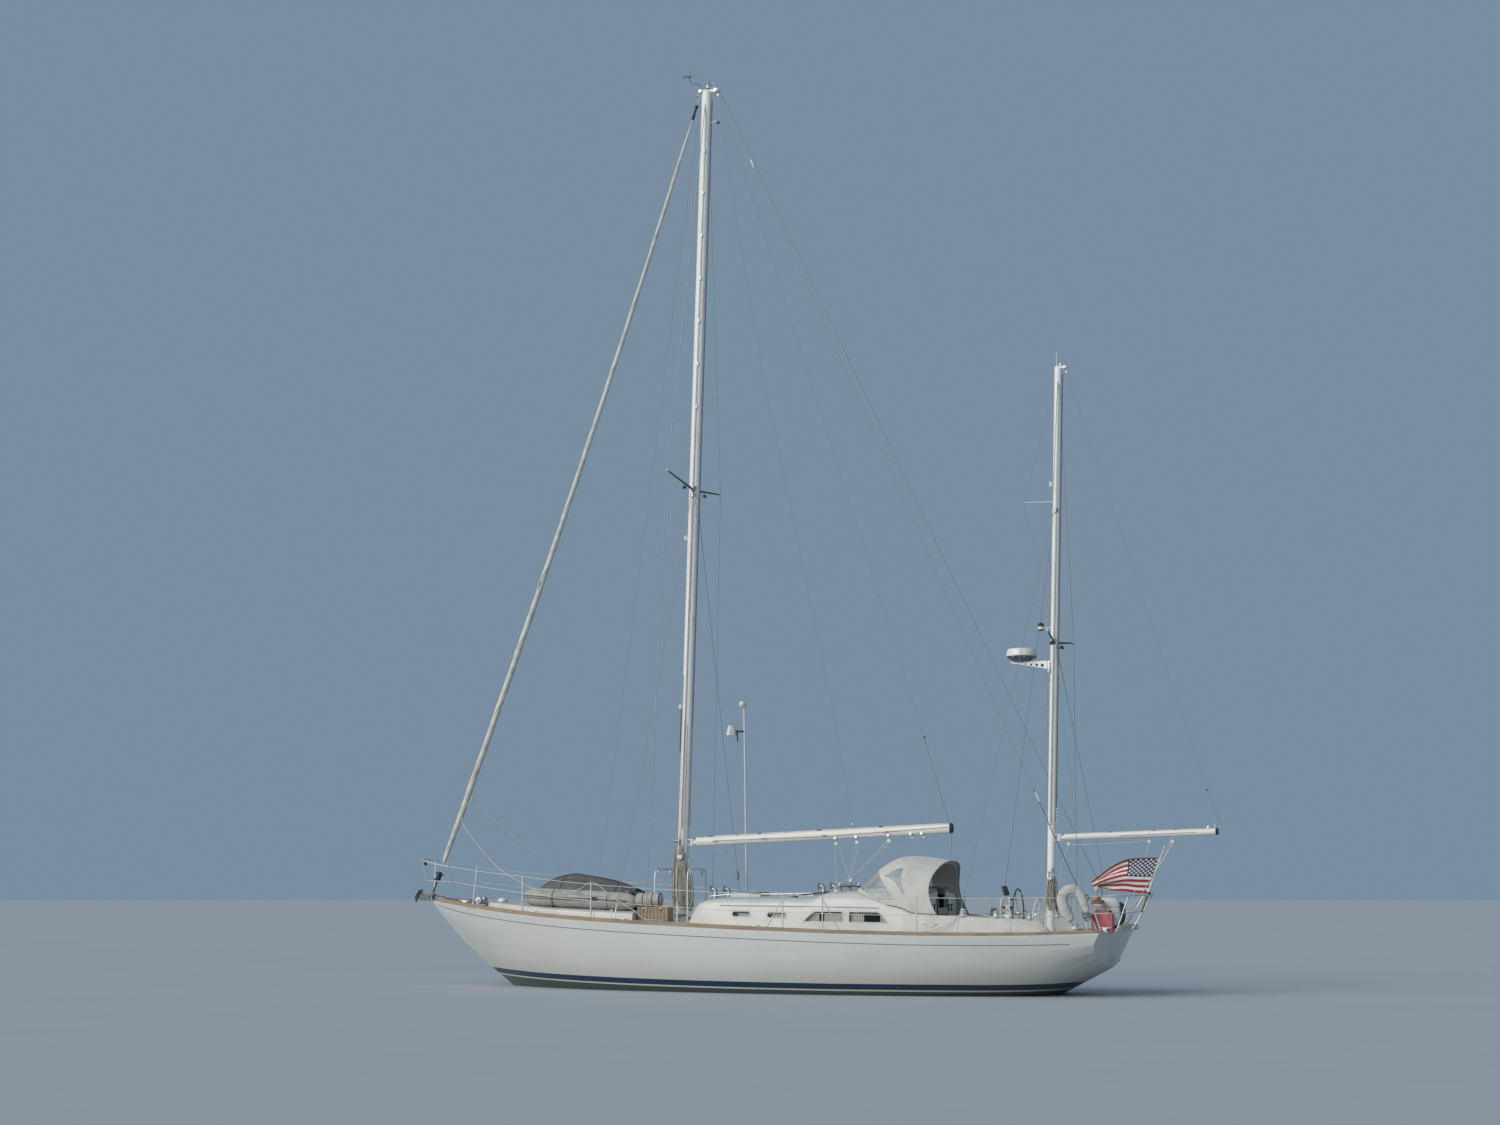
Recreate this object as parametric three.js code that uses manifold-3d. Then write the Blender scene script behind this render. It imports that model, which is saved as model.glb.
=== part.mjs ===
// A cruising ketch afloat with her sails furled, in millimetres.
// Origin: amidships on the centreline at the waterline. The bow points to -X, starboard is +Y, up is +Z.
import * as THREE from 'three';
import { mergeVertices } from 'three/addons/utils/BufferGeometryUtils.js';
import Module from 'manifold-3d';

const wasm = await Module();
wasm.setup();

// Driving dimensions
const seam = 0.3;                       // gap between touching pieces
const deckThick = 35;
const camber = 60;                      // rise of the deck's middle where the boat is widest
const widestHalf = 1850;
const draft = 1950;
const transom = { topX: 6570, topZ: 1160, rake: 27, planRadius: 2700 };
const rail = { height: 70, width: 38, inset: 6 };

const mainMast = { x: -1880, rake: 1.7, top: 17380, foreAft: 210, across: 150 };
const mizzenMast = { x: 5120, rake: 2.0, top: 11250, foreAft: 140, across: 105 };
const mainBoom = { pivot: 178, z: 2700, length: 5020, rise: 2.5, depth: 175, width: 120 };
const mizzenBoom = { pivot: 142, z: 2740, length: 2760, rise: 1.7, depth: 112, width: 84 };
const mainSpreader = { z: 9390, half: 1380, lift: 150, sweep: 0 };
const mizzenSpreader = { z: 6190, half: 1100, lift: 110, sweep: 120 };
const pinRadius = 14;                   // gooseneck pins
const pinPlay = 0.6;

const cockpit = {
  x0: 3470, x1: 4960, half: 1030, seatZ: 980,
  wellX0: 3520, wellX1: 4720, wellHalf: 400, soleZ: 560,
};
const moulding = 25;                    // thickness of the cockpit's moulded walls
const locker = { x0: 3600, x1: 4500, y0: 500, y1: 900, depth: 330, lid: 22, lap: 18 };
const companionway = { half: 290, sill: 1210, slotX0: 2560, x: 3160, wall: 40 };
const foreHatch = { x0: -760, x1: -210, half: 275, coaming: 26, lid: 34 };
const cabinSole = -280;

const wheel = { x: 4555, z: 1400, radius: 430, rim: 14, spokes: 6 };
const rudder = { axisX: 4930, stock: 30, headroom: 16, bottomZ: -1450, turn: 35 };
const skeg = { rootX0: 4080, rootX1: 4850, tipX0: 4420, tipX1: 4850, bottomZ: -1380, thick: 110 };
const propeller = { x: 3800, z: -770, tilt: 9, radius: 235, hub: 48, shaft: 17 };

// Small vector and table helpers
const vec = (p) => new THREE.Vector3(p[0], p[1], p[2]);
const radians = THREE.MathUtils.degToRad;
const lerp = THREE.MathUtils.lerp;

function table(columns, rows) {
  return rows.map((row) => Object.fromEntries(columns.map((name, i) => [name, row[i]])));
}

// Value of one column at x, on a smooth curve through the rows of the table
function along(rows, column, x) {
  const last = rows.length - 1;
  const at = THREE.MathUtils.clamp(x, rows[0].x, rows[last].x);
  let i = 0;
  while (i < last - 1 && at > rows[i + 1].x) i += 1;
  const slope = (k) => {
    const before = rows[Math.max(k - 1, 0)];
    const after = rows[Math.min(k + 1, last)];
    return (after[column] - before[column]) / (after.x - before.x);
  };
  const span = rows[i + 1].x - rows[i].x;
  const t = (at - rows[i].x) / span;
  const rise = 3 * t * t - 2 * t * t * t;
  const easeIn = t * (1 - t) * (1 - t) * span * slope(i);
  const easeOut = t * t * (1 - t) * span * slope(i + 1);
  return lerp(rows[i][column], rows[i + 1][column], rise) + easeIn - easeOut;
}

function spread(from, to, count) {
  return Array.from({ length: count + 1 }, (_, i) => lerp(from, to, i / count));
}

// Geometry from shared points and triangles, turned so that its faces point out
function closedGeometry(points, faces) {
  const geometry = new THREE.BufferGeometry();
  geometry.setAttribute('position', new THREE.Float32BufferAttribute(points.flat(), 3));
  let volume = 0;
  for (const [a, b, c] of faces) {
    volume += vec(points[a]).dot(vec(points[b]).cross(vec(points[c])));
  }
  const turned = volume < 0 ? faces.map(([a, b, c]) => [a, c, b]) : faces;
  geometry.setIndex(turned.flat());
  return geometry;
}

// Closed solid through rings of points, with its two end rings filled from their middles
function loft(rings) {
  const n = rings[0].length;
  const points = rings.flat();
  const faces = [];
  for (let r = 0; r + 1 < rings.length; r += 1) {
    for (let k = 0; k < n; k += 1) {
      const a = r * n + k;
      const b = r * n + (k + 1) % n;
      faces.push([a, b, a + n], [b, b + n, a + n]);
    }
  }
  const ends = [[rings[0], 0, true], [rings.at(-1), (rings.length - 1) * n, false]];
  for (const [ring, start, flip] of ends) {
    const middle = [0, 1, 2].map((axis) => ring.reduce((sum, p) => sum + p[axis], 0) / n);
    points.push(middle);
    for (let k = 0; k < n; k += 1) {
      const edge = [start + k, start + (k + 1) % n];
      faces.push(flip ? [edge[1], edge[0], points.length - 1] : [edge[0], edge[1], points.length - 1]);
    }
  }
  return closedGeometry(points, faces);
}

// Closed sheet between two grids of points, given as rows
function shell(outer, inner) {
  const rows = outer.length;
  const columns = outer[0].length;
  const points = [...outer.flat(), ...inner.flat()];
  const under = rows * columns;
  const faces = [];
  const quad = (a, b, c, d) => faces.push([a, b, c], [a, c, d]);
  for (let r = 0; r + 1 < rows; r += 1) {
    for (let k = 0; k + 1 < columns; k += 1) {
      const a = r * columns + k;
      quad(a, a + 1, a + columns + 1, a + columns);
      quad(under + a, under + a + columns, under + a + columns + 1, under + a + 1);
    }
  }
  const rim = [];
  for (let k = 0; k + 1 < columns; k += 1) rim.push(k);
  for (let r = 0; r + 1 < rows; r += 1) rim.push(r * columns + columns - 1);
  for (let k = columns - 1; k > 0; k -= 1) rim.push((rows - 1) * columns + k);
  for (let r = rows - 1; r > 0; r -= 1) rim.push(r * columns);
  rim.forEach((a, i) => {
    const b = rim[(i + 1) % rim.length];
    quad(a, under + a, under + b, b);
  });
  return closedGeometry(points, faces);
}

// Solid modelling: geometry to solid, solid to geometry
function solid(geometry) {
  if (!(geometry instanceof THREE.BufferGeometry)) return geometry;
  const bare = geometry.clone();
  bare.deleteAttribute('normal');
  bare.deleteAttribute('uv');
  const merged = mergeVertices(bare, 1e-3);
  return new wasm.Manifold(new wasm.Mesh({
    numProp: 3,
    vertProperties: new Float32Array(merged.attributes.position.array),
    triVerts: new Uint32Array(merged.index.array),
  }));
}

function toGeometry(shape) {
  if (shape instanceof THREE.BufferGeometry) return shape;
  const mesh = shape.getMesh();
  const geometry = new THREE.BufferGeometry();
  geometry.setAttribute('position', new THREE.BufferAttribute(new Float32Array(mesh.vertProperties), 3));
  geometry.setIndex(new THREE.BufferAttribute(new Uint32Array(mesh.triVerts), 1));
  return geometry;
}

const join = (...shapes) => shapes.map(solid).reduce((whole, part) => whole.add(part));
const cut = (body, ...tools) => tools.map(solid).reduce((left, tool) => left.subtract(tool), solid(body));
const keep = (body, tool) => solid(body).intersect(solid(tool));

// Body cut back so that it clears another solid by the seam, measured up or down
function seatedOn(body, carrier, step = seam) {
  return cut(body, carrier, toGeometry(carrier).clone().translate(0, 0, step));
}

// Plain shapes
function box(x0, x1, y0, y1, z0, z1) {
  const geometry = new THREE.BoxGeometry(x1 - x0, y1 - y0, z1 - z0);
  return geometry.translate((x0 + x1) / 2, (y0 + y1) / 2, (z0 + z1) / 2);
}

function rod(from, to, radius, sides = 8, endRadius = radius) {
  const a = vec(from);
  const b = vec(to);
  const way = b.clone().sub(a);
  const geometry = new THREE.CylinderGeometry(endRadius, radius, way.length(), sides);
  const up = new THREE.Vector3(0, 1, 0);
  geometry.applyQuaternion(new THREE.Quaternion().setFromUnitVectors(up, way.normalize()));
  return geometry.translate((a.x + b.x) / 2, (a.y + b.y) / 2, (a.z + b.z) / 2);
}

// Wire through corner points, with level rings where it stands and upright rings where it lies
function strand(points, radius, lying = false, sides = 5) {
  return loft(points.map(([x, y, z]) => Array.from({ length: sides }, (_, i) => {
    const angle = (i / sides) * Math.PI * 2;
    const a = radius * Math.cos(angle);
    const b = radius * Math.sin(angle);
    return lying ? [x, y + a, z + b] : [x + a, y + b, z];
  })));
}

function tube(points, radius, steps, sides = 8) {
  const turn = (Math.PI * 2) / sides;
  const corners = Array.from({ length: sides }, (_, i) => (
    new THREE.Vector2(radius * Math.cos(i * turn), radius * Math.sin(i * turn))));
  const extrudePath = new THREE.CatmullRomCurve3(points.map(vec), false, 'centripetal');
  return new THREE.ExtrudeGeometry(new THREE.Shape(corners), { steps, extrudePath, bevelEnabled: false });
}

function ball(centre, radii, around = 12, up = 8) {
  const geometry = new THREE.SphereGeometry(1, around, up);
  return geometry.scale(...radii).translate(...centre);
}

// Plate with rounded corners standing in the XZ plane, between two places across the boat
function sidePlate(outline, radius, y0, y1) {
  const shape = roundedShape(outline, radius);
  const geometry = new THREE.ExtrudeGeometry(shape, { depth: y1 - y0, bevelEnabled: false, curveSegments: 2 });
  return geometry.rotateX(Math.PI / 2).translate(0, y1, 0);
}

function roundedShape(outline, radius) {
  const shape = new THREE.Shape();
  outline.forEach((corner, i) => {
    const here = new THREE.Vector2(...corner);
    const cornerAt = (k) => new THREE.Vector2(...outline[k % outline.length]);
    const before = cornerAt(i + outline.length - 1).sub(here).normalize();
    const after = cornerAt(i + 1).sub(here).normalize();
    const from = here.clone().addScaledVector(before, radius);
    const to = here.clone().addScaledVector(after, radius);
    if (i === 0) shape.moveTo(from.x, from.y);
    else shape.lineTo(from.x, from.y);
    shape.quadraticCurveTo(here.x, here.y, to.x, to.y);
  });
  return shape;
}

// Finishes
const finish = (color, roughness, metalness = 0) => (
  new THREE.MeshStandardMaterial({ color, roughness, metalness }));
const gelcoat = finish('#cfd0cc', 0.3);
const deckWhite = finish('#dcdcd6', 0.5);
const antifouling = finish('#39433f', 0.8);
const teak = finish('#8d7a66', 0.7);
const stainless = finish('#c9ccce', 0.25, 1);
const wire = finish('#a9adb0', 0.4, 1);
const galvanised = finish('#8a8d8f', 0.6, 0.9);
const sparPaint = finish('#c8c4bd', 0.45);
const sailcloth = finish('#b9b7b2', 0.85);
const canvas = finish('#cfc9bd', 0.9);
const tubeFabric = finish('#a7a6a2', 0.7);
const darkFabric = finish('#55585a', 0.8);
const glass = finish('#6e7470', 0.1);
const whitePlastic = finish('#dddcd6', 0.35);
const redPlastic = finish('#a24a4c', 0.45);
const blackPlastic = finish('#1e2326', 0.5);
const bronze = finish('#8a6b3c', 0.4, 1);
const castIron = finish('#4c5256', 0.7, 0.8);
const flagCloth = finish('#8e3440', 0.9);
const rope = finish('#c6c4be', 0.9);

const yacht = new THREE.Group();

function piece(name, shape, material, group = yacht) {
  const mesh = new THREE.Mesh(toGeometry(shape), material);
  mesh.name = name;
  group.add(mesh);
  return mesh;
}

const sides = [{ side: 'port', sign: -1 }, { side: 'starboard', sign: 1 }];

// Hull: lines
const hullLines = table(
  // half: half breadth at the deck; keel: underside on the centreline
  // flare and bilge: fullness; rise: of the floor
  ['x', 'half', 'sheer', 'keel', 'flare', 'bilge', 'rise'],
  [
    [-7080, 36, 1610, 1545, 0.80, 0.40, 0.30],
    [-6720, 250, 1565, 1160, 0.76, 0.36, 0.32],
    [-6370, 450, 1525, 820, 0.76, 0.36, 0.32],
    [-5730, 790, 1456, 310, 0.80, 0.42, 0.30],
    [-5300, 980, 1415, 0, 0.84, 0.47, 0.27],
    [-4600, 1235, 1355, -290, 0.90, 0.55, 0.22],
    [-3600, 1510, 1282, -480, 0.96, 0.65, 0.17],
    [-1900, 1740, 1195, -610, 1.01, 0.74, 0.12],
    [0, 1845, 1120, -655, 1.04, 0.79, 0.10],
    [1600, 1840, 1068, -630, 1.05, 0.80, 0.10],
    [3200, 1735, 1040, -490, 1.04, 0.77, 0.11],
    [4500, 1575, 1042, -240, 1.03, 0.74, 0.11],
    [5300, 1440, 1058, 0, 1.03, 0.73, 0.11],
    [6200, 1250, 1092, 475, 1.04, 0.74, 0.11],
    [6900, 1090, 1128, 845, 1.04, 0.74, 0.11],
  ],
);
const bow = hullLines[0].x;
const hullStations = [bow, -6900, -6720, -6370, -5900, -5300, -4750, -4100, -3400, -2700, -1900, -950, 0,
  1600, 3200, 4200, 4900, 5300, 6200, 6550, 6900];

const halfBeam = (x) => along(hullLines, 'half', x);
const sheerHeight = (x) => along(hullLines, 'sheer', x);
const deckHeight = (x, y) => {
  const half = halfBeam(x);
  return sheerHeight(x) + (camber * half / widestHalf) * (1 - (y / half) ** 2);
};

// Point on the port skin at x: t runs from the sheer, 0, to the keel, 1
function skinPoint(x, t) {
  const row = Object.fromEntries(Object.keys(hullLines[0]).map((name) => [name, along(hullLines, name, x)]));
  const high = row.sheer - row.keel;
  const curve = new THREE.CubicBezierCurve(
    new THREE.Vector2(row.half, row.sheer),
    new THREE.Vector2(row.half * row.flare, row.sheer - 0.5 * high),
    new THREE.Vector2(row.half * row.bilge, row.keel + row.rise * high),
    new THREE.Vector2(0, row.keel),
  );
  const point = curve.getPoint(t);
  return [x, -point.x, point.y];
}

// Where the skin passes a given depth below the sheer
function skinAtDepth(x, depth) {
  let low = 0;
  let high = 1;
  for (let i = 0; i < 30; i += 1) {
    const middle = (low + high) / 2;
    if (skinPoint(x, middle)[2] > sheerHeight(x) - depth) low = middle;
    else high = middle;
  }
  return low;
}

const mirrored = ([x, y, z]) => [x, -y, z];
const deckRow = (x, half, drop) => (
  spread(half, -half, 4).slice(1, -1).map((y) => [x, y, deckHeight(x, y) - drop]));

function hullRing(x, depth) {
  const start = skinAtDepth(x, depth);
  const port = spread(start, 1, 6).map((t) => skinPoint(x, t));
  const starboard = port.slice(0, -1).reverse().map(mirrored);
  return [...port, ...starboard, ...deckRow(x, -port[0][1], depth)];
}

function deckRing(x) {
  const low = skinPoint(x, skinAtDepth(x, deckThick));
  const top = skinPoint(x, 0);
  return [top, low, ...deckRow(x, -low[1], deckThick).reverse(), mirrored(low), mirrored(top),
    ...deckRow(x, -top[1], 0)];
}

// Space ahead of the transom's face, which is curved in plan and raked
function aheadOfTransom() {
  const reach = 2400;
  const angle = Math.asin(reach / transom.planRadius);
  const plan = new THREE.Shape();
  plan.moveTo(-8000, reach);
  plan.lineTo(-8000, -reach);
  plan.absarc(transom.topX - transom.planRadius, 0, transom.planRadius, -angle, angle);
  const geometry = new THREE.ExtrudeGeometry(plan, { depth: 6000, bevelEnabled: false, curveSegments: 28 });
  geometry.translate(0, 0, -3000 - transom.topZ);
  const shear = new THREE.Matrix4().makeShear(0, 0, 0, 0, Math.tan(radians(transom.rake)), 0);
  return geometry.applyMatrix4(shear).translate(0, 0, transom.topZ);
}

// Everything below the deck's upper face
const underDeck = loft(hullStations.map((x) => {
  const half = halfBeam(x) + 1;
  return [[x, half, sheerHeight(x)], ...deckRow(x, half - 1, 0), [x, -half, sheerHeight(x)],
    [x, -half, -1000], [x, half, -1000]];
}));

const transomSide = aheadOfTransom();
const hullBlock = keep(loft(hullStations.map((x) => hullRing(x, deckThick + 2 * seam))), transomSide);
const deckPlate = keep(loft(hullStations.map(deckRing)), transomSide);

// Cabin trunk: a shell whose after end is the bulkhead with the companionway
const trunkLines = table(
  // base and side: half breadths at deck and shoulder; roofHalf, roofZ: edge of the roof; crown: its middle
  ['x', 'base', 'side', 'shoulder', 'roofHalf', 'roofZ', 'crown'],
  [
    [-1420, 760, 755, 1215, 700, 1222, 1226],
    [-1340, 800, 790, 1330, 735, 1400, 1425],
    [-1220, 850, 835, 1470, 770, 1560, 1592],
    [-1050, 905, 880, 1530, 800, 1622, 1664],
    [-700, 960, 925, 1560, 830, 1645, 1696],
    [300, 1050, 1010, 1560, 905, 1645, 1700],
    [1000, 1095, 1060, 1560, 945, 1650, 1705],
    [1280, 1105, 1068, 1590, 940, 1745, 1795],
    [1800, 1118, 1078, 1592, 935, 1765, 1815],
    [2300, 1124, 1080, 1550, 930, 1762, 1812],
    [2760, 1126, 1080, 1465, 915, 1745, 1800],
    [companionway.x, 1126, 1080, 1385, 900, 1730, 1790],
  ],
);
const trunkStations = [-1420, -1340, -1220, -1050, -700, -200, 300, 1000, 1140, 1280, 1800, 2300, 2760,
  companionway.x];

// The trunk's solid, or with an inset the same shape drawn in by that much all round
function trunkSolid(inset, x0 = trunkStations[0], x1 = companionway.x, footZ = 900) {
  const stations = [x0, ...trunkStations.filter((x) => x > x0 + 20 && x < x1 - 20), x1];
  return loft(stations.map((x) => {
    const at = (name) => along(trunkLines, name, x) - inset;
    const port = [
      [x, -at('base'), footZ],
      [x, -at('side'), at('shoulder')],
      [x, -lerp(at('side'), at('roofHalf'), 0.3), lerp(at('shoulder'), at('roofZ'), 0.6)],
      [x, -at('roofHalf'), at('roofZ')],
      [x, -at('roofHalf') / 2, lerp(at('roofZ'), at('crown'), 0.75)],
    ];
    return [...port, [x, 0, at('crown')], ...port.slice().reverse().map(mirrored)];
  }));
}

// Side windows as outlines in X and Z, low forward corner first
const windowOutlines = [
  [[-500, 1335], [-140, 1330], [-140, 1432], [-500, 1436]],
  [[190, 1318], [570, 1314], [570, 1418], [190, 1422]],
  [[870, 1258], [1640, 1252], [1640, 1436], [1100, 1438]],
  [[1750, 1250], [2500, 1240], [2300, 1430], [1750, 1436]],
];
const windowRadii = [48, 48, 36, 36];

function windowPrism(i, shrink, sign) {
  const centre = windowOutlines[i].reduce((sum, [x, z]) => [sum[0] + x / 4, sum[1] + z / 4], [0, 0]);
  const outline = windowOutlines[i].map(([x, z]) => [
    x - Math.sign(x - centre[0]) * shrink, z - Math.sign(z - centre[1]) * shrink]);
  const span = sign < 0 ? [-1300, -700] : [700, 1300];
  return sidePlate(outline, windowRadii[i], ...span);
}

const trunkWall = companionway.wall;
const trunkInner = trunkSolid(trunkWall, -1290, companionway.x - trunkWall);
const foreHatchZ = along(trunkLines, 'crown', -480);
const hatchOpening = box(foreHatch.x0 + 20, foreHatch.x1 - 20, -foreHatch.half + 20, foreHatch.half - 20,
  1500, 1900);
const slidingSlot = box(companionway.slotX0, 3400, -companionway.half, companionway.half,
  companionway.sill, 2000);

function trunk() {
  const frame = box(foreHatch.x0 - 15, foreHatch.x1 + 15, -foreHatch.half - 15, foreHatch.half + 15,
    foreHatchZ - 60, foreHatchZ + foreHatch.coaming);
  const runners = sides.map(({ sign }) => {
    const inner = sign * (companionway.half + 30);
    const edge = [inner, inner + sign * 40].sort((a, b) => a - b);
    return box(1720, companionway.x - 10, ...edge, 1740, 1830);
  });
  let shape = join(trunkSolid(0), frame, ...runners);
  shape = cut(shape, trunkInner, hatchOpening, slidingSlot);
  for (const { sign } of sides) {
    windowOutlines.forEach((_, i) => { shape = cut(shape, windowPrism(i, 0, sign)); });
  }
  return shape;
}

// Panes of one side, set in the wall and joined behind it by the curtain rail
function sideWindows(sign) {
  const glassLayer = cut(trunkSolid(10, -1200, 3100), trunkSolid(18, -1200, 3100));
  const railLayer = cut(trunkSolid(44, -1200, 3100), trunkSolid(54, -1200, 3100));
  const stubLayer = cut(trunkSolid(12, -1200, 3100), trunkSolid(50, -1200, 3100));
  const span = sign < 0 ? [-1300, -700] : [700, 1300];
  const panes = windowOutlines.map((outline, i) => {
    const pane = keep(glassLayer, windowPrism(i, 0.4, sign));
    const middle = (outline[0][0] + outline[1][0]) / 2;
    const stub = keep(stubLayer, box(middle - 20, middle + 20, ...span, 1392, 1406));
    return join(pane, stub);
  });
  const railStrip = keep(railLayer, box(-330, 2150, ...span, 1392, 1406));
  return join(railStrip, ...panes);
}

// Deck moulding: deck, cockpit with its seats, coamings and dinghy chocks
const dinghy = { noseX: -5010, sternX: -2600, half: 560, tube: 165, foreZ: 1700, aftZ: 1590 };

function dinghyTube(radius) {
  const { noseX, sternX, half, foreZ, aftZ } = dinghy;
  const z = (x) => lerp(foreZ, aftZ, (x - noseX) / (sternX - noseX));
  const port = [[sternX, -half], [-3300, -half], [-4000, -half], [-4520, -half + 60], [-4860, -half + 290]];
  const row = [...port, [noseX + dinghy.tube, 0], ...port.slice().reverse().map(([x, y]) => [x, -y])];
  return tube(row.map(([x, y]) => [x, y, z(x)]), radius, 26, 8);
}

function chocks() {
  const blocks = [-4250, -3000].flatMap((x) => sides.map(({ sign }) => {
    const y = sign * dinghy.half;
    return box(x - 40, x + 40, y - 90, y + 90, deckHeight(x, y) - 10, 1560);
  }));
  return blocks.map((block) => cut(block, dinghyTube(dinghy.tube + 0.6)));
}

function coaming(sign) {
  const rows = table(['x', 'top', 'outBase', 'outTop', 'inTop', 'inBase'], [
    [companionway.x - 400, 1380, 1205, 1165, 1062, 1034],
    [companionway.x + 200, 1375, 1205, 1165, 1062, 1034],
    [4300, 1345, 1195, 1155, 1062, 1034],
    [5160, 1305, 1180, 1140, 1062, 1034],
    [5340, 1150, 1170, 1140, 1062, 1040],
  ]);
  return loft(rows.map((row) => {
    const z = deckHeight(row.x, row.outBase) - 12;
    const section = [[row.outBase, z], [row.outTop, row.top - 22], [row.outTop - 18, row.top],
      [row.inTop + 18, row.top], [row.inTop, row.top - 22], [row.inBase, z]];
    return section.map(([y, height]) => [row.x, sign * y, height]);
  }));
}

function cockpitSpace(grow, top) {
  const c = cockpit;
  return join(
    box(c.x0 - grow, c.x1 + grow, -c.half - grow, c.half + grow, c.seatZ - grow, top),
    box(c.wellX0 - grow, c.wellX1 + grow, -c.wellHalf - grow, c.wellHalf + grow, c.soleZ - grow, top),
  );
}

const lockerOpenings = sides.map(({ sign }) => {
  const edge = [sign * locker.y0, sign * locker.y1].sort((a, b) => a - b);
  return { sign, edge };
});

function lockerSpace(grow, z0, z1) {
  return join(...lockerOpenings.map(({ edge }) => (
    box(locker.x0 - grow, locker.x1 + grow, edge[0] - grow, edge[1] + grow, z0, z1))));
}

function deckMoulding() {
  const liner = keep(cockpitSpace(moulding, 1600), join(
    box(3000, 5400, -1060, 1060, 0, sheerHeight(4000) + 10),
  ));
  let shape = join(deckPlate, liner, ...sides.map(({ sign }) => coaming(sign)), ...chocks());
  shape = cut(shape, cockpitSpace(0, 2000));
  shape = cut(shape, trunkSolid(70, -1250, companionway.x - 70, 800));
  shape = cut(shape, lockerSpace(0, 400, 1600));
  return cut(shape, cut(trunkSolid(-0.35, trunkStations[0] - 1, companionway.x + 0.35), underDeck));
}

// Hull, hollow under the cabin trunk and below the locker lids, with bores for rudder stock and shaft
const shaftWay = new THREE.Vector3(Math.cos(radians(propeller.tilt)), 0, -Math.sin(radians(propeller.tilt)));
const alongShaft = (distance) => [propeller.x + shaftWay.x * distance, 0, propeller.z + shaftWay.z * distance];

function hull() {
  const linerSpace = cockpitSpace(moulding + seam, 1600);
  const cabin = join(
    box(-1050, 200, -620, 620, cabinSole, 1600),
    box(150, 2960, -860, 860, cabinSole, 1600),
    box(2900, 3420, -360, 360, cabinSole, 500),
  );
  const stockBore = rod([rudder.axisX, 0, -800], [rudder.axisX, 0, 330], rudder.stock + 1, 16);
  const shaftBore = rod(alongShaft(-1150), alongShaft(-100), propeller.shaft + 1.2, 12);
  const lockers = lockerSpace(6, cockpit.seatZ - locker.depth, 1600);
  return cut(hullBlock, linerSpace, cabin, lockers, stockBore, shaftBore);
}

const deckSolid = deckMoulding();
const hullSolid = hull();
piece('hull', hullSolid, gelcoat);
piece('deck', deckSolid, deckWhite);
piece('cabin_trunk', seatedOn(trunk(), underDeck), deckWhite);
for (const { side, sign } of sides) piece(`side_windows_${side}`, sideWindows(sign), glass);

// Washboard closing the lower part of the companionway, held in front of the bulkhead
function washboard() {
  const x = companionway.x;
  const half = companionway.half + 30;
  return box(x + seam, x + 22, -half, half, companionway.sill - 60, 1500);
}
piece('washboard', washboard(), teak);

piece('engine', box(2420, 3300, -280, 280, cabinSole + seam, 400), castIron);

// Keel, skeg and shaft strut under the hull
function foilRing(x0, x1, thick, z) {
  const chord = x1 - x0;
  const half = [[0, 0], [0.04, 0.6], [0.14, 0.92], [0.32, 1], [0.6, 0.74], [0.85, 0.3], [1, 0.04]];
  const port = half.map(([u, w]) => [x0 + u * chord, -w * thick / 2, z]);
  return [...port, ...port.slice(1).reverse().map(mirrored)];
}

const belowHull = (shape) => seatedOn(shape, hullBlock, -seam);
const keelShape = loft([
  foilRing(-1620, 1950, 420, -350),
  foilRing(-1560, 1880, 330, -720),
  foilRing(-1330, 1760, 270, -1300),
  foilRing(-1080, 1620, 250, -draft + 60),
  foilRing(-1000, 1560, 170, -draft),
]);
piece('keel', belowHull(keelShape), antifouling);

const skegShape = loft([
  foilRing(skeg.rootX0 - 120, skeg.rootX1, skeg.thick * 1.3, 0),
  foilRing(skeg.rootX0, skeg.rootX1, skeg.thick * 1.2, -350),
  foilRing(skeg.tipX0, skeg.tipX1, skeg.thick * 0.8, skeg.bottomZ),
]);
const stockSpace = rod([rudder.axisX, 0, -1600], [rudder.axisX, 0, 400], 72, 16);
piece('rudder_skeg', belowHull(cut(skegShape, stockSpace)), antifouling);

function shaftStrut() {
  const at = -260;
  const [x, , z] = alongShaft(at);
  const barrel = rod(alongShaft(at - 70), alongShaft(at + 70), 38, 16);
  const leg = loft([foilRing(x - 60, x + 60, 24, 0), foilRing(x - 50, x + 50, 22, z)]);
  const bore = rod(alongShaft(at - 200), alongShaft(at + 200), propeller.shaft + 1, 16);
  return cut(join(barrel, leg), bore);
}
piece('shaft_strut', belowHull(shaftStrut()), bronze);

// Rudder and its stock
function rudderBlade() {
  const { axisX, stock, headroom, bottomZ } = rudder;
  const lead = axisX - 55;
  const blade = loft([
    foilRing(lead, axisX + 470, 96, 100),
    foilRing(lead, axisX + 455, 96, -700),
    foilRing(lead, axisX + 360, 72, bottomZ),
  ]);
  return join(seatedOn(blade, hullBlock, -headroom), rod([axisX, 0, -600], [axisX, 0, 300], stock, 16));
}
piece('rudder', rudderBlade(), antifouling);

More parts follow.
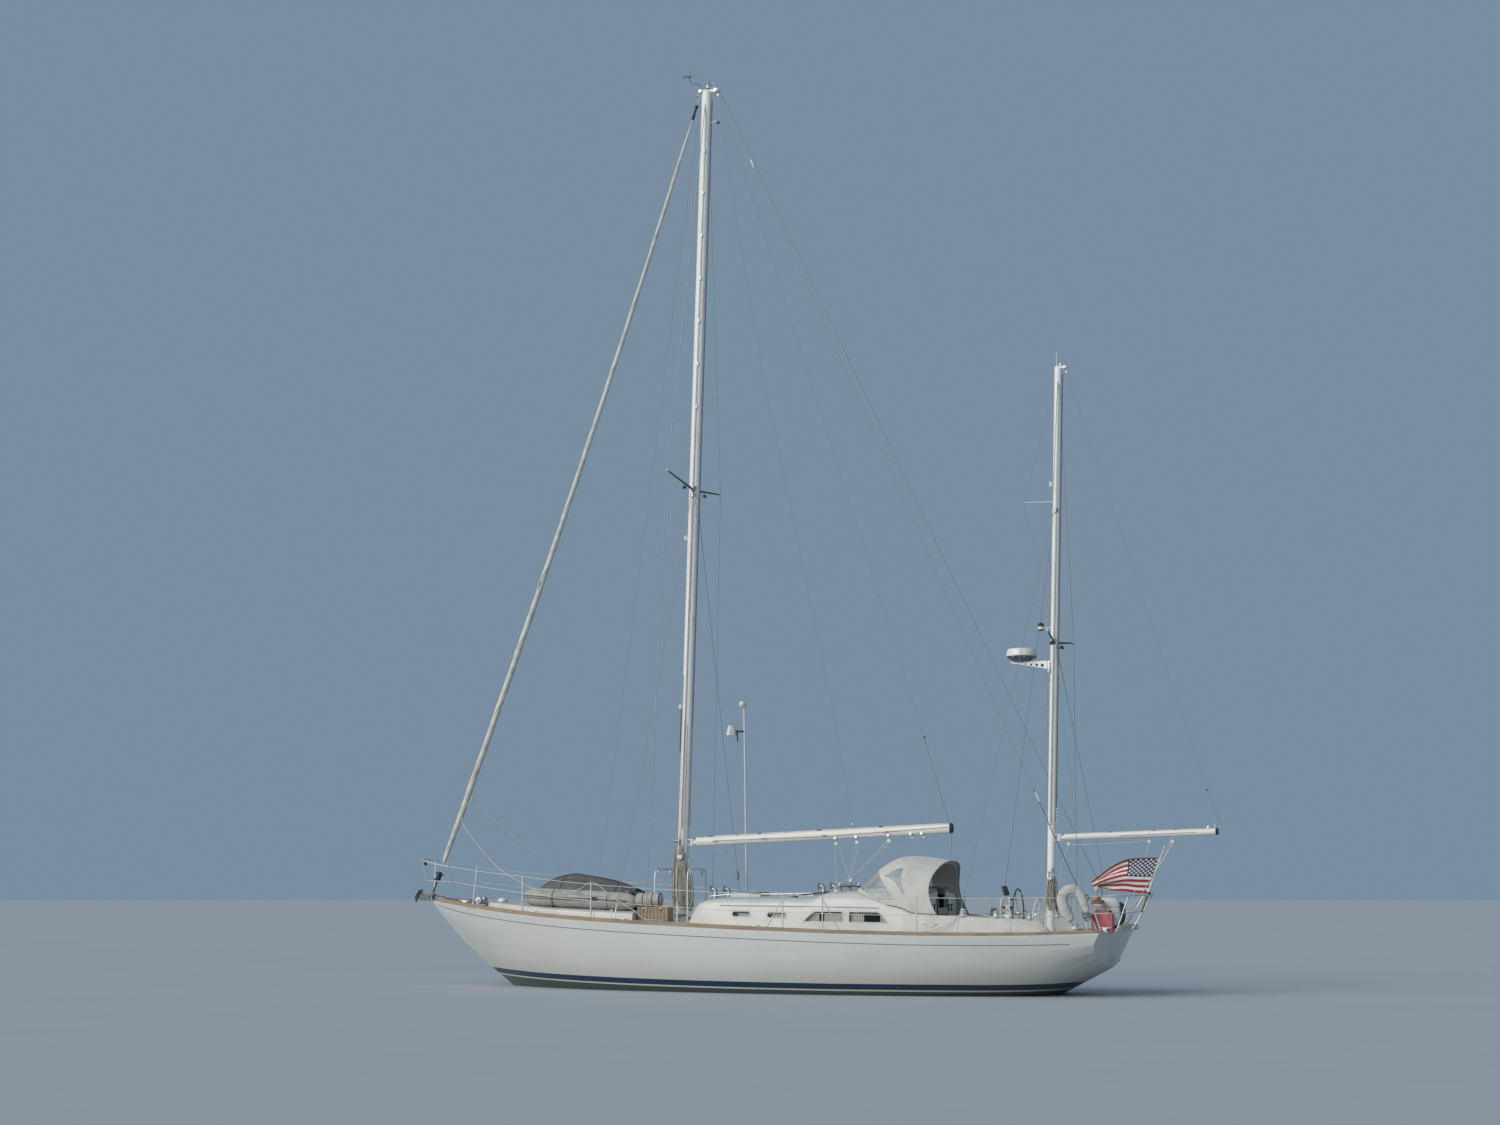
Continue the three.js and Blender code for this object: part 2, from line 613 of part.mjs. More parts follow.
// Propeller with its shaft
function propellerSolid() {
  const blades = [0, 120, 240].map((angle) => {
    const blade = ball([0, 0, 0], [62, 9, 104], 8, 6);
    blade.rotateZ(radians(58)).translate(0, 0, propeller.radius - 104);
    return blade.rotateX(radians(angle));
  });
  const hub = rod([-60, 0, 0], [70, 0, 0], propeller.hub, 10, propeller.hub * 0.75);
  const cap = rod([66, 0, 0], [110, 0, 0], propeller.hub * 0.76, 10, 8);
  const shaft = rod([-1100, 0, 0], [0, 0, 0], propeller.shaft, 12);
  const shape = toGeometry(join(hub, cap, shaft, ...blades));
  return shape.rotateY(radians(propeller.tilt)).translate(propeller.x, 0, propeller.z);
}
piece('propeller', propellerSolid(), bronze);

// Teak rails along the sheer
function toeRail(sign) {
  const stations = hullStations.filter((x) => x < 6300);
  const end = 6280;
  return loft([...stations.slice(1), end].map((x) => {
    const outer = halfBeam(x) - rail.inset;
    const inner = outer - rail.width;
    const z = deckHeight(x, outer) + seam + 1;
    const high = x < 0 ? rail.height : lerp(rail.height, rail.height * 0.7, x / end);
    return [[x, sign * outer, z], [x, sign * outer, z + high], [x, sign * inner, z + high],
      [x, sign * inner, Math.max(z, deckHeight(x, inner) + seam)]];
  }));
}
for (const { side, sign } of sides) piece(`toe_rail_${side}`, seatedOn(toeRail(sign), underDeck), teak);

// Masts, in their own upright frame and then raked aft about the foot
function mastGroup(mast) {
  const group = new THREE.Group();
  group.position.set(mast.x, 0, deckHeight(mast.x, 0));
  group.rotation.y = radians(mast.rake);
  yacht.add(group);
  return group;
}

function mastProfile(mast, z0, z1) {
  const shape = new THREE.Shape();
  shape.absellipse(0, 0, mast.foreAft / 2, mast.across / 2, 0, Math.PI * 2);
  const geometry = new THREE.ExtrudeGeometry(shape, { depth: z1 - z0, bevelEnabled: false, curveSegments: 6 });
  return geometry.translate(0, 0, z0);
}

const mastFoot = (mast) => deckHeight(mast.x, 0);

// The space under the deck and 0.3 mm above it, in a mast's own frame
function deckInFrame(group) {
  group.updateMatrixWorld(true);
  const back = group.matrixWorld.clone().invert();
  return [underDeck.clone().applyMatrix4(back), underDeck.clone().translate(0, 0, seam).applyMatrix4(back)];
}

// Gooseneck: two lugs on the mast with an upright pin between them
function gooseneckLugs(mast, boom) {
  const z = boom.z - mastFoot(mast);
  const reach = boom.pivot + 30;
  return [
    box(mast.foreAft / 2 - 20, reach, -26, 26, z - 58, z - 44),
    box(mast.foreAft / 2 - 20, reach, -26, 26, z + 44, z + 58),
    rod([boom.pivot, 0, z - 50], [boom.pivot, 0, z + 50], pinRadius, 12),
  ];
}

function boomShape(mast, boom) {
  const z = boom.z - mastFoot(mast);
  const eye = cut(
    rod([boom.pivot, 0, z - 43], [boom.pivot, 0, z + 43], 32, 16),
    rod([boom.pivot, 0, z - 90], [boom.pivot, 0, z + 90], pinRadius + pinPlay, 16),
  );
  const oval = new THREE.Shape();
  oval.absellipse(0, 0, boom.depth / 2, boom.width / 2, 0, Math.PI * 2);
  const start = 95;
  const settings = { depth: boom.length - start, bevelEnabled: false, curveSegments: 8 };
  const section = new THREE.ExtrudeGeometry(oval, settings);
  section.rotateY(Math.PI / 2).translate(start, 0, 0);
  const neck = box(22, start + 20, -18, 18, -30, 30);
  const spar = toGeometry(join(section, neck));
  spar.rotateY(radians(-boom.rise - mast.rake)).translate(boom.pivot, 0, z);
  return join(eye, spar);
}

const mainGroup = mastGroup(mainMast);
const mizzenGroup = mastGroup(mizzenMast);

function mainMastSolid() {
  const top = mainMast.top - mastFoot(mainMast);
  const crane = box(-150, 250, -35, 35, top - 60, top);
  const collar = mastProfile({ foreAft: mainMast.foreAft + 70, across: mainMast.across + 70 }, -15, 60);
  const whole = join(mastProfile(mainMast, -15, top - 30), crane, collar, ...gooseneckLugs(mainMast, mainBoom));
  return cut(whole, ...deckInFrame(mainGroup));
}

function mizzenMastSolid() {
  const top = mizzenMast.top - mastFoot(mizzenMast);
  const crane = box(-60, 160, -25, 25, top - 45, top);
  const collar = mastProfile({ foreAft: mizzenMast.foreAft + 60, across: mizzenMast.across + 60 }, -15, 50);
  const lugs = gooseneckLugs(mizzenMast, mizzenBoom);
  const whole = join(mastProfile(mizzenMast, -15, top - 30), crane, collar, ...lugs);
  return cut(whole, ...deckInFrame(mizzenGroup));
}

const mainMastMesh = piece('main_mast', mainMastSolid(), sparPaint, mainGroup);
piece('mizzen_mast', mizzenMastSolid(), sparPaint, mizzenGroup);
piece('main_boom', boomShape(mainMast, mainBoom), sparPaint, mainGroup);
piece('mizzen_boom', boomShape(mizzenMast, mizzenBoom), sparPaint, mizzenGroup);

const spreaderEnd = 14;

function spreaderSolid(mast, spreader, sign) {
  const z = spreader.z - mastFoot(mast);
  const tip = [spreader.sweep, sign * spreader.half, z + spreader.lift];
  const arm = rod([0, 0, z], tip, 24, 8, spreaderEnd);
  return cut(arm, mastProfile({ foreAft: mast.foreAft + 1, across: mast.across + 1 }, z - 200, z + 200));
}
for (const { side, sign } of sides) {
  piece(`main_spreader_${side}`, spreaderSolid(mainMast, mainSpreader, sign), sparPaint, mainGroup);
  piece(`mizzen_spreader_${side}`, spreaderSolid(mizzenMast, mizzenSpreader, sign), sparPaint, mizzenGroup);
}

// A place given in a mast's own frame, in the yacht's frame
function fromMast(group, point) {
  group.updateMatrixWorld(true);
  return vec(point).applyMatrix4(group.matrixWorld).toArray();
}

// Standing rigging
const chainplates = table(['name', 'x', 'half'], [
  ['main', -1900, 1665],
  ['mizzen', 5330, 1340],
]);

function capShroud(mast, group, spreader, plate, sign, radius) {
  const top = fromMast(group, [0, sign * (mast.across / 2 - 30), mast.top - mastFoot(mast) - 160]);
  const play = 0.8 + spreaderEnd * Math.hypot(spreader.lift, spreader.sweep) / spreader.half;
  const tip = fromMast(group, [spreader.sweep, sign * (spreader.half + radius + play),
    spreader.z - mastFoot(mast) + spreader.lift]);
  const foot = [plate.x, sign * plate.half, deckHeight(plate.x, plate.half) - 12];
  const screwTop = [0, 1, 2].map((axis) => lerp(foot[axis], tip[axis], 0.03));
  return join(strand([top, tip, foot], radius, false, 6), strand([foot, screwTop], radius * 2, false, 6));
}

const mastClear = (mast, group) => {
  const shape = mastProfile({ foreAft: mast.foreAft + 0.8, across: mast.across + 0.8 }, -100, 20000);
  group.updateMatrixWorld(true);
  return shape.applyMatrix4(group.matrixWorld);
};
for (const { side, sign } of sides) {
  const main = capShroud(mainMast, mainGroup, mainSpreader, chainplates[0], sign, 7);
  piece(`main_shroud_${side}`, seatedOn(cut(main, mastClear(mainMast, mainGroup)), underDeck), wire);
  const mizzen = capShroud(mizzenMast, mizzenGroup, mizzenSpreader, chainplates[1], sign, 6);
  piece(`mizzen_shroud_${side}`, seatedOn(cut(mizzen, mastClear(mizzenMast, mizzenGroup)), underDeck), wire);
}

const backstayTop = fromMast(mainGroup, [262, 0, mainMast.top - mastFoot(mainMast) - 30]);
for (const { side, sign } of sides) {
  const foot = [6180, sign * 1120, deckHeight(6180, 1120) - 12];
  const top = [backstayTop[0], sign * 12, backstayTop[2]];
  piece(`backstay_${side}`, seatedOn(strand([foot, top], 7), underDeck), wire);
}

// Headsail rolled round its stay, with a slight sag, and the furling drum below it
const stay = { foot: [-7070, 0, 1790], sag: 120, wire: 7 };
const stayTop = fromMast(mainGroup, [-130, 0, mainMast.top - mastFoot(mainMast) - 50]);

function stayPoint(t) {
  const [fx, , fz] = stay.foot;
  return [lerp(fx, stayTop[0], t) + stay.sag * 4 * t * (1 - t), 0, lerp(fz, stayTop[2], t)];
}

const clew = { x: -6270, z: 3585 };

function furledSail() {
  const stations = table(['t', 'radius'], [
    [0.032, 9], [0.04, 40], [0.08, 56], [0.25, 60], [0.45, 54], [0.65, 46], [0.82, 38], [0.93, 30], [0.962, 9],
  ]);
  const roll = loft(stations.map(({ t, radius }) => {
    const [x, , z] = stayPoint(t);
    return Array.from({ length: 10 }, (_, i) => {
      const angle = (i / 10) * Math.PI * 2;
      return [x + radius * Math.cos(angle), radius * Math.sin(angle), z - radius * 0.35 * Math.cos(angle)];
    });
  }));
  const upper = rod(stayPoint(0.955), stayTop, stay.wire, 6);
  const lower = rod(stayPoint(0.022), stayPoint(0.036), 16, 8);
  const clewTab = loft([
    [[-6400, -8, 3510], [-6400, 8, 3510], [-6380, 8, 3690], [-6380, -8, 3690]],
    [[clew.x, -8, clew.z - 25], [clew.x, 8, clew.z - 25], [clew.x, 8, clew.z + 25], [clew.x, -8, clew.z + 25]],
  ]);
  return join(roll, upper, lower, clewTab);
}

function furlerDrum() {
  const middle = stayPoint(0.0175);
  const way = vec(stayPoint(0.03)).sub(vec(stayPoint(0.005))).normalize();
  const at = (d) => vec(middle).addScaledVector(way, d).toArray();
  return join(
    rod(at(-78), at(-70), 85, 12),
    rod(at(-72), at(58), 52, 10),
    rod(at(50), at(62), 85, 12),
    rod(at(-330), at(-70), 14, 8),
    rod(at(60), at(96), 30, 10),
  );
}
const mastInPlace = mainMastMesh.geometry.clone().applyMatrix4(mainGroup.matrixWorld);
const drumSolid = furlerDrum();
const sailSolid = cut(furledSail(), mastInPlace, mastInPlace.clone().translate(-0.1, 0, -seam),
  drumSolid, toGeometry(drumSolid).clone().translate(0.2, 0, 0.5));
piece('furled_headsail', sailSolid, sailcloth);

// Stem fitting with its roller, and the anchor stowed on it
const stem = { plateZ: 1624, rollerZ: 1678, roller: 30 };

function stemFitting() {
  const plate = box(-7330, -6780, -75, 75, 1598, stem.plateZ);
  const cheeks = sides.map(({ sign }) => box(-7330, -7120, sign * 68 - 6, sign * 68 + 6, 1610, 1718));
  const roller = rod([-7270, -66, stem.rollerZ], [-7270, 66, stem.rollerZ], stem.roller, 12);
  const chainplate = box(-7090, -7050, -10, 10, 1610, 1750);
  return join(plate, ...cheeks, roller, chainplate);
}
const stemSolid = seatedOn(stemFitting(), underDeck);
piece('stem_fitting', stemSolid, stainless);
const drumOnStem = cut(drumSolid, stemSolid, toGeometry(stemSolid).clone().translate(0, 0, seam));
piece('furler_drum', drumOnStem, blackPlastic);

// The shank lies on the roller, to starboard of the stay's chainplate
const anchorSide = 37;

function anchorSolid() {
  const slope = -0.1;
  const shankZ = (x) => stem.rollerZ + stem.roller + 15.5 + seam + slope * (x + 7270);
  const shank = rod([-7425, anchorSide, shankZ(-7425)], [-6850, anchorSide, shankZ(-6850)], 15, 8);
  const rows = table(['x', 'half', 'z'], [[-7480, 10, 1560], [-7445, 110, 1690], [-7385, 95, 1790]]);
  const fluke = loft(rows.map(({ x, half, z }) => [
    [x, anchorSide - half, z], [x, anchorSide + half, z],
    [x + 20, anchorSide + half, z + 18], [x + 20, anchorSide - half, z + 18]]));
  return join(shank, fluke);
}
piece('anchor', cut(anchorSolid(), stemSolid), galvanised);

// Rails round the boat: railTop rows give x, distance off the centreline and height
const post = 13;

function railFoot(x, y) {
  return [x, y, deckHeight(x, y) - 12];
}

function pulpit() {
  const top = [[-6450, -620, 2255], [-6900, -420, 2320], [-7180, -270, 2375], [-7270, -120, 2395],
    [-7270, 120, 2395], [-7180, 270, 2375], [-6900, 420, 2320], [-6450, 620, 2255]];
  const legs = sides.flatMap(({ sign }) => [
    rod(railFoot(-6390, sign * 340), [-6450, sign * 620, 2255], post, 5),
    rod([-7085, sign * 48, stem.plateZ - 10], [-7180, sign * 270, 2375], post, 5),
    rod([-6423, sign * 495, 1960], [-7130, sign * 152, 1985], 10, 5),
    ball([-6450, sign * 620, 2255], [post, post, post], 6, 4),
  ]);
  return join(tube(top, post, 14, 5), ...legs);
}
piece('pulpit', seatedOn(seatedOn(pulpit(), underDeck), stemSolid), stainless);

function pushpit() {
  const half = (x) => halfBeam(x) - 95;
  const top = [[5760, -half(5760), 1700], [6300, -half(6300) - 20, 1712], [6670, -950, 1722], [6845, -600, 1728],
    [6878, 0, 1728], [6845, 600, 1728], [6670, 950, 1722], [6300, half(6300) + 20, 1712],
    [5760, half(5760), 1700]];
  const middle = top.map(([x, y, z]) => [x - 200 * Math.max(0, (x - 6200) / 700), y, z - 290]);
  const staffSeat = box(6670, 6765, -20, 20, 1420, 1434);
  const legs = sides.flatMap(({ sign }) => [
    rod(railFoot(5760, sign * half(5760)), [5760, sign * half(5760), 1700], post, 5),
    rod(railFoot(6470, sign * 960), [6670, sign * 950, 1722], post, 5),
    rod(railFoot(6500, sign * 420), [6862, sign * 420, 1728], post, 5),
    ball([5760, sign * half(5760), 1700], [post, post, post], 6, 4),
  ]);
  return join(tube(top, post, 18, 5), tube(middle, 10, 18, 5), staffSeat, ...legs);
}
piece('pushpit', seatedOn(pushpit(), underDeck), stainless);

const stanchions = table(['x', 'top'], [
  [-4600, 2070], [-3040, 1925], [750, 1742], [1480, 1722], [3150, 1700], [4740, 1690]]);
const stanchionOff = (x) => halfBeam(x) - 85;

// Stanchions of one side with the two guard wires through them; the boarding gate's posts are braced
function guardRail(sign) {
  const at = (x, z) => [x, sign * stanchionOff(x), z];
  const posts = stanchions.map(({ x, top }) => rod(railFoot(x, sign * stanchionOff(x)), at(x, top), post, 5));
  const feet = stanchions.map(({ x }) => {
    const foot = railFoot(x, sign * stanchionOff(x));
    return rod(foot, [foot[0], foot[1], foot[2] + 50], 26, 5);
  });
  const braces = [[750, -330], [1480, 330]].map(([x, away]) => {
    const low = railFoot(x + away, sign * (stanchionOff(x + away) - 20));
    return rod(low, at(x, 1650), 9, 4);
  });
  const wires = [0, 300].flatMap((drop) => {
    const ends = [at(-6360, 2245 - drop * 0.87), ...stanchions.map(({ x, top }) => at(x, top - 12 - drop)),
      at(5700, 1688 - drop)];
    ends[0][1] = sign * (drop ? 540 : 600);
    return [strand(ends, 4.5, true)];
  });
  return join(...posts, ...feet, ...braces, ...wires);
}
for (const { side, sign } of sides) {
  piece(`guard_rail_${side}`, seatedOn(guardRail(sign), underDeck), stainless);
}

// Hoops before and abaft the main mast
function mastHoop(x) {
  const foot = deckHeight(x, 450) - 12;
  const top = 2195;
  const points = [[x, -470, foot], [x, -470, 1900], [x, -455, 2110], [x, -360, top], [x, 0, top], [x, 360, top],
    [x, 455, 2110], [x, 470, 1900], [x, 470, foot]];
  return tube(points, 15, 20, 6);
}
piece('mast_hoop_forward', seatedOn(mastHoop(-2210), underDeck), stainless);
piece('mast_hoop_aft', seatedOn(mastHoop(-1560), underDeck), stainless);

// Radar on its bracket before the mizzen mast
const radar = { x: 4695, z: 5990, radius: 280, high: 240 };

function radarDome() {
  const profile = [[0, 0], [210, 0], [262, 40], [280, 95], [270, 165], [225, 218], [120, 238], [0, 240]];
  const geometry = new THREE.LatheGeometry(profile.map(([r, z]) => new THREE.Vector2(r, z)), 24);
  return geometry.rotateX(Math.PI / 2).translate(radar.x, 0, radar.z - radar.high / 2);
}
piece('radar_dome', radarDome(), whitePlastic);

function radarBracket() {
  const top = radar.z - radar.high / 2 - seam;
  const arms = sides.map(({ sign }) => loft([
    [[radar.x - 190, sign * 45 - 4, top], [radar.x - 190, sign * 45 + 4, top], [radar.x - 190, sign * 45 + 4, top - 20],
      [radar.x - 190, sign * 45 - 4, top - 20]],
    [[5400, sign * 45 - 4, top], [5400, sign * 45 + 4, top], [5400, sign * 45 + 4, top - 190],
      [5400, sign * 45 - 4, top - 190]],
  ]));
  const tray = box(radar.x - 190, radar.x + 200, -60, 60, top - 8, top);
  return cut(join(...arms, tray), mastClear(mizzenMast, mizzenGroup), box(5282, 5600, -200, 200, 5000, 7000));
}
piece('radar_bracket', radarBracket(), stainless);

// Aerials on a pole at the starboard rail
function aerialPole() {
  const x = -1180;
  const y = 1700;
  return join(
    rod(railFoot(x, y), [x - 60, y, 5330], 20, 10),
    ball([x - 60, y, 5380], [48, 48, 62], 10, 8),
    rod([x - 55, y, 4870], [x - 330, y, 4870], 11, 6),
    rod([x - 330, y, 4800], [x - 330, y, 4990], 105, 6, 60),
  );
}
piece('aerial_pole', seatedOn(aerialPole(), underDeck), whitePlastic);

// Wheel on its pedestal
function wheelSolid() {
  const { x, z, radius, rim, spokes } = wheel;
  const ring = new THREE.TorusGeometry(radius, rim, 5, 24);
  const bars = Array.from({ length: spokes }, (_, i) => {
    const angle = (i / spokes) * Math.PI * 2;
    return rod([0, 0, 0], [radius * Math.cos(angle), radius * Math.sin(angle), 0], 8, 5);
  });
  const hub = rod([0, 0, -30], [0, 0, 30], 45, 12);
  const axle = rod([0, 0, -130], [0, 0, 0], 13, 10);
  return toGeometry(join(ring, hub, axle, ...bars)).rotateY(Math.PI / 2).translate(x, 0, z);
}
piece('steering_wheel', wheelSolid(), stainless);

function binnacle() {
  const x = wheel.x - 190;
  const column = rod([x, 0, cockpit.soleZ + seam], [x, 0, 1360], 95, 12, 72);
  const head = box(x - 85, x + 85, -85, 85, 1340, 1470);
  const compass = ball([x, 0, 1500], [82, 82, 62], 10, 6);
  const guard = tube([[x - 95, -150, 1000], [x - 95, -150, 1500], [x - 95, -110, 1640], [x - 95, 0, 1670],
    [x - 95, 110, 1640], [x - 95, 150, 1500], [x - 95, 150, 1000]], 14, 14, 5);
  const brackets = [1010, 1420].map((z) => box(x - 105, x - 60, -150, 150, z - 8, z + 8));
  const bore = rod([x + 20, 0, wheel.z], [x + 160, 0, wheel.z], 14, 12);
  const bearing = rod([x + 60, 0, wheel.z], [x + 130, 0, wheel.z], 40, 12);
  return cut(join(column, head, compass, guard, bearing, ...brackets), bore);
}
piece('binnacle', binnacle(), whitePlastic);

// Lids
function lockerLid(edge) {
  const { x0, x1, lap, lid } = locker;
  const z = cockpit.seatZ + 2 * seam;
  return box(x0 - lap, x1 + lap, edge[0] - lap, edge[1] + lap, z, z + lid);
}
for (const { sign, edge } of lockerOpenings) {
  piece(`locker_lid_${sign < 0 ? 'port' : 'starboard'}`, lockerLid(edge), deckWhite);
}

function foreHatchLid() {
  const z = foreHatchZ + foreHatch.coaming + 0.6;
  return box(foreHatch.x0 - 15, foreHatch.x1 + 15, -foreHatch.half - 15, foreHatch.half + 15, z, z + foreHatch.lid);
}
piece('fore_hatch_lid', foreHatchLid(), glass);

function slidingHatch() {
  const half = companionway.half + 72;
  return box(companionway.slotX0 - 40, companionway.x + 25, -half, half, 1830.6, 1860);
}
piece('companionway_hatch', slidingHatch(), teak);

// Spray hood of canvas over the companionway, on two hoops
const hoodRings = table(
  // foot and top: aft place at the foot and at the top; bulge: bow of the ring toward the stern; power: squareness
  ['footX', 'footZ', 'half', 'topX', 'topZ', 'bulge', 'power'],
  [
    [2560, 1500, 1072, 1775, 1828, 0, 4.5],
    [2790, 1430, 1086, 2250, 2270, 0, 3.2],
    [2960, 1360, 1112, 2660, 2415, -60, 3],
    [3380, 1350, 1128, 3370, 2325, -170, 2.8],
  ],
);
const canvasThick = 12;

function hoodPoint(v, angle, inset) {
  const ring = hoodRings.length - 1;
  const rows = hoodRings.map((row, i) => ({ ...row, x: i / ring }));
  const at = (name) => along(rows, name, v);
  const across = Math.cos(angle);
  const up = Math.max(Math.sin(angle), 0);
  const half = at('half') - inset;
  const high = at('topZ') - at('footZ') - inset;
  const y = half * Math.sign(across) * Math.abs(across) ** (2 / at('power'));
  const rise = up ** (2 / at('power'));
  const x = lerp(at('footX'), at('topX'), rise) + at('bulge') * Math.sin(Math.PI * rise);
  return [x, y, at('footZ') + high * rise];
}

const hoodGrid = (inset) => (
  spread(0, 1, 6).map((v) => spread(0, Math.PI, 12).map((a) => hoodPoint(v, a, inset))));
const trunkWhole = seatedOn(trunk(), underDeck);
const overTrunk = toGeometry(trunkWhole).clone().translate(0, 0, seam);
const overDeck = toGeometry(deckSolid).clone().translate(0, 0, seam);
const hoodSolid = cut(shell(hoodGrid(0), hoodGrid(canvasThick)), trunkSolid(-0.5, 1600, 3300),
  trunkWhole, overTrunk, deckSolid, overDeck);
piece('dodger', hoodSolid, canvas);

function hoodFrame() {
  const pipe = 12.5;
  const hoop = (v) => tube(spread(0.06, Math.PI - 0.06, 12).map((a) => hoodPoint(v, a, 40)), pipe, 18, 5);
  const bars = sides.map(({ sign }) => {
    const [fore, aft] = [0.64, 0.97].map((v) => hoodPoint(v, sign > 0 ? 0.06 : Math.PI - 0.06, 40));
    return rod(fore, aft, pipe, 6);
  });
  return join(hoop(0.64), hoop(0.97), ...bars);
}
const frameUnderHood = seatedOn(seatedOn(hoodFrame(), deckSolid), hoodSolid, -seam);
piece('dodger_frame', cut(frameUnderHood, trunkSolid(-0.5, 1600, 3200)), stainless);

// Inflatable dinghy lying upside down on its chocks
piece('dinghy_tube', dinghyTube(dinghy.tube), tubeFabric);

function dinghyFloor() {
  const rows = table(['x', 'half', 'ridge'], [
    [-4720, 200, 1872], [-4600, 330, 1950], [-4410, 420, 2050], [-4050, 450, 2110], [-3500, 455, 2030],
    [-3160, 455, 1965], [-2740, 455, 1825]]);
  const skin = loft(rows.map(({ x, half, ridge }) => {
    const share = (x - dinghy.noseX) / (dinghy.sternX - dinghy.noseX);
    const z = lerp(dinghy.foreZ, dinghy.aftZ, share) + 110;
    const port = [[x, -half, z - 30], [x, -half, z], [x, -half * 0.45, lerp(z, ridge, 0.75)]];
    const inner = [[x, half - 25, z - 30], [x, 0, ridge - 28], [x, -half + 25, z - 30]];
    return [...port, [x, 0, ridge], ...port.slice().reverse().map(mirrored), ...inner];
  }));
  const transomBoard = box(-2800, -2772, -450, 450, 1500, 1790);
  return cut(join(skin, transomBoard), dinghyTube(dinghy.tube + 0.6));
}
piece('dinghy_floor', dinghyFloor(), darkFabric);

// Mainsheet track across the coachroof
function traveller() {
  const x = 1425;
  const feet = [-560, 0, 560].map((y) => box(x - 30, x + 30, y - 25, y + 25, 1700, 1870));
  return seatedOn(join(box(x - 20, x + 20, -640, 640, 1862, 1886), ...feet), trunkSolid(0));
}
piece('traveller', traveller(), galvanised);

// Box on deck to port of the mast
piece('deck_box', seatedOn(box(-2440, -1830, -760, -500, 1200, 1500), underDeck), teak);

// Gear at the stern: horseshoe buoy and outboard motor on the rail, fuel can on deck
const pushpitWhole = seatedOn(pushpit(), underDeck);
const clearOfRail = (shape, step) => (
  cut(shape, pushpitWhole, toGeometry(pushpitWhole).clone().translate(0, step, 0)));

function horseshoeBuoy() {
  const half = 250;
  const limb = 68;
  const arc = spread(0, Math.PI, 8).map((a) => [-half * 0.72 * Math.cos(a), 110 + half * 0.72 * Math.sin(a)]);
  const row = [[-165, -270], [-180, -80], ...arc, [180, -80], [165, -270]];
  const shape = tube(row.map(([x, z]) => [x, 0, z]), limb, 20, 8).scale(1, 0.75, 1);
  return shape.rotateZ(radians(10)).translate(5820, -1306, 1640);
}
piece('horseshoe_buoy', cut(clearOfRail(horseshoeBuoy(), -seam), guardRail(-1)), whitePlastic);

function fuelCan() {
  const body = sidePlate([[6060, 1000], [6420, 1000], [6420, 1430], [6290, 1465], [6060, 1465]], 26, -1040, -890);
  const grip = box(6130, 6270, -985, -945, 1450, 1500);
  return seatedOn(join(body, grip), underDeck);
}
piece('fuel_can', fuelCan(), redPlastic);

function outboardMotor() {
  const cowl = ball([6290, -765, 1560], [235, 128, 130], 10, 6);
  const leg = box(6350, 6460, -820, -720, 1180, 1560);
  const clamp = box(6140, 6290, -1170, -790, 1600, 1650);
  const pad = box(6110, 6310, -1200, -1165, 1570, 1720);
  return join(cowl, leg, clamp, pad);
}
piece('outboard_motor', clearOfRail(outboardMotor(), seam), whitePlastic);

// Ensign on its staff
const staff = { foot: [6737, 0, 1433], head: [7162, 0, 2545], radius: 15 };
const staffSolid = cut(rod(staff.foot, staff.head, staff.radius, 8, 11), pushpitWhole,
  toGeometry(pushpitWhole).clone().translate(-seam, 0, 0), toGeometry(pushpitWhole).clone().translate(0, 0, seam));
piece('ensign_staff', staffSolid, teak);

function ensignSheet(offset) {
  const rows = table(['x', 'top', 'bottom'], [[0, 2372, 1755], [-300, 2365, 1738], [-510, 2345, 1742],
    [-740, 2230, 1800], [-980, 2060, 1850], [-1150, 1950, 1880]]);
  return rows.map((row, i) => spread(0, 1, 3).map((v) => {
    const z = lerp(row.top, row.bottom, v);
    const hoist = lerp(staff.foot[0], staff.head[0], (z - staff.foot[2]) / (staff.head[2] - staff.foot[2])) - 13;
    return [hoist + row.x, offset + 70 * Math.sin(i * 1.3 + v) * Math.min(i, 1), z];
  }));
}
piece('ensign', cut(shell(ensignSheet(-5), ensignSheet(5)), staffSolid,
  toGeometry(staffSolid).clone().translate(-seam, 0, 0)), flagCloth);

// Headsail sheets, hanging from the clew and led aft along the side decks
const sheetRadius = 7;
const sheetSteps = { port: 44, starboard: 40 };
const sheetRoutes = {
  port: [[-6262, -18, 3560], [-6385, -66, 3400], [-6452, -70, 3150], [-6330, -105, 2960], [-6140, -150, 2760],
    [-5700, -300, 2380], [-5420, -400, 2180], [-5030, -500, 1990], [-4720, -570, 1866], [-4480, -640, 1812],
    [-4180, -690, 1790], [-3850, -700, 1780], [-3500, -1020, 1825], [-2960, -1524, 1932], [-2550, -1655, 1680],
    [-2070, -1704, 1420]],
  starboard: [[-6262, 18, 3560], [-6080, 110, 3340], [-5890, 200, 3160], [-5450, 400, 2770], [-4930, 700, 2380],
    [-4280, 1090, 2045], [-3640, 1280, 1915], [-2960, 1524, 1934], [-2550, 1655, 1680], [-2070, 1704, 1420]],
};
const sheetAlongDeck = [[-1900, 1702, 1300], [-1640, 1682, 1272], [-1350, 1580, 1202], [-600, 1450, 1175],
  [100, 1435, 1151], [800, 1430, 1128], [1400, 1418, 1110], [2000, 1400, 1096], [2500, 1370, 1086],
  [3000, 1330, 1080], [3500, 1270, 1180], [3790, 1180, 1385]];

function headsailSheet(side, sign) {
  const route = [...sheetRoutes[side], ...sheetAlongDeck.map(([x, y, z]) => [x, sign * y, z])];
  return tube(route, sheetRadius, sheetSteps[side], 8);
}
for (const { side, sign } of sides) piece(`jib_sheet_${side}`, headsailSheet(side, sign), rope);

export default yacht;
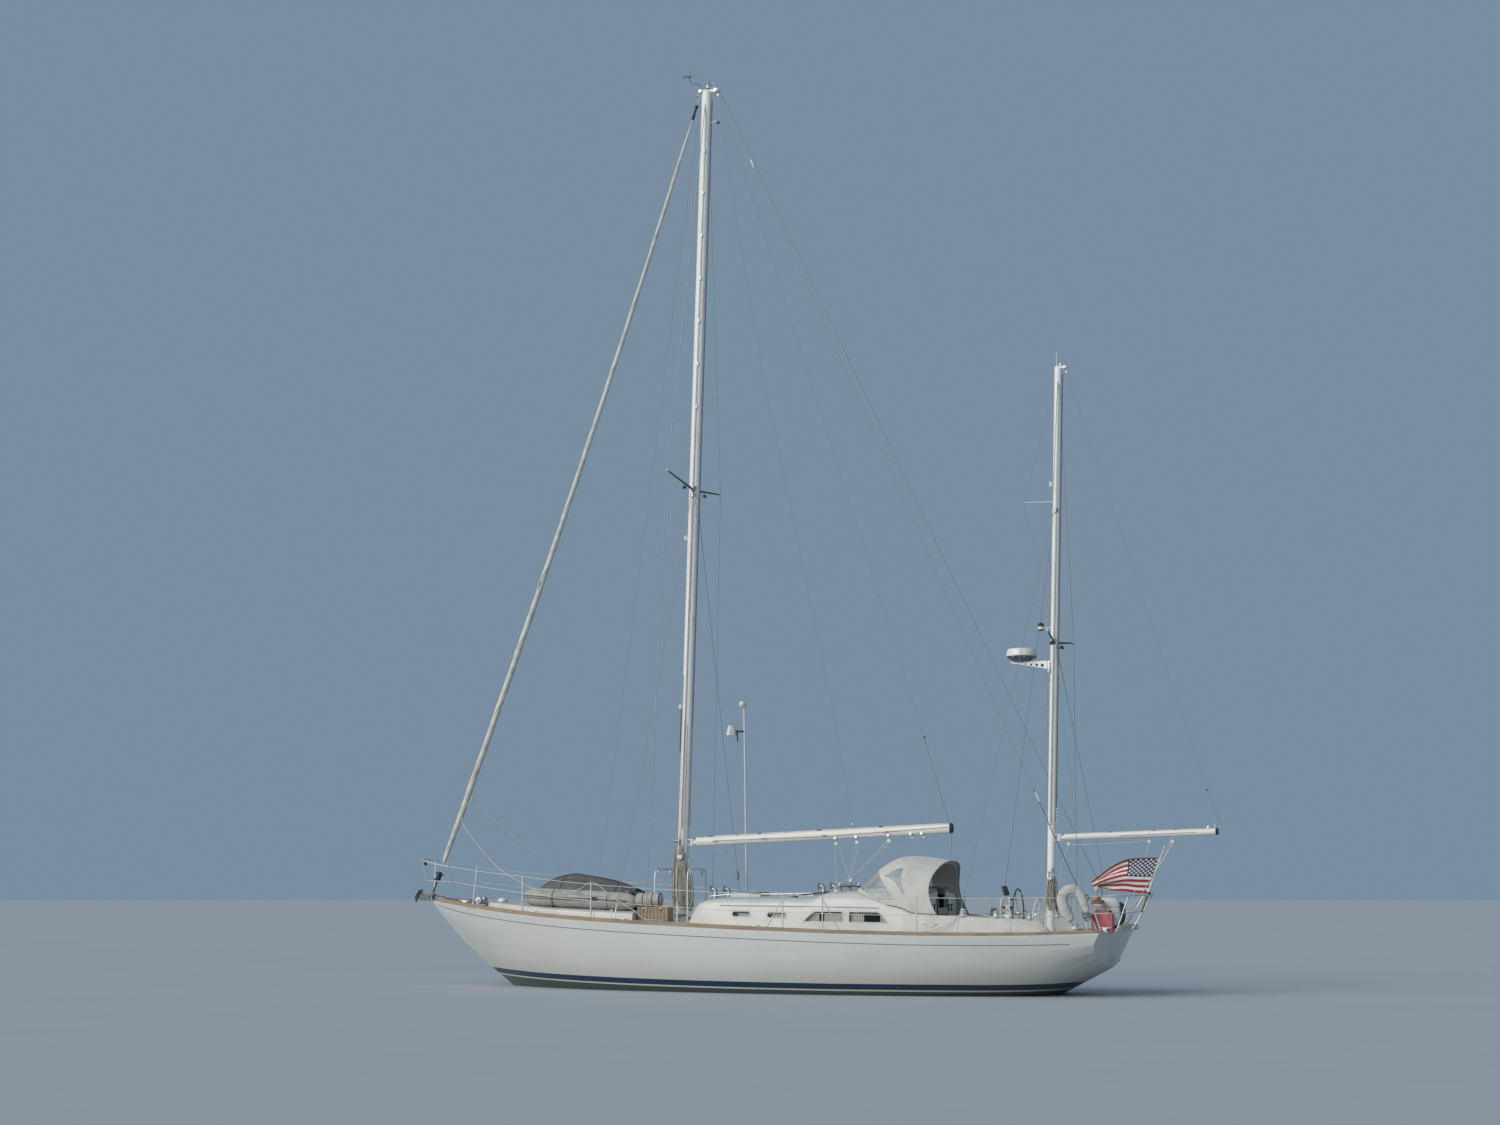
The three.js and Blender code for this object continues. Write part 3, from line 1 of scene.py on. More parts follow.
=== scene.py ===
import functools
import random
from math import copysign, cos, exp, pi, radians, sin, tan

import bmesh
import bpy
from mathutils import Matrix, Vector, noise


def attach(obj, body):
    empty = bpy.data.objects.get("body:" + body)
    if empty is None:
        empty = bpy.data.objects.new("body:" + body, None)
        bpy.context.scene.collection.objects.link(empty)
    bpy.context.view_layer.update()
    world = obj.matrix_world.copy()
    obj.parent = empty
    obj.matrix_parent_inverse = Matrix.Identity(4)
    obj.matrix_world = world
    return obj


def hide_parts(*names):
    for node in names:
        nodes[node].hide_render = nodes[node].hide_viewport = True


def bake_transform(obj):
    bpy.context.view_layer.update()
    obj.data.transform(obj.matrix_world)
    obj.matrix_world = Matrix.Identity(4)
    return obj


# A cruising ketch afloat. Metres: the bow points to -X, starboard is +Y, the water is at z 0.
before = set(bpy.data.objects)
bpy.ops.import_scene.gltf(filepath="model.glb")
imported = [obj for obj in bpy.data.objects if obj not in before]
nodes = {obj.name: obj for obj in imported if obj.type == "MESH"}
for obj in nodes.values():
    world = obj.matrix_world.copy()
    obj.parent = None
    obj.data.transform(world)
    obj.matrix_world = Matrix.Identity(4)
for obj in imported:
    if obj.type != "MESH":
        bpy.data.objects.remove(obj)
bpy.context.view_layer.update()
scene = bpy.context.scene
draws = random.Random(7)


def report(stage):
    print("scene:", stage, flush=True)


# Camera: matched to the boat's level masts, waterline and mirror pairs of fittings
viewpoint = {"place": (13.58, -38.69, 1.9), "around": 20.0, "up": 8.34, "lens": 52.8, "sensor": 36.0}
look = Vector((-sin(radians(viewpoint["around"])), cos(radians(viewpoint["around"])),
    tan(radians(viewpoint["up"]))))
cameraData = bpy.data.cameras.new("camera")
cameraData.lens = viewpoint["lens"]
cameraData.sensor_width = viewpoint["sensor"]
cameraData.clip_end = 600
camera = bpy.data.objects.new("camera", cameraData)
camera.location = viewpoint["place"]
camera.rotation_euler = look.to_track_quat("-Z", "Y").to_euler()
scene.collection.objects.link(camera)
scene.camera = camera


# Lines of the boat, as tables of x and values, read along a smooth curve
def along(rows, x):
    at = min(max(x, rows[0][0]), rows[-1][0])
    i = 0
    while i < len(rows) - 2 and at > rows[i + 1][0]:
        i += 1

    def slope(k):
        before, after = rows[max(k - 1, 0)], rows[min(k + 1, len(rows) - 1)]
        return (after[1] - before[1]) / (after[0] - before[0])

    span = rows[i + 1][0] - rows[i][0]
    t = (at - rows[i][0]) / span
    rise = 3 * t * t - 2 * t ** 3
    ease = t * (1 - t) ** 2 * span * slope(i) - t * t * (1 - t) * span * slope(i + 1)
    return rows[i][1] * (1 - rise) + rows[i + 1][1] * rise + ease


halfBeamRows = [(-7.08, 0.036), (-6.72, 0.25), (-6.37, 0.45), (-5.73, 0.79), (-5.3, 0.98), (-4.6, 1.235),
    (-3.6, 1.51), (-1.9, 1.74), (0, 1.845), (1.6, 1.84), (3.2, 1.735), (4.5, 1.575), (5.3, 1.44), (6.2, 1.25),
    (6.9, 1.09)]
sheerRows = [(-7.08, 1.61), (-6.72, 1.565), (-6.37, 1.525), (-5.73, 1.456), (-5.3, 1.415), (-4.6, 1.355),
    (-3.6, 1.282), (-1.9, 1.195), (0, 1.12), (1.6, 1.068), (3.2, 1.04), (4.5, 1.042), (5.3, 1.058),
    (6.2, 1.092), (6.9, 1.128)]
deckCamber, widestHalf = 0.06, 1.85


def halfBeam(x):
    return along(halfBeamRows, x)


def deckHeight(x, y=0.0):
    half = halfBeam(x)
    return along(sheerRows, x) + deckCamber * half / widestHalf * (1 - (y / half) ** 2)


# Masts lean aft about their feet
mainMast = {"x": -1.88, "rake": 1.7, "foreAft": 0.21, "across": 0.15, "top": 17.38}
mizzenMast = {"x": 5.12, "rake": 2.0, "foreAft": 0.14, "across": 0.105, "top": 11.25}


def onMast(mast, z, forward=0.0, side=0.0):
    foot = deckHeight(mast["x"])
    lean = tan(radians(mast["rake"]))
    return Vector((mast["x"] + (z - foot) * lean - forward, side, z + forward * lean))


# Colours and materials
def linear(code):
    parts = [int(code[i:i + 2], 16) / 255 for i in (1, 3, 5)]
    return tuple(c / 12.92 if c <= 0.04045 else ((c + 0.055) / 1.055) ** 2.4 for c in parts) + (1.0,)


def perMetre(millimetres):
    return 1000.0 / millimetres


def addNode(tree, kind, inputs=None, **settings):
    node = tree.nodes.new("ShaderNode" + kind)
    for name, value in settings.items():
        setattr(node, name, value)
    for name, value in (inputs or {}).items():
        if isinstance(value, bpy.types.NodeSocket):
            tree.links.new(value, node.inputs[name])
        else:
            node.inputs[name].default_value = value
    return node


mixA, mixB, mixOut = 6, 7, 2  # the colour sockets of a Mix node


material, slotOf = {}, {}


# A finish: two tones laid in soft patches, and a fine grain that moves the gloss and the surface
def finish(name, slot, colour, patch, patchMm, grainMm, roughness, stretch=(1, 1, 1), bump=0.3,
        patchFrom=0.45, patchTo=0.75, patchMost=0.6, glossVary=0.06, metallic=0.0, coat=0.0, sheen=0.0,
        opaque=1.0, ior=None):
    own = material[name] = bpy.data.materials.new(name)
    slotOf[name] = slot
    own.use_nodes = True
    tree = own.node_tree
    shader = tree.nodes["Principled BSDF"]
    place = addNode(tree, "TexCoord").outputs["Object"]
    stretched = addNode(tree, "Mapping", {"Vector": place, "Scale": stretch}).outputs[0]
    patches = addNode(tree, "TexNoise", {"Vector": stretched, "Scale": perMetre(patchMm), "Detail": 5.0,
        "Roughness": 0.6})
    amount = addNode(tree, "MapRange", {"Value": patches.outputs["Fac"], "From Min": patchFrom,
        "From Max": patchTo, "To Max": patchMost})
    tones = addNode(tree, "Mix", {0: amount.outputs[0], mixA: linear(colour), mixB: linear(patch)},
        data_type="RGBA")
    grain = addNode(tree, "TexNoise", {"Vector": stretched, "Scale": perMetre(grainMm), "Detail": 3.0})
    gloss = addNode(tree, "MapRange", {"Value": grain.outputs["Fac"], "To Min": roughness - glossVary,
        "To Max": roughness + glossVary})
    relief = addNode(tree, "Bump", {"Strength": bump, "Distance": grainMm / 4000,
        "Height": grain.outputs["Fac"]})
    tree.links.new(tones.outputs[mixOut], shader.inputs["Base Color"])
    tree.links.new(gloss.outputs[0], shader.inputs["Roughness"])
    tree.links.new(relief.outputs[0], shader.inputs["Normal"])
    for socket, value in (("Metallic", metallic), ("Coat Weight", coat), ("Coat Roughness", 0.1),
            ("Sheen Weight", sheen), ("Alpha", opaque)):
        shader.inputs[socket].default_value = value
    if ior:
        shader.inputs["IOR"].default_value = ior


def colourSource(material):
    link = material.node_tree.nodes["Principled BSDF"].inputs["Base Color"].links[0]
    return link.from_socket


# Lays another colour over the base wherever the mask is 1
def layOver(material, mask, code):
    tree = material.node_tree
    over = addNode(tree, "Mix", {0: mask, mixA: colourSource(material), mixB: linear(code)}, data_type="RGBA")
    tree.links.new(over.outputs[mixOut], tree.nodes["Principled BSDF"].inputs["Base Color"])


# The finishes, each with the record's slot, two colours, sizes of its patches and grain in mm, and roughness
# polyester gelcoat, moulded and waxed: even white with a soft shine and faint chalking
finish("hullGelcoat", "hull_gelcoat", "#c9c9c5", "#b7b5ad", 900, 60, 0.3, stretch=(0.35, 0.35, 1), bump=0.05,
    coat=0.3, patchMost=0.45)
finish("trunkGelcoat", "deck_gelcoat", "#cccbc6", "#b1aca0", 380, 40, 0.38, bump=0.06, coat=0.15,
    patchMost=0.4)
finish("deckGelcoat", "deck_gelcoat", "#c9c7c0", "#aeaa9d", 260, 9, 0.55, bump=0.2, patchMost=0.5)
# teak left bare: silver brown, open grain along the boat, dark in the hollows
finish("teak", "teak", "#a08d76", "#6f6152", 70, 6, 0.75, stretch=(0.07, 1, 1), bump=0.6, patchMost=0.75)
# mahogany under old varnish: warm brown with a thin shine
finish("varnish", "varnished_wood", "#7c5535", "#4f3320", 60, 5, 0.35, stretch=(1, 0.1, 1), bump=0.2,
    coat=0.5)
# two-part paint on aluminium: cream white, chalky, with scuffs down the length
finish("sparPaint", "spar", "#e2e1dd", "#a8a49c", 90, 25, 0.42, stretch=(1, 1, 0.16), bump=0.12,
    patchFrom=0.56, patchTo=0.78, patchMost=0.55)
finish("boomPaint", "spar", "#dedad2", "#a9a399", 90, 25, 0.4, stretch=(0.16, 1, 1), bump=0.1, patchFrom=0.56,
    patchTo=0.8, patchMost=0.5)
# spreaders: aluminium painted dark grey as the shade seen on their undersides, with paler patches chalked by
# the sun
finish("spreaderShadeGrey", "spar", "#4b4f52", "#6f7273", 110, 20, 0.5, stretch=(1, 0.3, 1), bump=0.1,
    patchMost=0.5)
# stainless tube, polished and gone slightly dull in salt air
finish("stainless", "stainless", "#d2d5d5", "#b0aea8", 45, 12, 0.45, bump=0.05, metallic=0.6, patchMost=0.5)
# wire rope of nineteen strands: the lay shows as a fine slanting ripple, drawn coarse
finish("wireRope", "wire", "#9da1a2", "#6e7174", 30, 8, 0.62, stretch=(1, 1, 0.6), bump=0.5, metallic=0.85)
# white plastic sleeve on the guard wires
finish("sleeve", "white_plastic", "#d5d3cc", "#a7a297", 90, 8, 0.45, bump=0.1)
# hot-dip zinc: flat grey spangle with rust bloom
finish("galvanised", "galvanised", "#8d9092", "#7d6656", 45, 12, 0.6, metallic=0.8, patchFrom=0.55)
# stem fitting: stainless gone dull and dark
finish("wornSteel", "stainless", "#6a6f72", "#3f4346", 60, 8, 0.55, bump=0.2, metallic=0.7)
# the hoops by the mast: thick tube, the palest of the stainless
finish("brightTube", "stainless", "#d6d9d9", "#aeb2b3", 80, 6, 0.42, metallic=0.35, patchMost=0.4)
# window rims: bare alloy, gone pale
finish("paleAlloy", "spar", "#b9bbb9", "#8f918f", 60, 6, 0.5, bump=0.1, metallic=0.3)
# anodised aluminium: satin grey
finish("anodised", "spar", "#b4b6b6", "#8d8f90", 60, 6, 0.45, metallic=0.9, bump=0.08)
finish("bronze", "bronze", "#9a7a46", "#5d6b55", 40, 10, 0.42, metallic=1.0)
finish("keelPaint", "keel_iron", "#3c4a47", "#56605a", 240, 6, 0.85, bump=0.5)
finish("engineIron", "engine_iron", "#4f5a5e", "#39342f", 80, 6, 0.6, metallic=0.4)
# woven polyester sail: matt off-white with grey weather in the creases
finish("sailcloth", "sailcloth", "#cfccc5", "#9a958c", 160, 3, 0.8, bump=0.4, sheen=0.2, patchMost=0.7)
# acrylic canvas: cream, plain weave drawn at 3 mm so that it shows, with a little bloom from the weather
finish("canvas", "canvas", "#c8c6be", "#a6a297", 300, 3, 0.9, bump=0.5, sheen=0.3, patchMost=0.5)
finish("canvasTrim", "canvas", "#bebab0", "#918c81", 90, 3, 0.9, bump=0.5, sheen=0.2)
# pressed vinyl window: clear, faintly milky and rippled
finish("clearVinyl", "window_glass", "#c9cfd0", "#aab3b4", 220, 90, 0.12, bump=0.3, opaque=0.3, ior=1.5)
# coated fabric of the dinghy: matt pale grey, scuffed
finish("dinghyFabric", "dinghy_fabric", "#aeada7", "#858279", 170, 4, 0.7, bump=0.3, patchMost=0.6)
finish("dinghyBottom", "dinghy_floor_fabric", "#686866", "#494947", 200, 5, 0.7, bump=0.3, patchMost=0.7)
finish("darkFabric", "canvas", "#3d3f40", "#565654", 90, 4, 0.85, bump=0.4)
# tempered glass, lightly smoked
finish("windowGlass", "window_glass", "#3d4446", "#2c3234", 500, 200, 0.06, bump=0.02, glossVary=0.02,
    opaque=0.13, ior=1.5)
finish("smokedAcrylic", "hatch_acrylic", "#3b3f40", "#55504a", 120, 40, 0.18, bump=0.04, glossVary=0.05,
    ior=1.49)
finish("curtainCloth", "canvas", "#e0dbcf", "#c4bdae", 60, 3, 0.95, bump=0.4, sheen=0.3)
finish("whitePlastic", "white_plastic", "#d9d8d2", "#bab5a8", 200, 12, 0.36, bump=0.06, patchMost=0.4)
finish("radarPlastic", "white_plastic", "#dcdbd6", "#bcb8ae", 300, 14, 0.34, bump=0.05, patchMost=0.35)
finish("radarBelow", "white_plastic", "#56676c", "#6d7b7e", 200, 14, 0.5, bump=0.05)
finish("clearLens", "white_plastic", "#cfd4d4", "#b9bfc0", 60, 8, 0.15, bump=0.1, ior=1.5)
finish("blackPlastic", "black_plastic", "#24282a", "#3a3d3d", 50, 5, 0.5)
# blow-moulded polythene gone pink in the sun
finish("redPlastic", "red_plastic", "#c2686a", "#d08f8c", 120, 7, 0.5, bump=0.2, patchMost=0.6)
finish("palePlastic", "red_plastic", "#d9c4be", "#bfa39d", 40, 6, 0.5)
finish("buoyCover", "buoy_cover", "#bfbdb6", "#918c80", 90, 4, 0.8, bump=0.4, sheen=0.2, patchMost=0.6)
# three-strand and braided polyester: off-white, grey where hands and weather work it
finish("rope", "rope", "#cbc7bd", "#8f897c", 55, 7, 0.85, bump=0.7, sheen=0.2, patchMost=0.7)
finish("greyRope", "rope", "#9d9a92", "#6d6a63", 50, 7, 0.85, bump=0.7)
finish("darkRope", "rope", "#3f4a58", "#7d7a72", 24, 7, 0.85, bump=0.7)
finish("ropeMix", "rope", "#b1aa99", "#5c5b57", 22, 7, 0.85, bump=0.7)
finish("greenCloth", "canvas", "#24463c", "#1a2f2a", 80, 4, 0.9, bump=0.4)
finish("flagRed", "flag_cloth", "#9a2c38", "#7c2230", 90, 3, 0.9, bump=0.4, sheen=0.2)
finish("flagWhite", "flag_cloth", "#d9d6d0", "#b9b4ac", 90, 3, 0.9, bump=0.4, sheen=0.2)
finish("flagBlue", "flag_cloth", "#2a3450", "#202940", 90, 3, 0.9, bump=0.4, sheen=0.2)
finish("greyWood", "varnished_wood", "#a19f99", "#77736b", 80, 8, 0.7, stretch=(1, 0.1, 1), bump=0.3)
# ensign staff: white paint over wood, the foot worn to bare brown
finish("staffPaint", "varnished_wood", "#cbc6bd", "#98928a", 60, 8, 0.5, stretch=(1, 1, 0.3), bump=0.2)
# studio floor: pale and matt
finish("floorPaint", None, "#b4b9bc", "#abb1b5", 4000, 500, 0.7, bump=0.0)


# 1 where a value lies between two others, with a soft edge, as a chain of nodes
def band(tree, value, low, high, soft=0.002):
    over = addNode(tree, "MapRange", {"Value": value, "From Min": low - soft, "From Max": low + soft})
    under = addNode(tree, "MapRange", {"Value": value, "From Min": high - soft, "From Max": high + soft,
        "To Min": 1.0, "To Max": 0.0})
    return addNode(tree, "Math", {0: over.outputs[0], 1: under.outputs[0]}, operation="MULTIPLY").outputs[0]


# Height of a painted line at x, as a node that follows a table of x and z
def heightLine(tree, x, rows):
    first, last = rows[0][0], rows[-1][0]
    low, high = min(z for _, z in rows), max(z for _, z in rows)
    share = addNode(tree, "MapRange", {"Value": x, "From Min": first, "From Max": last})
    curve = addNode(tree, "FloatCurve", {"Value": share.outputs[0]})
    points = curve.mapping.curves[0].points
    while len(points) > 2:
        points.remove(points[-1])
    for i, (at, z) in enumerate(rows):
        spot = ((at - first) / (last - first), (z - low) / (high - low))
        if i == 0:
            points[0].location = spot
        elif i == len(rows) - 1:
            points[len(points) - 1].location = spot
        else:
            points.new(*spot)
    curve.mapping.update()
    return addNode(tree, "MapRange", {"Value": curve.outputs[0], "To Min": low, "To Max": high}).outputs[0]


coveRows = [(-6.9, 1.509), (-6.37, 1.41), (-5.3, 1.275), (-3.6, 1.13), (-1.9, 1.04), (0, 0.965), (1.6, 0.913),
    (3.2, 0.88), (4.5, 0.879), (5.75, 0.905)]
bootRows = [(-6.2, 0.37), (-5.2, 0.32), (-3.6, 0.265), (-1.4, 0.225), (1.6, 0.205), (4.2, 0.205), (5.6, 0.24)]
hullStripes = {"cove": 0.007, "bootDeep": 0.1, "whiteDeep": 0.028, "scumHigh": 0.16, "scumSoft": 0.12,
    "scum": 0.3}


def paintHull():
    own = material["hullGelcoat"]
    tree = own.node_tree
    apart = addNode(tree, "SeparateXYZ", {0: addNode(tree, "TexCoord").outputs["Object"]})
    x, z = apart.outputs["X"], apart.outputs["Z"]
    rise = addNode(tree, "Math", {0: z, 1: heightLine(tree, x, coveRows)}, operation="SUBTRACT")
    cove = addNode(tree, "Math", {0: band(tree, rise.outputs[0], -hullStripes["cove"], hullStripes["cove"]),
        1: band(tree, x, coveRows[0][0], coveRows[-1][0])}, operation="MULTIPLY")
    layOver(own, cove.outputs[0], "#77756f")
    over = addNode(tree, "Math", {0: z, 1: heightLine(tree, x, bootRows)}, operation="SUBTRACT")
    deep = -hullStripes["bootDeep"]
    scum = band(tree, over.outputs[0], 0.0, hullStripes["scumHigh"], hullStripes["scumSoft"])
    faded = addNode(tree, "Math", {0: scum, 1: hullStripes["scum"]}, operation="MULTIPLY")
    layOver(own, faded.outputs[0], "#b5ad96")
    layOver(own, band(tree, over.outputs[0], deep, 0.0), "#0c2f4c")
    layOver(own, band(tree, over.outputs[0], -9.0, deep - hullStripes["whiteDeep"]), "#3f4c48")


paintHull()

nonskid = {"margin": 0.12, "patternMm": 7, "panel": 0.8, "gap": 0.03}
chocks = {"x": (-4.25, -3.0), "halfThick": 0.05, "inner": 0.46, "outer": 0.66, "low": 1.335, "high": 1.7}


# Non-slip panels moulded in the deck: a fine diamond roughness inside smooth margins
def paintDeck():
    own = material["deckGelcoat"]
    tree = own.node_tree
    place = addNode(tree, "TexCoord").outputs["Object"]
    apart = addNode(tree, "SeparateXYZ", {0: place})
    half = heightLine(tree, apart.outputs["X"], halfBeamRows)
    off = addNode(tree, "Math", {0: apart.outputs["Y"]}, operation="ABSOLUTE")
    inside = addNode(tree, "Math", {0: half, 1: off.outputs[0]}, operation="SUBTRACT")
    panels = addNode(tree, "Math", {0: apart.outputs["X"], 1: nonskid["panel"]}, operation="PINGPONG")
    clear = addNode(tree, "Math", {0: panels.outputs[0], 1: nonskid["gap"]}, operation="GREATER_THAN")
    facing = addNode(tree, "SeparateXYZ", {0: addNode(tree, "NewGeometry").outputs["Normal"]})
    flat = addNode(tree, "Math", {0: band(tree, facing.outputs["Z"], 0.9, 2.0, 0.03), 1: clear.outputs[0]},
        operation="MULTIPLY")
    mask = addNode(tree, "Math", {0: band(tree, inside.outputs[0], nonskid["margin"], 9.0),
        1: flat.outputs[0]}, operation="MULTIPLY")
    layOver(own, mask.outputs[0], "#c3bfb0")
    studs = addNode(tree, "TexVoronoi", {"Vector": place, "Scale": perMetre(nonskid["patternMm"])})
    high = addNode(tree, "Math", {0: studs.outputs["Distance"], 1: mask.outputs[0]}, operation="MULTIPLY")
    bump = addNode(tree, "Bump", {"Strength": 0.5, "Distance": 0.002, "Height": high.outputs[0]})
    tree.links.new(bump.outputs[0], tree.nodes["Principled BSDF"].inputs["Normal"])
    # the dinghy's chocks are painted dark brown: partly their dark wood, partly painted shade under the
    # dinghy's tube
    for x in chocks["x"]:
        mask = band(tree, off.outputs[0], chocks["inner"], chocks["outer"])
        for value, low, high in ((apart.outputs["X"], x - chocks["halfThick"], x + chocks["halfThick"]),
                (apart.outputs["Z"], chocks["low"], chocks["high"])):
            mask = addNode(tree, "Math", {0: mask, 1: band(tree, value, low, high)},
                operation="MULTIPLY").outputs[0]
        layOver(own, mask, "#55463a")


paintDeck()


# The foot of the staff is bare brown wood up to its lower fitting
def paintStaff():
    tree = material["staffPaint"].node_tree
    apart = addNode(tree, "SeparateXYZ", {0: addNode(tree, "TexCoord").outputs["Object"]})
    layOver(material["staffPaint"], band(tree, apart.outputs["Z"], 0.0, 1.73, 0.01), "#5f4a3a")


paintStaff()
report("materials")


upward = (0, 0, 1)
lying = Matrix.Rotation(pi / 2, 4, "X")


def lifted(height):
    return Vector((0, 0, height))


# A power that keeps the sign: below 1 it squares off a circle
def signedPower(value, power):
    return copysign(abs(value) ** power, value)


def turnOut(form):
    bmesh.ops.recalc_face_normals(form, faces=form.faces)


# Closes a shell's seam and its open ends
def closeUp(form, seam=0.0001):
    bmesh.ops.remove_doubles(form, verts=form.verts, dist=seam)
    bmesh.ops.holes_fill(form, edges=[edge for edge in form.edges if edge.is_boundary], sides=0)
    turnOut(form)


# Making pieces: a place whose Z axis points along aim
def placed(at, aim=upward, turn=0.0):
    facing = Vector(aim).to_track_quat("Z", "Y").to_matrix().to_4x4()
    return Matrix.Translation(at) @ facing @ Matrix.Rotation(turn, 4, "Z")


# Makes one small shape, puts it at a place or in a whole matrix, and joins it to the piece
def stamp(form, at, aim, look, shape, *sizes):
    small = bmesh.new()
    shape(small, *sizes)
    place = at if isinstance(at, Matrix) else placed(at, aim)
    small.transform(place)
    if place.to_3x3().determinant() < 0:
        bmesh.ops.reverse_faces(small, faces=small.faces)
    joinTo(form, small, look)


# Joins a shape to the piece, in one finish unless its faces have theirs already
def joinTo(form, small, look=None):
    if look is not None:
        for face in small.faces:
            face.material_index = look
    mesh = bpy.data.meshes.new("stamp")
    small.to_mesh(mesh)
    small.free()
    form.from_mesh(mesh)
    bpy.data.meshes.remove(mesh)


def block(form, size, edge, steps):
    bmesh.ops.create_cube(form, size=1.0)
    bmesh.ops.scale(form, verts=form.verts, vec=size)
    bmesh.ops.bevel(form, geom=form.edges, offset=edge, segments=steps, profile=0.5, affect="EDGES",
        material=-1)


def shaft(form, radius, length, tip, sides):
    bmesh.ops.create_cone(form, cap_ends=True, segments=sides, radius1=radius, radius2=radius if tip is None
        else tip, depth=length)
    bmesh.ops.translate(form, verts=form.verts, vec=(0, 0, length / 2))


# Spins a profile of radius and height, from axis to axis or closed on itself
def turned(form, profile, sides):
    verts = [form.verts.new((radius, 0, height)) for radius, height in profile]
    edges = [form.edges.new(pair) for pair in zip(verts, verts[1:])]
    bmesh.ops.spin(form, geom=verts + edges, cent=(0, 0, 0), axis=(0, 0, 1), angle=2 * pi, steps=sides,
        use_merge=True)
    bmesh.ops.remove_doubles(form, verts=form.verts, dist=0.00001)
    turnOut(form)


def hoopShape(form, radius, bar, sides, barSides):
    made = bmesh.ops.create_circle(form, segments=barSides, radius=bar,
        matrix=Matrix.Translation((radius, 0, 0)) @ lying)
    ringEdges = list({edge for vert in made["verts"] for edge in vert.link_edges})
    bmesh.ops.spin(form, geom=made["verts"] + ringEdges, cent=(0, 0, 0), axis=(0, 0, 1), angle=2 * pi,
        steps=sides, use_merge=True)
    bmesh.ops.remove_doubles(form, verts=form.verts, dist=0.00001)
    turnOut(form)


def squashedBall(form, size, square):
    bmesh.ops.create_uvsphere(form, u_segments=32, v_segments=20, radius=1.0)
    for vert in form.verts:
        vert.co = Vector([signedPower(c, square) * size[i] for i, c in enumerate(vert.co)])
    bmesh.ops.remove_doubles(form, verts=form.verts, dist=0.0005)
    turnOut(form)


def box(form, at, look, size, edge, aim=upward, steps=2):
    stamp(form, at, aim, look, block, size, edge, steps)


# A profile that starts or ends off the axis is closed to it, unless it is closed on itself
def lathe(form, at, look, profile, aim=upward, sides=20):
    if profile[0] != profile[-1]:
        (first, low), (last, high) = profile[0], profile[-1]
        profile = [(0, low)] * (first > 0) + profile + [(0, high)] * (last > 0)
    stamp(form, at, aim, look, turned, profile, sides)


def peg(form, at, look, radius, length, aim=upward, tip=None, sides=12):
    stamp(form, at, aim, look, shaft, radius, length, tip, sides)


def hoop(form, at, look, radius, bar, aim=upward, sides=16, barSides=6):
    stamp(form, at, aim, look, hoopShape, radius, bar, sides, barSides)


def ball(form, at, look, size, square, aim=upward):
    stamp(form, at, aim, look, squashedBall, size, square)


def rod(form, a, b, radius, look=0, tip=None, sides=10):
    run = Vector(b) - Vector(a)
    peg(form, a, look, radius, run.length, run, tip, sides)


# Wires, ropes and bent tubes: each route is a round line, straight between its points or smooth
def lineData(routes, radius, smooth, steps=8, sides=2):
    data = bpy.data.curves.new("line", "CURVE")
    data.dimensions = "3D"
    data.bevel_depth = radius
    data.bevel_resolution = sides
    data.use_fill_caps = True
    data.resolution_u = steps
    for route in routes:
        spline = data.splines.new("BEZIER" if smooth else "POLY")
        points = spline.bezier_points if smooth else spline.points
        points.add(len(route) - 1)
        for point, place in zip(points, route):
            if smooth:
                point.co = place
                point.handle_left_type = point.handle_right_type = "AUTO"
            else:
                point.co = (*place, 1.0)
    return data


def lines(form, routes, radius, look=0, smooth=False, steps=8, sides=2):
    thing = bpy.data.objects.new("line", lineData(routes, radius, smooth, steps, sides))
    mesh = bpy.data.meshes.new_from_object(thing)
    mesh.polygons.foreach_set("material_index", [look] * len(mesh.polygons))
    form.from_mesh(mesh)
    data = thing.data
    bpy.data.objects.remove(thing)
    bpy.data.curves.remove(data)
    bpy.data.meshes.remove(mesh)


def wire(form, route, radius, look=0, **more):
    lines(form, [route], radius, look, **more)


def bent(form, route, radius, look=0, **more):
    lines(form, [route], radius, look, smooth=True, **more)


# Points of a slack line between two places: it hangs lowest half way
def slack(a, b, drop, count=9):
    a, b = Vector(a), Vector(b)
    return [a.lerp(b, i / (count - 1)) - Vector((0, 0, drop * 4 * i / (count - 1) * (1 - i / (count - 1))))
        for i in range(count)]


# A grid from 0 to 1 both ways, with its own UV map, laid out by place(u, v)
def gridSheet(form, across, along, place):
    form.loops.layers.uv.new("UVMap")
    bmesh.ops.create_grid(form, x_segments=across, y_segments=along, size=0.5, calc_uvs=True)
    for vert in form.verts:
        vert.co = place(vert.co.x + 0.5, vert.co.y + 0.5)


def addPiece(name, form, looks, body="yacht", sharp=35.0, hides=()):
    mesh = bpy.data.meshes.new(name)
    form.to_mesh(mesh)
    form.free()
    for look in looks:
        mesh.materials.append(material[look])
    mesh.shade_smooth()
    mesh.set_sharp_from_angle(angle=radians(sharp))
    piece = bpy.data.objects.new(name, mesh)
    scene.collection.objects.link(piece)
    if body:
        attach(piece, body)
    if hides:
        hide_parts(*hides)
    return piece


bothSides = (("port", -1), ("starboard", 1))

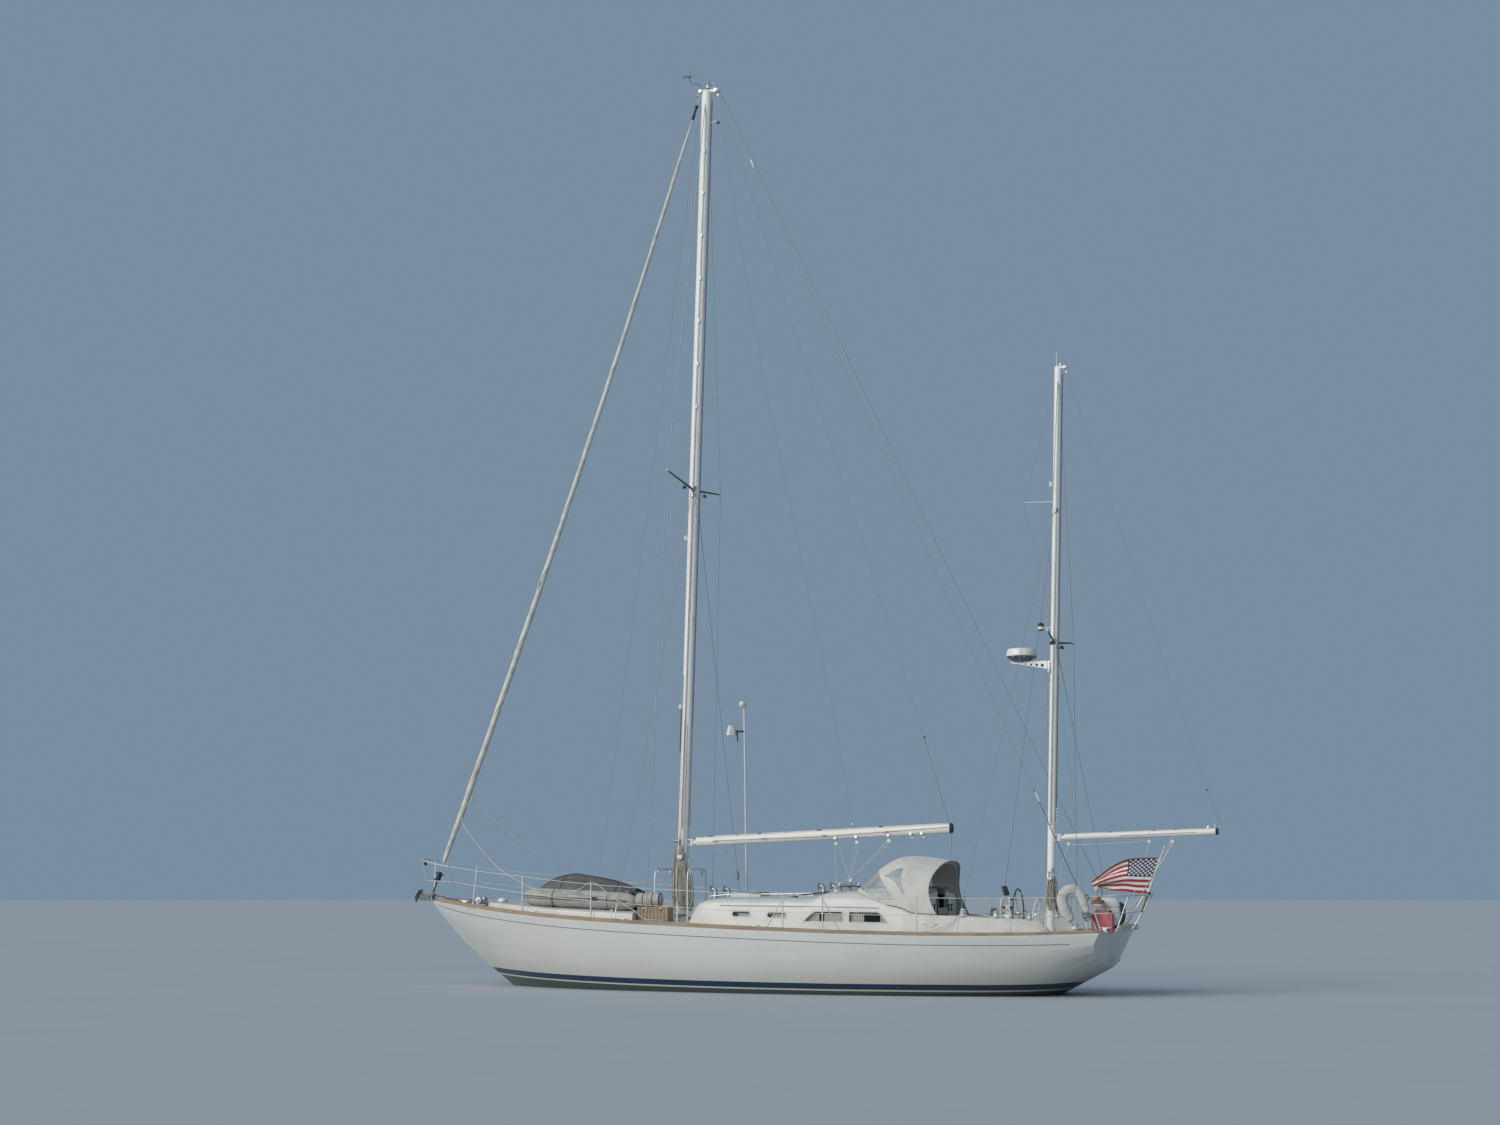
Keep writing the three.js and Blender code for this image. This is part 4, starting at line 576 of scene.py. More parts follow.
# Headsail sheets: 14 mm braided ropes from the clew to the forward coaming winches
jibSheet = {
    "radius": 0.007, "length": {"port": 11.96, "starboard": 11.25},
    "port": [(-6.262, -0.018, 3.56), (-6.385, -0.066, 3.4), (-6.452, -0.07, 3.15), (-6.33, -0.105, 2.96),
        (-6.14, -0.15, 2.76), (-5.7, -0.3, 2.38), (-5.42, -0.4, 2.18), (-5.03, -0.5, 1.99),
        (-4.72, -0.57, 1.866), (-4.48, -0.64, 1.812), (-4.18, -0.69, 1.79), (-3.85, -0.7, 1.78),
        (-3.5, -1.02, 1.825), (-2.96, -1.524, 1.932), (-2.55, -1.655, 1.68), (-2.07, -1.704, 1.42)],
    "starboard": [(-6.262, 0.018, 3.56), (-6.08, 0.11, 3.34), (-5.89, 0.2, 3.16), (-5.45, 0.4, 2.77),
        (-4.93, 0.7, 2.38), (-4.28, 1.09, 2.045), (-3.64, 1.28, 1.915), (-2.96, 1.524, 1.934),
        (-2.55, 1.655, 1.68), (-2.07, 1.704, 1.42)],
    "alongDeck": [(-1.9, 1.702, 1.3), (-1.64, 1.682, 1.272), (-1.35, 1.58, 1.202), (-0.6, 1.45, 1.175),
        (0.1, 1.435, 1.151), (0.8, 1.43, 1.128), (1.4, 1.418, 1.11), (2.0, 1.4, 1.096), (2.5, 1.37, 1.086),
        (3.0, 1.33, 1.08), (3.5, 1.27, 1.18), (3.79, 1.18, 1.385)],
}


def jibSheets():
    for side, sign in bothSides:
        route = jibSheet[side] + [(x, sign * y, z) for x, y, z in jibSheet["alongDeck"]]
        data = lineData([route], jibSheet["radius"], True)
        data.materials.append(material["rope"])
        piece = bpy.data.objects.new("sheet_rope_" + side, data)
        scene.collection.objects.link(piece)
        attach(piece, "yacht")
        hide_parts("jib_sheet_" + side)


jibSheets()
report("cords")

# Floor at the waterline and soft light from before the port beam
studio = {
    "floorRadius": 260, "sky": "#7f95a9", "skyStrength": 0.9, "sunStrength": 2.45, "sunSpread": 50.0,
    "sunWay": (0.5, 0.74, -0.45),
}


def makeStudio():
    floor = bmesh.new()
    bmesh.ops.create_circle(floor, cap_ends=True, segments=96, radius=studio["floorRadius"])
    mesh = bpy.data.meshes.new("floor")
    floor.to_mesh(mesh)
    floor.free()
    mesh.materials.append(material["floorPaint"])
    ground = bpy.data.objects.new("floor", mesh)
    scene.collection.objects.link(ground)
    world = bpy.data.worlds.new("studio")
    scene.world = world
    world.use_nodes = True
    world.node_tree.nodes["Background"].inputs["Color"].default_value = linear(studio["sky"])
    world.node_tree.nodes["Background"].inputs["Strength"].default_value = studio["skyStrength"]
    sunData = bpy.data.lights.new("sun", "SUN")
    sunData.energy = studio["sunStrength"]
    sunData.angle = radians(studio["sunSpread"])
    sunData.color = linear("#fffaf4")[:3]
    sun = bpy.data.objects.new("sun", sunData)
    sun.rotation_euler = Vector(studio["sunWay"]).to_track_quat("-Z", "Y").to_euler()
    scene.collection.objects.link(sun)
    scene.view_settings.view_transform = "Standard"


makeStudio()

# CAD nodes whose shape is right keep it and take these finishes
carriedOver = {
    "hullGelcoat": ["hull"],
    "deckGelcoat": ["deck", "locker_lid_port", "locker_lid_starboard"],
    "trunkGelcoat": ["cabin_trunk"],
    "teak": ["toe_rail_port", "toe_rail_starboard", "companionway_hatch", "deck_box"],
    "varnish": ["washboard"],
    "staffPaint": ["ensign_staff"],
    "engineIron": ["engine"],
    "keelPaint": ["keel", "rudder_skeg", "rudder"],
    "bronze": ["shaft_strut", "propeller"],
    "sparPaint": ["main_mast", "mizzen_mast"],
    "boomPaint": ["main_boom", "mizzen_boom"],
    # the spreaders' dark grey is painted shade
    "spreaderShadeGrey": ["main_spreader_port", "main_spreader_starboard", "mizzen_spreader_port",
                      "mizzen_spreader_starboard"],
    "wireRope": ["main_shroud_port", "mizzen_shroud_port", "main_shroud_starboard", "mizzen_shroud_starboard",
                 "backstay_port", "backstay_starboard"],
    "wornSteel": ["stem_fitting"],
    "brightTube": ["mast_hoop_forward", "mast_hoop_aft"],
    "stainless": ["radar_bracket", "dodger_frame", "pulpit", "pushpit", "guard_rail_port",
                  "guard_rail_starboard", "steering_wheel"],
    "blackPlastic": ["furler_drum"],
    "galvanised": ["anchor", "traveller"],
    "radarPlastic": ["radar_dome"],
    "whitePlastic": ["aerial_pole", "binnacle", "outboard_motor"],
    "smokedAcrylic": ["fore_hatch_lid"],
    "sailcloth": ["furled_headsail"],
    "canvas": ["dodger"],
    "dinghyFabric": ["dinghy_tube"],
    "dinghyBottom": ["dinghy_floor"],
    "buoyCover": ["horseshoe_buoy"],
    "redPlastic": ["fuel_can"],
    "flagRed": ["ensign"],
    "windowGlass": ["side_windows_port", "side_windows_starboard"],
}


# The mesh stays as it is: welding and creasing it in modifiers lets it shade as one surface
def dress(node, look):
    mesh = node.data
    mesh.materials.clear()
    mesh.materials.append(material[look])
    if "custom_normal" in mesh.attributes:
        mesh.attributes.remove(mesh.attributes["custom_normal"])
    mesh.polygons.foreach_set("use_smooth", [True] * len(mesh.polygons))
    node.modifiers.new("weld", "WELD").merge_threshold = 0.00005
    node.modifiers.new("creases", "EDGE_SPLIT").split_angle = radians(35)


for look, names in carriedOver.items():
    for name in names:
        dress(nodes[name], look)
report("carried-over pieces")

# Cabin trunk: x, then half breadth at z 0.9, half breadth at the shoulder, the shoulder's height
trunkRows = [(-1.42, 0.76, 0.755, 1.215), (-1.34, 0.8, 0.79, 1.33), (-1.22, 0.85, 0.835, 1.47),
    (-1.05, 0.905, 0.88, 1.53), (-0.7, 0.96, 0.925, 1.56), (0.3, 1.05, 1.01, 1.56), (1.0, 1.095, 1.06, 1.56),
    (1.28, 1.105, 1.068, 1.59), (1.8, 1.118, 1.078, 1.592), (2.3, 1.124, 1.08, 1.55),
    (2.76, 1.126, 1.08, 1.465), (3.16, 1.126, 1.08, 1.385)]
# The roof above it: x, half breadth and height of the roof's edge, height of the crown
roofRows = [(-1.42, 0.7, 1.222, 1.226), (-1.34, 0.735, 1.4, 1.425), (-1.22, 0.77, 1.56, 1.592),
    (-1.05, 0.8, 1.622, 1.664), (-0.7, 0.83, 1.645, 1.696), (0.3, 0.905, 1.645, 1.7),
    (1.0, 0.945, 1.65, 1.705), (1.28, 0.94, 1.745, 1.795), (1.8, 0.935, 1.765, 1.815),
    (2.3, 0.93, 1.762, 1.812), (2.76, 0.915, 1.745, 1.8), (3.16, 0.9, 1.73, 1.79)]


def straightBetween(rows, x):
    at = min(max(x, rows[0][0]), rows[-1][0])
    for low, high in zip(rows, rows[1:]):
        if at <= high[0]:
            share = (at - low[0]) / (high[0] - low[0])
            return [a + (b - a) * share for a, b in zip(low, high)][1:]


def trunkSide(x, z):
    foot, side, shoulder = straightBetween(trunkRows, x)
    return foot + (side - foot) * (z - 0.9) / (shoulder - 0.9)


def roofHeight(x, y=0.0):
    half, edge, crown = straightBetween(roofRows, x)
    return crown - (crown - edge) * min(abs(y) / half, 1.0) ** 2


# Cabin windows: corners (x, z) of each cut, and the radius of its corners
windowSet = {
    "cuts": [([(-0.5, 1.335), (-0.14, 1.33), (-0.14, 1.432), (-0.5, 1.436)], 0.048), ([(0.19, 1.318),
        (0.57, 1.314), (0.57, 1.418), (0.19, 1.422)], 0.048), ([(0.87, 1.258), (1.64, 1.252), (1.64, 1.436),
        (1.1, 1.438)], 0.036), ([(1.75, 1.25), (2.5, 1.24), (2.3, 1.43), (1.75, 1.436)], 0.036)],
    "lap": 0.012, "rim": 0.022, "rimThick": 0.008, "rimProud": 0.005, "paneDepth": 0.01, "paneThick": 0.006,
    "rail": 1.399, "railRadius": 0.006, "railDepth": 0.049,
}
# Curtains: the window, and the shares of its width between which each one hangs
curtainSet = {
    "hung": [(0, 0.3, 1.06), (1, 0.3, 1.06), (2, -0.04, 0.41), (2, 0.53, 1.04), (3, -0.03, 0.36),
        (3, 0.76, 1.0)],
    "drop": 0.17, "wave": 0.05, "swing": 0.009, "thick": 0.0012,
}


# A flat rounded plate in the XZ plane, with its thickness along Y
def roundedPlate(form, corners, radius, thick, ring=None):
    form.faces.new([form.verts.new((x, 0, z)) for x, z in corners])
    bmesh.ops.bevel(form, geom=form.verts, offset=radius, segments=6, profile=0.5, affect="VERTICES",
        material=-1)
    if ring:
        middle = form.faces[:]
        bmesh.ops.inset_region(form, faces=middle, thickness=ring, use_boundary=True, use_even_offset=True)
        bmesh.ops.delete(form, geom=middle, context="FACES")
    bmesh.ops.solidify(form, geom=form.faces, thickness=thick)
    low = min(vert.co.y for vert in form.verts)
    bmesh.ops.translate(form, verts=form.verts, vec=(0, -low, 0))


def windows():
    for side, sign in bothSides:
        form = bmesh.new()
        for corners, radius in windowSet["cuts"]:
            middleX = sum(x for x, _ in corners) / 4
            middleZ = sum(z for _, z in corners) / 4
            lap = windowSet["lap"]
            wide = [(x + copysign(lap, x - middleX), z + copysign(lap, z - middleZ)) for x, z in corners]
            for look, outline, extra, thick, ring, outside in ((0, corners, 0.0, windowSet["paneThick"], None,
                    -windowSet["paneDepth"]), (1, wide, lap, windowSet["rimThick"], windowSet["rim"],
                    windowSet["rimProud"])):
                small = bmesh.new()
                roundedPlate(small, outline, radius + extra, thick, ring)
                for vert in small.verts:
                    x, depth, z = vert.co
                    vert.co = (x, sign * (trunkSide(x, z) + outside - depth), z)
                turnOut(small)
                joinTo(form, small, look)
        rail = [(x, sign * (trunkSide(x, windowSet["rail"]) - windowSet["railDepth"]), windowSet["rail"])
            for x in (-0.6, 0.3, 1.2, 1.9, 2.6)]
        bent(form, rail, windowSet["railRadius"], 2)
        addPiece("windows_" + side, form, ["windowGlass", "paleAlloy", "whitePlastic"],
            hides=["side_windows_" + side])
        for number, (window, start, end) in enumerate(curtainSet["hung"]):
            hangCurtain(side, sign, number, window, start, end)


def hangCurtain(side, sign, number, window, start, end):
    corners = windowSet["cuts"][window][0]
    left, right = min(x for x, _ in corners), max(x for x, _ in corners)
    first, last = left + (right - left) * start, left + (right - left) * end
    waves = max(round((last - first) / curtainSet["wave"]), 2)
    top = windowSet["rail"] - windowSet["railRadius"]

    def cloth(u, v):
        x = first + (last - first) * u
        z = top - curtainSet["drop"] * (1 - v)
        fold = curtainSet["swing"] * (0.6 + 0.4 * (1 - v)) * sin(2 * pi * waves * u + 0.6 * (1 - v))
        return x, sign * (trunkSide(x, z) - windowSet["railDepth"] - 0.004 + fold), z

    form = bmesh.new()
    gridSheet(form, waves * 8, 5, cloth)
    area = sum(face.calc_area() for face in form.faces)
    bmesh.ops.solidify(form, geom=form.faces, thickness=curtainSet["thick"])
    piece = addPiece("curtain_%s_%d" % (side, number + 1), form, ["curtainCloth"], sharp=60.0)


windows()
report("windows")

# Spray hood: rings from the coachroof (v 0) to the after hoop (v 1); turn runs from starboard foot to port
hood = {
    # length and girth of the cloth laid flat, and its area
    "cut": (1.8, 3.65), "cutArea": 4.95,
    # v, foot x and z, half breadth, top x and z, bow of the ring toward the stern, squareness
    "rings": [(0.0, 2.56, 1.5, 1.072, 1.775, 1.828, 0.0, 4.5),
        (1 / 3, 2.79, 1.43, 1.086, 2.25, 2.27, 0.0, 3.2), (2 / 3, 2.96, 1.36, 1.112, 2.66, 2.415, -0.06, 3.0),
        (1.0, 3.38, 1.35, 1.128, 3.37, 2.325, -0.17, 2.8)],
    "canvas": 0.003, "stepsAlong": 40, "stepsAcross": 64, "crease": 0.005,
    "screen": {"low": 0.035, "high": 0.265, "side": 0.035, "mullion": 0.008},
    # corners (v, turn) of the port side window
    "sideWindow": [(0.31, 0.782), (0.68, 0.752), (0.625, 0.935)],
    "welt": 0.0045, "hem": 0.009,
}


def onHood(v, turn, inset=0.0):
    footX, footZ, half, topX, topZ, bulge, power = [along([(row[0], row[c]) for row in hood["rings"]], v)
        for c in range(1, 8)]
    angle = turn * pi
    across, up = cos(angle), max(sin(angle), 0.0)
    rise = up ** (2 / power)
    return Vector((footX + (topX - footX) * rise + bulge * sin(pi * rise),
        (half - inset) * signedPower(across, 2 / power), footZ + (topZ - footZ - inset) * rise))


def inside(corners, spot):
    turns = [(b[0] - a[0]) * (spot[1] - a[1]) - (b[1] - a[1]) * (spot[0] - a[0]) for a, b in zip(corners,
        corners[1:] + corners[:1])]
    return all(t > 0 for t in turns) or all(t < 0 for t in turns)


# Cuts the flat grid along the edges of a window, near that window only
def cutWindow(form, corners):
    low = [min(c[i] for c in corners) - 0.04 for i in (0, 1)]
    high = [max(c[i] for c in corners) + 0.04 for i in (0, 1)]
    for a, b in zip(corners, corners[1:] + corners[:1]):
        near = [face for face in form.faces if all(low[i] < face.calc_center_median()[i] < high[i]
            for i in (0, 1))]
        edges = {edge for face in near for edge in face.edges}
        verts = {vert for face in near for vert in face.verts}
        way = Vector((b[1] - a[1], a[0] - b[0], 0))
        bmesh.ops.bisect_plane(form, geom=near + list(edges) + list(verts), dist=0.00001, plane_co=(*a, 0),
            plane_no=way)


def sprayHood():
    screen = hood["screen"]
    panes = []
    for a, b in ((screen["side"], 0.5 - screen["mullion"]), (0.5 + screen["mullion"], 1 - screen["side"])):
        panes.append([(screen["low"], a), (screen["high"], a), (screen["high"], b), (screen["low"], b)])
    panes.append(hood["sideWindow"])
    panes.append([(v, 1 - turn) for v, turn in hood["sideWindow"]])
    form = bmesh.new()
    form.loops.layers.uv.new("UVMap")
    bmesh.ops.create_grid(form, x_segments=hood["stepsAlong"], y_segments=hood["stepsAcross"], size=0.5,
        calc_uvs=True)
    bmesh.ops.translate(form, verts=form.verts, vec=(0.5, 0.5, 0))
    for pane in panes:
        cutWindow(form, pane)
    for face in form.faces:
        spot = face.calc_center_median()
        face.material_index = 1 if any(inside(pane, spot) for pane in panes) else 0
    for vert in form.verts:
        v, turn = vert.co.x, vert.co.y
        ripple = noise.noise(Vector((v * 5, turn * 16, 3.0)))
        stretched = hood["crease"] * ripple * sin(pi * min(max(v, 0), 1))
        vert.co = onHood(v, turn, stretched)
    turnOut(form)
    bmesh.ops.solidify(form, geom=form.faces, thickness=hood["canvas"])
    piece = addPiece("spray_hood", form, ["canvas", "clearVinyl"], sharp=50.0, hides=["dodger"])
    hoodBinding(panes)


# Bound edges: a flat welt round each pane, a seam over each hoop, the hem and the bolt rope at the foot
def hoodBinding(panes):
    form = bmesh.new()
    for pane in panes:
        ring = []
        for a, b in zip(pane, pane[1:] + pane[:1]):
            ring += [(a[0] + (b[0] - a[0]) * i / 12, a[1] + (b[1] - a[1]) * i / 12) for i in range(12)]
        wire(form, [onHood(v, turn, -0.001) for v, turn in ring + ring[:1]], hood["welt"], 0)
    for v in (0.29, 0.64, 0.66):
        wire(form, [onHood(v, 0.01 + 0.98 * i / 60, -0.0005) for i in range(61)], 0.0022, 0)
    wire(form, [onHood(1.0, 0.002 + 0.996 * i / 60, 0.0) for i in range(61)], hood["hem"], 0)
    wire(form, [onHood(0.0, 0.002 + 0.996 * i / 60, 0.0) for i in range(61)], 0.006, 0)
    for turn in (0.004, 0.996):
        wire(form, [onHood(i / 30, turn, -0.004) for i in range(31)], 0.006, 1)
        for i in range(8):
            spot = onHood(0.36 + 0.08 * i, turn, -0.006) + lifted(0.035)
            way = (0, -1 if turn > 0.5 else 1, 0)
            lathe(form, spot, 2, [(0.009, 0), (0.009, 0.003), (0.004, 0.006)], way, sides=10)
    return addPiece("hood_binding", form, ["canvasTrim", "darkFabric", "stainless"], sharp=40.0)


sprayHood()
report("spray hood")

# Rolled headsail: a spiral of cloth round the stay, its free edge winding up the roll
headsail = {
    "foot": (-7.07, 0.0, 1.79), "below": 0.05, "forward": 0.13, "sag": 0.12,
    # share of the stay, and radius of the roll there
    "roll": [(0.032, 0.012), (0.04, 0.04), (0.08, 0.056), (0.25, 0.06), (0.45, 0.054), (0.65, 0.046),
        (0.82, 0.038), (0.93, 0.03), (0.962, 0.012)],
    "twists": 11, "step": 0.16, "around": 22, "up": 420, "crease": 0.05, "clew": (-6.27, 0.0, 3.585),
    "tab": [(-6.42, 3.5), (-6.28, 3.56), (-6.28, 3.61), (-6.4, 3.74)],
}


def onStay(t):
    foot = Vector(headsail["foot"])
    top = onMast(mainMast, mainMast["top"], headsail["forward"]) - lifted(headsail["below"])
    return foot.lerp(top, t) + Vector((headsail["sag"] * 4 * t * (1 - t), 0, 0))


def rolledSail():
    low, high = headsail["roll"][0][0], headsail["roll"][-1][0]

    def skin(u, v):
        t = low + (high - low) * v
        way = (onStay(t + 0.002) - onStay(t - 0.002)).normalized()
        forward = way.cross(Vector((0, 1, 0))).normalized()
        side = way.cross(forward)
        wound = u * (headsail["around"] + 1) / headsail["around"]
        edge = headsail["step"] * (min(wound, 1.0) - 0.5) if wound <= 1.0 else -0.5 * headsail["step"]
        angle = 2 * pi * (min(wound, 1.0) + headsail["twists"] * v)
        crease = noise.noise(Vector((cos(angle) * 1.3, sin(angle) * 1.3, v * 90 - angle * 0.6)))
        radius = along(headsail["roll"], t) * (1 + edge + headsail["crease"] * crease)
        return onStay(t) + forward * radius * cos(angle) + side * radius * sin(angle)

    form = bmesh.new()
    gridSheet(form, headsail["around"] + 1, headsail["up"], skin)
    closeUp(form, 0.00001)
    addPiece("rolled_headsail", form, ["sailcloth"], sharp=28.0, hides=["furled_headsail"])
    fittings = bmesh.new()
    lines(fittings, [[onStay(0.95 + 0.05 * i / 4) for i in range(5)], [onStay(0.022), onStay(0.036)]], 0.006,
        1)
    for low, high, radius in ((0.966, 0.972, 0.03), (0.971, 0.981, 0.022), (0.98, 0.984, 0.034)):
        rod(fittings, onStay(low), onStay(high), radius, 2, sides=16)
    tab = bmesh.new()
    roundedPlate(tab, headsail["tab"], 0.012, 0.006)
    bmesh.ops.translate(tab, verts=tab.verts, vec=(0, -0.003, 0))
    turnOut(tab)
    joinTo(fittings, tab, 0)
    ring = Vector(headsail["clew"]) + Vector((-0.03, 0, 0))
    hoop(fittings, ring, 1, 0.02, 0.005, (0, 1, 0))
    for turn in range(3):
        hoop(fittings, onStay(0.115 + 0.004 * turn), 3, 0.062, 0.007, (0.3, 0.05 * turn, 1), sides=20)
    addPiece("headsail_fittings", fittings, ["sailcloth", "stainless", "blackPlastic", "rope"])


rolledSail()
report("headsail")

# Dinghy lying upside down on its chocks: an inflated tube with cone ends, and the bottom with its keel
dinghy = {
    "route": [(-2.53, 0.565), (-2.95, 0.56), (-3.4, 0.56), (-4.0, 0.56), (-4.48, 0.5), (-4.77, 0.3),
        (-4.845, 0.0)],
    # share of the tube from either end, and its radius there
    "radii": [(0.0, 0.055), (0.008, 0.1), (0.03, 0.145), (0.065, 0.165), (0.5, 0.165)],
    # x, half breadth and height of the keel
    "bottom": [(-4.74, 0.18, 1.86), (-4.6, 0.33, 1.95), (-4.41, 0.42, 2.045), (-4.05, 0.45, 2.11),
        (-3.5, 0.455, 2.03), (-3.16, 0.455, 1.965), (-2.74, 0.455, 1.825)],
    "seams": (0.075, 0.2, 0.33, 0.42, 0.58, 0.67, 0.8, 0.925),
    "rings": (0.1, 0.2, 0.3, 0.4, 0.6, 0.7, 0.8, 0.9),
}


def tubeZ(x):
    return 1.7 - 0.11 * (x + 5.01) / 2.41


def dinghyMiddle(s):
    half = dinghy["route"]
    route = [(x, -y) for x, y in half] + half[-2::-1]
    at = s * (len(route) - 1)
    x, y = [along([(i, point[c]) for i, point in enumerate(route)], at) for c in (0, 1)]
    return Vector((x, y, tubeZ(x)))


# A place on the tube: angle 0 is its outer side, a quarter turn its top
def onTube(s, angle, proud=0.0):
    way = (dinghyMiddle(min(s + 0.004, 1)) - dinghyMiddle(max(s - 0.004, 0))).normalized()
    outward = -way.cross(lifted(1)).normalized()
    radius = along(dinghy["radii"], min(s, 1 - s)) + proud
    return dinghyMiddle(s) + outward * radius * cos(angle) + Vector((0, 0, radius * sin(angle)))


def inflatable():
    def skin(u, v):
        slackness = 0.004 * noise.noise(Vector((v * 30, cos(2 * pi * u), sin(2 * pi * u))))
        return onTube(v, 2 * pi * u, slackness)

    form = bmesh.new()
    gridSheet(form, 28, 150, skin)
    closeUp(form)
    for s in dinghy["seams"]:
        for offset in (-0.006, 0.006):
            wire(form, [onTube(s + offset, 2 * pi * i / 32, 0.0002) for i in range(33)], 0.0018, 0)
    strake = [[onTube(0.03 + 0.94 * i / 90, angle, 0.004) for i in range(91)] for angle in (-0.1, 0.1)]
    lines(form, strake, 0.009, 4)
    grab = []
    for first, last in zip(dinghy["rings"], dinghy["rings"][1:]):
        grab.append([onTube(first + (last - first) * i / 10, 0.62 - 0.5 * i / 10 * (1 - i / 10), 0.012)
            for i in range(11)])
    lines(form, grab, 0.006, 2)
    for s in dinghy["rings"]:
        for angle, size in ((0.62, 0.045), (0.62, 0.02)):
            out = onTube(s, angle, 0.1) - onTube(s, angle)
            peg(form, onTube(s, angle, 0.001 if size > 0.03 else 0.004), 0 if size > 0.03 else 3, size, 0.006,
                out, tip=size * 0.85, sides=16)
    for s in (0.158, 0.842):
        out = onTube(s, 0.1, 0.1) - onTube(s, 0.1)
        pad = placed(onTube(s, 0.1, 0.004), out) @ Matrix.Scale(2.4, 4, (1, 0, 0))
        peg(form, pad, 1, 0.042, 0.014, tip=0.03, sides=16)
    addPiece("dinghy_hull_tube", form, ["dinghyFabric", "darkFabric", "rope", "blackPlastic", "dinghyBottom"],
        hides=["dinghy_tube"])


def dinghyKeel(x, share):
    half, ridge = straightBetween(dinghy["bottom"], x)
    edge = tubeZ(x) + 0.1
    return Vector((x, half * share, edge + (ridge - edge) * (1 - abs(share) ** 1.736)))


def dinghyUnderside():
    first, last = dinghy["bottom"][0][0], dinghy["bottom"][-1][0]

    def skin(u, v):
        place = dinghyKeel(first + (last - first) * u, 2 * v - 1)
        sunk = 0.012 * noise.noise(Vector((u * 9, v * 7, 1.0))) * (1 - abs(2 * v - 1))
        return place - Vector((0, 0, abs(sunk)))

    form = bmesh.new()
    gridSheet(form, 60, 24, skin)
    turnOut(form)
    bmesh.ops.solidify(form, geom=form.faces, thickness=0.004)
    for share, radius in ((0.0, 0.014), (0.5, 0.007), (-0.5, 0.007)):
        wire(form, [dinghyKeel(first + (last - first) * i / 40, share) + lifted(0.002) for i in range(41)],
            radius, 1)
    box(form, (-2.786, 0, 1.65), 2, (0.028, 0.86, 0.28), 0.006)
    for side in (-0.2, 0.2):
        box(form, (-2.765, side, 1.68), 1, (0.016, 0.12, 0.14), 0.004)
    for x in (-4.2, -3.08):
        strap = [dinghyKeel(x, i / 12) + lifted(0.005) for i in range(-12, 13)]
        wire(form, strap, 0.006, 3)
        for sign in (-1, 1):
            over = [(x, sign * y, tubeZ(x) + up) for y, up in ((0.5, 0.158), (0.62, 0.155), (0.7, 0.095),
                (0.732, 0), (0.7, -0.1))]
            bent(form, over + [(x, sign * 0.66, deckHeight(x, 0.66) + 0.01)], 0.006, 3)
            hoop(form, (x, sign * 0.66, deckHeight(x, 0.66) + 0.012), 4, 0.022, 0.005)
    addPiece("dinghy_underside", form, ["dinghyBottom", "darkFabric", "greyWood", "darkRope", "stainless"],
        sharp=45.0, hides=["dinghy_floor"])


inflatable()
dinghyUnderside()
report("dinghy")

# Ensign: a striped flag with a starred union, its fly gathered into long folds by the light air
ensign = {
    # share of the fly: distance from the staff, top and bottom heights
    "rows": [(0.0, 0.0, 2.372, 1.755), (0.22, -0.3, 2.366, 1.765), (0.42, -0.57, 2.34, 1.79),
        (0.62, -0.8, 2.225, 1.8), (0.84, -1.0, 2.06, 1.845), (1.0, -1.13, 1.955, 1.86)],
    # sideways swing of the whole cloth along the fly
    "leans": [(0.0, 0.0), (0.22, -0.02), (0.42, 0.0), (0.62, 0.08), (0.84, 0.22), (1.0, 0.34)],
    # how far the cloth must swing to either side to shrink to this share of its height
    "swings": [(0.1, 2.2), (0.224, 2.0), (0.512, 1.5), (0.765, 1.0), (0.94, 0.5), (1.0, 0.0)],
    "folds": 1.4, "shear": 0.17, "thick": 0.0012, "stripes": 13, "unionHigh": 7, "unionLong": 0.4,
    "star": 0.026, "hoist": 0.617, "fly": 1.18, "proud": 0.003,
}


def staffX(z):
    return 6.737 + 0.425 * (z - 1.433) / 1.112


# One column of the flag: the cloth keeps its length down the column and swings from side to side
@functools.lru_cache(maxsize=None)
def flagColumn(u):
    reach, top, bottom = [along([(row[0], row[c]) for row in ensign["rows"]], u) for c in range(1, 4)]
    swing = along(ensign["swings"], min((top - bottom) / ensign["hoist"], 1.0))
    side, down, spots = 0.0, 0.0, [(0.0, 0.0)]
    for i in range(65):
        angle = swing * sin(2 * pi * ensign["folds"] * (i + 0.5) / 65 + 0.9 + 1.3 * u)
        side += sin(angle) / 65
        down += cos(angle) / 65
        spots.append((side, down))
    middle = sum(spot[0] for spot in spots) / len(spots)
    return reach, top, bottom, [((a - middle) * ensign["hoist"], b / down) for a, b in spots]


def onEnsign(u, v):
    reach, top, bottom, spots = flagColumn(round(u, 4))
    at = min(max(v, 0.0), 1.0) * 65
    i = min(int(at), 64)
    side, down = [spots[i][c] + (spots[i + 1][c] - spots[i][c]) * (at - i) for c in (0, 1)]
    z = top + (bottom - top) * down
    lean = along(ensign["leans"], u)
    return Vector((staffX(z) - 0.014 + reach + ensign["shear"] * min(u / 0.4, 1) * v,
        side * min(u * 8, 1) + lean, z))


def flagNormal(u, v):
    downFly = onEnsign(min(u + 0.01, 1), v) - onEnsign(max(u - 0.01, 0), v)
    down = onEnsign(u, min(v + 0.01, 1)) - onEnsign(u, max(v - 0.01, 0))
    return downFly.cross(down).normalized()


def starShape(form, radius, u, v, side):
    made = bmesh.ops.create_circle(form, cap_ends=True, segments=10, radius=radius)
    for i, vert in enumerate(made["verts"]):
        reach = radius if i % 2 == 0 else radius * 0.42
        angle = 2 * pi * i / 10
        flatU = u + reach * sin(angle) / ensign["fly"]
        flatV = v - reach * cos(angle) / ensign["hoist"]
        vert.co = onEnsign(flatU, flatV) + flagNormal(flatU, flatV) * side * ensign["proud"]


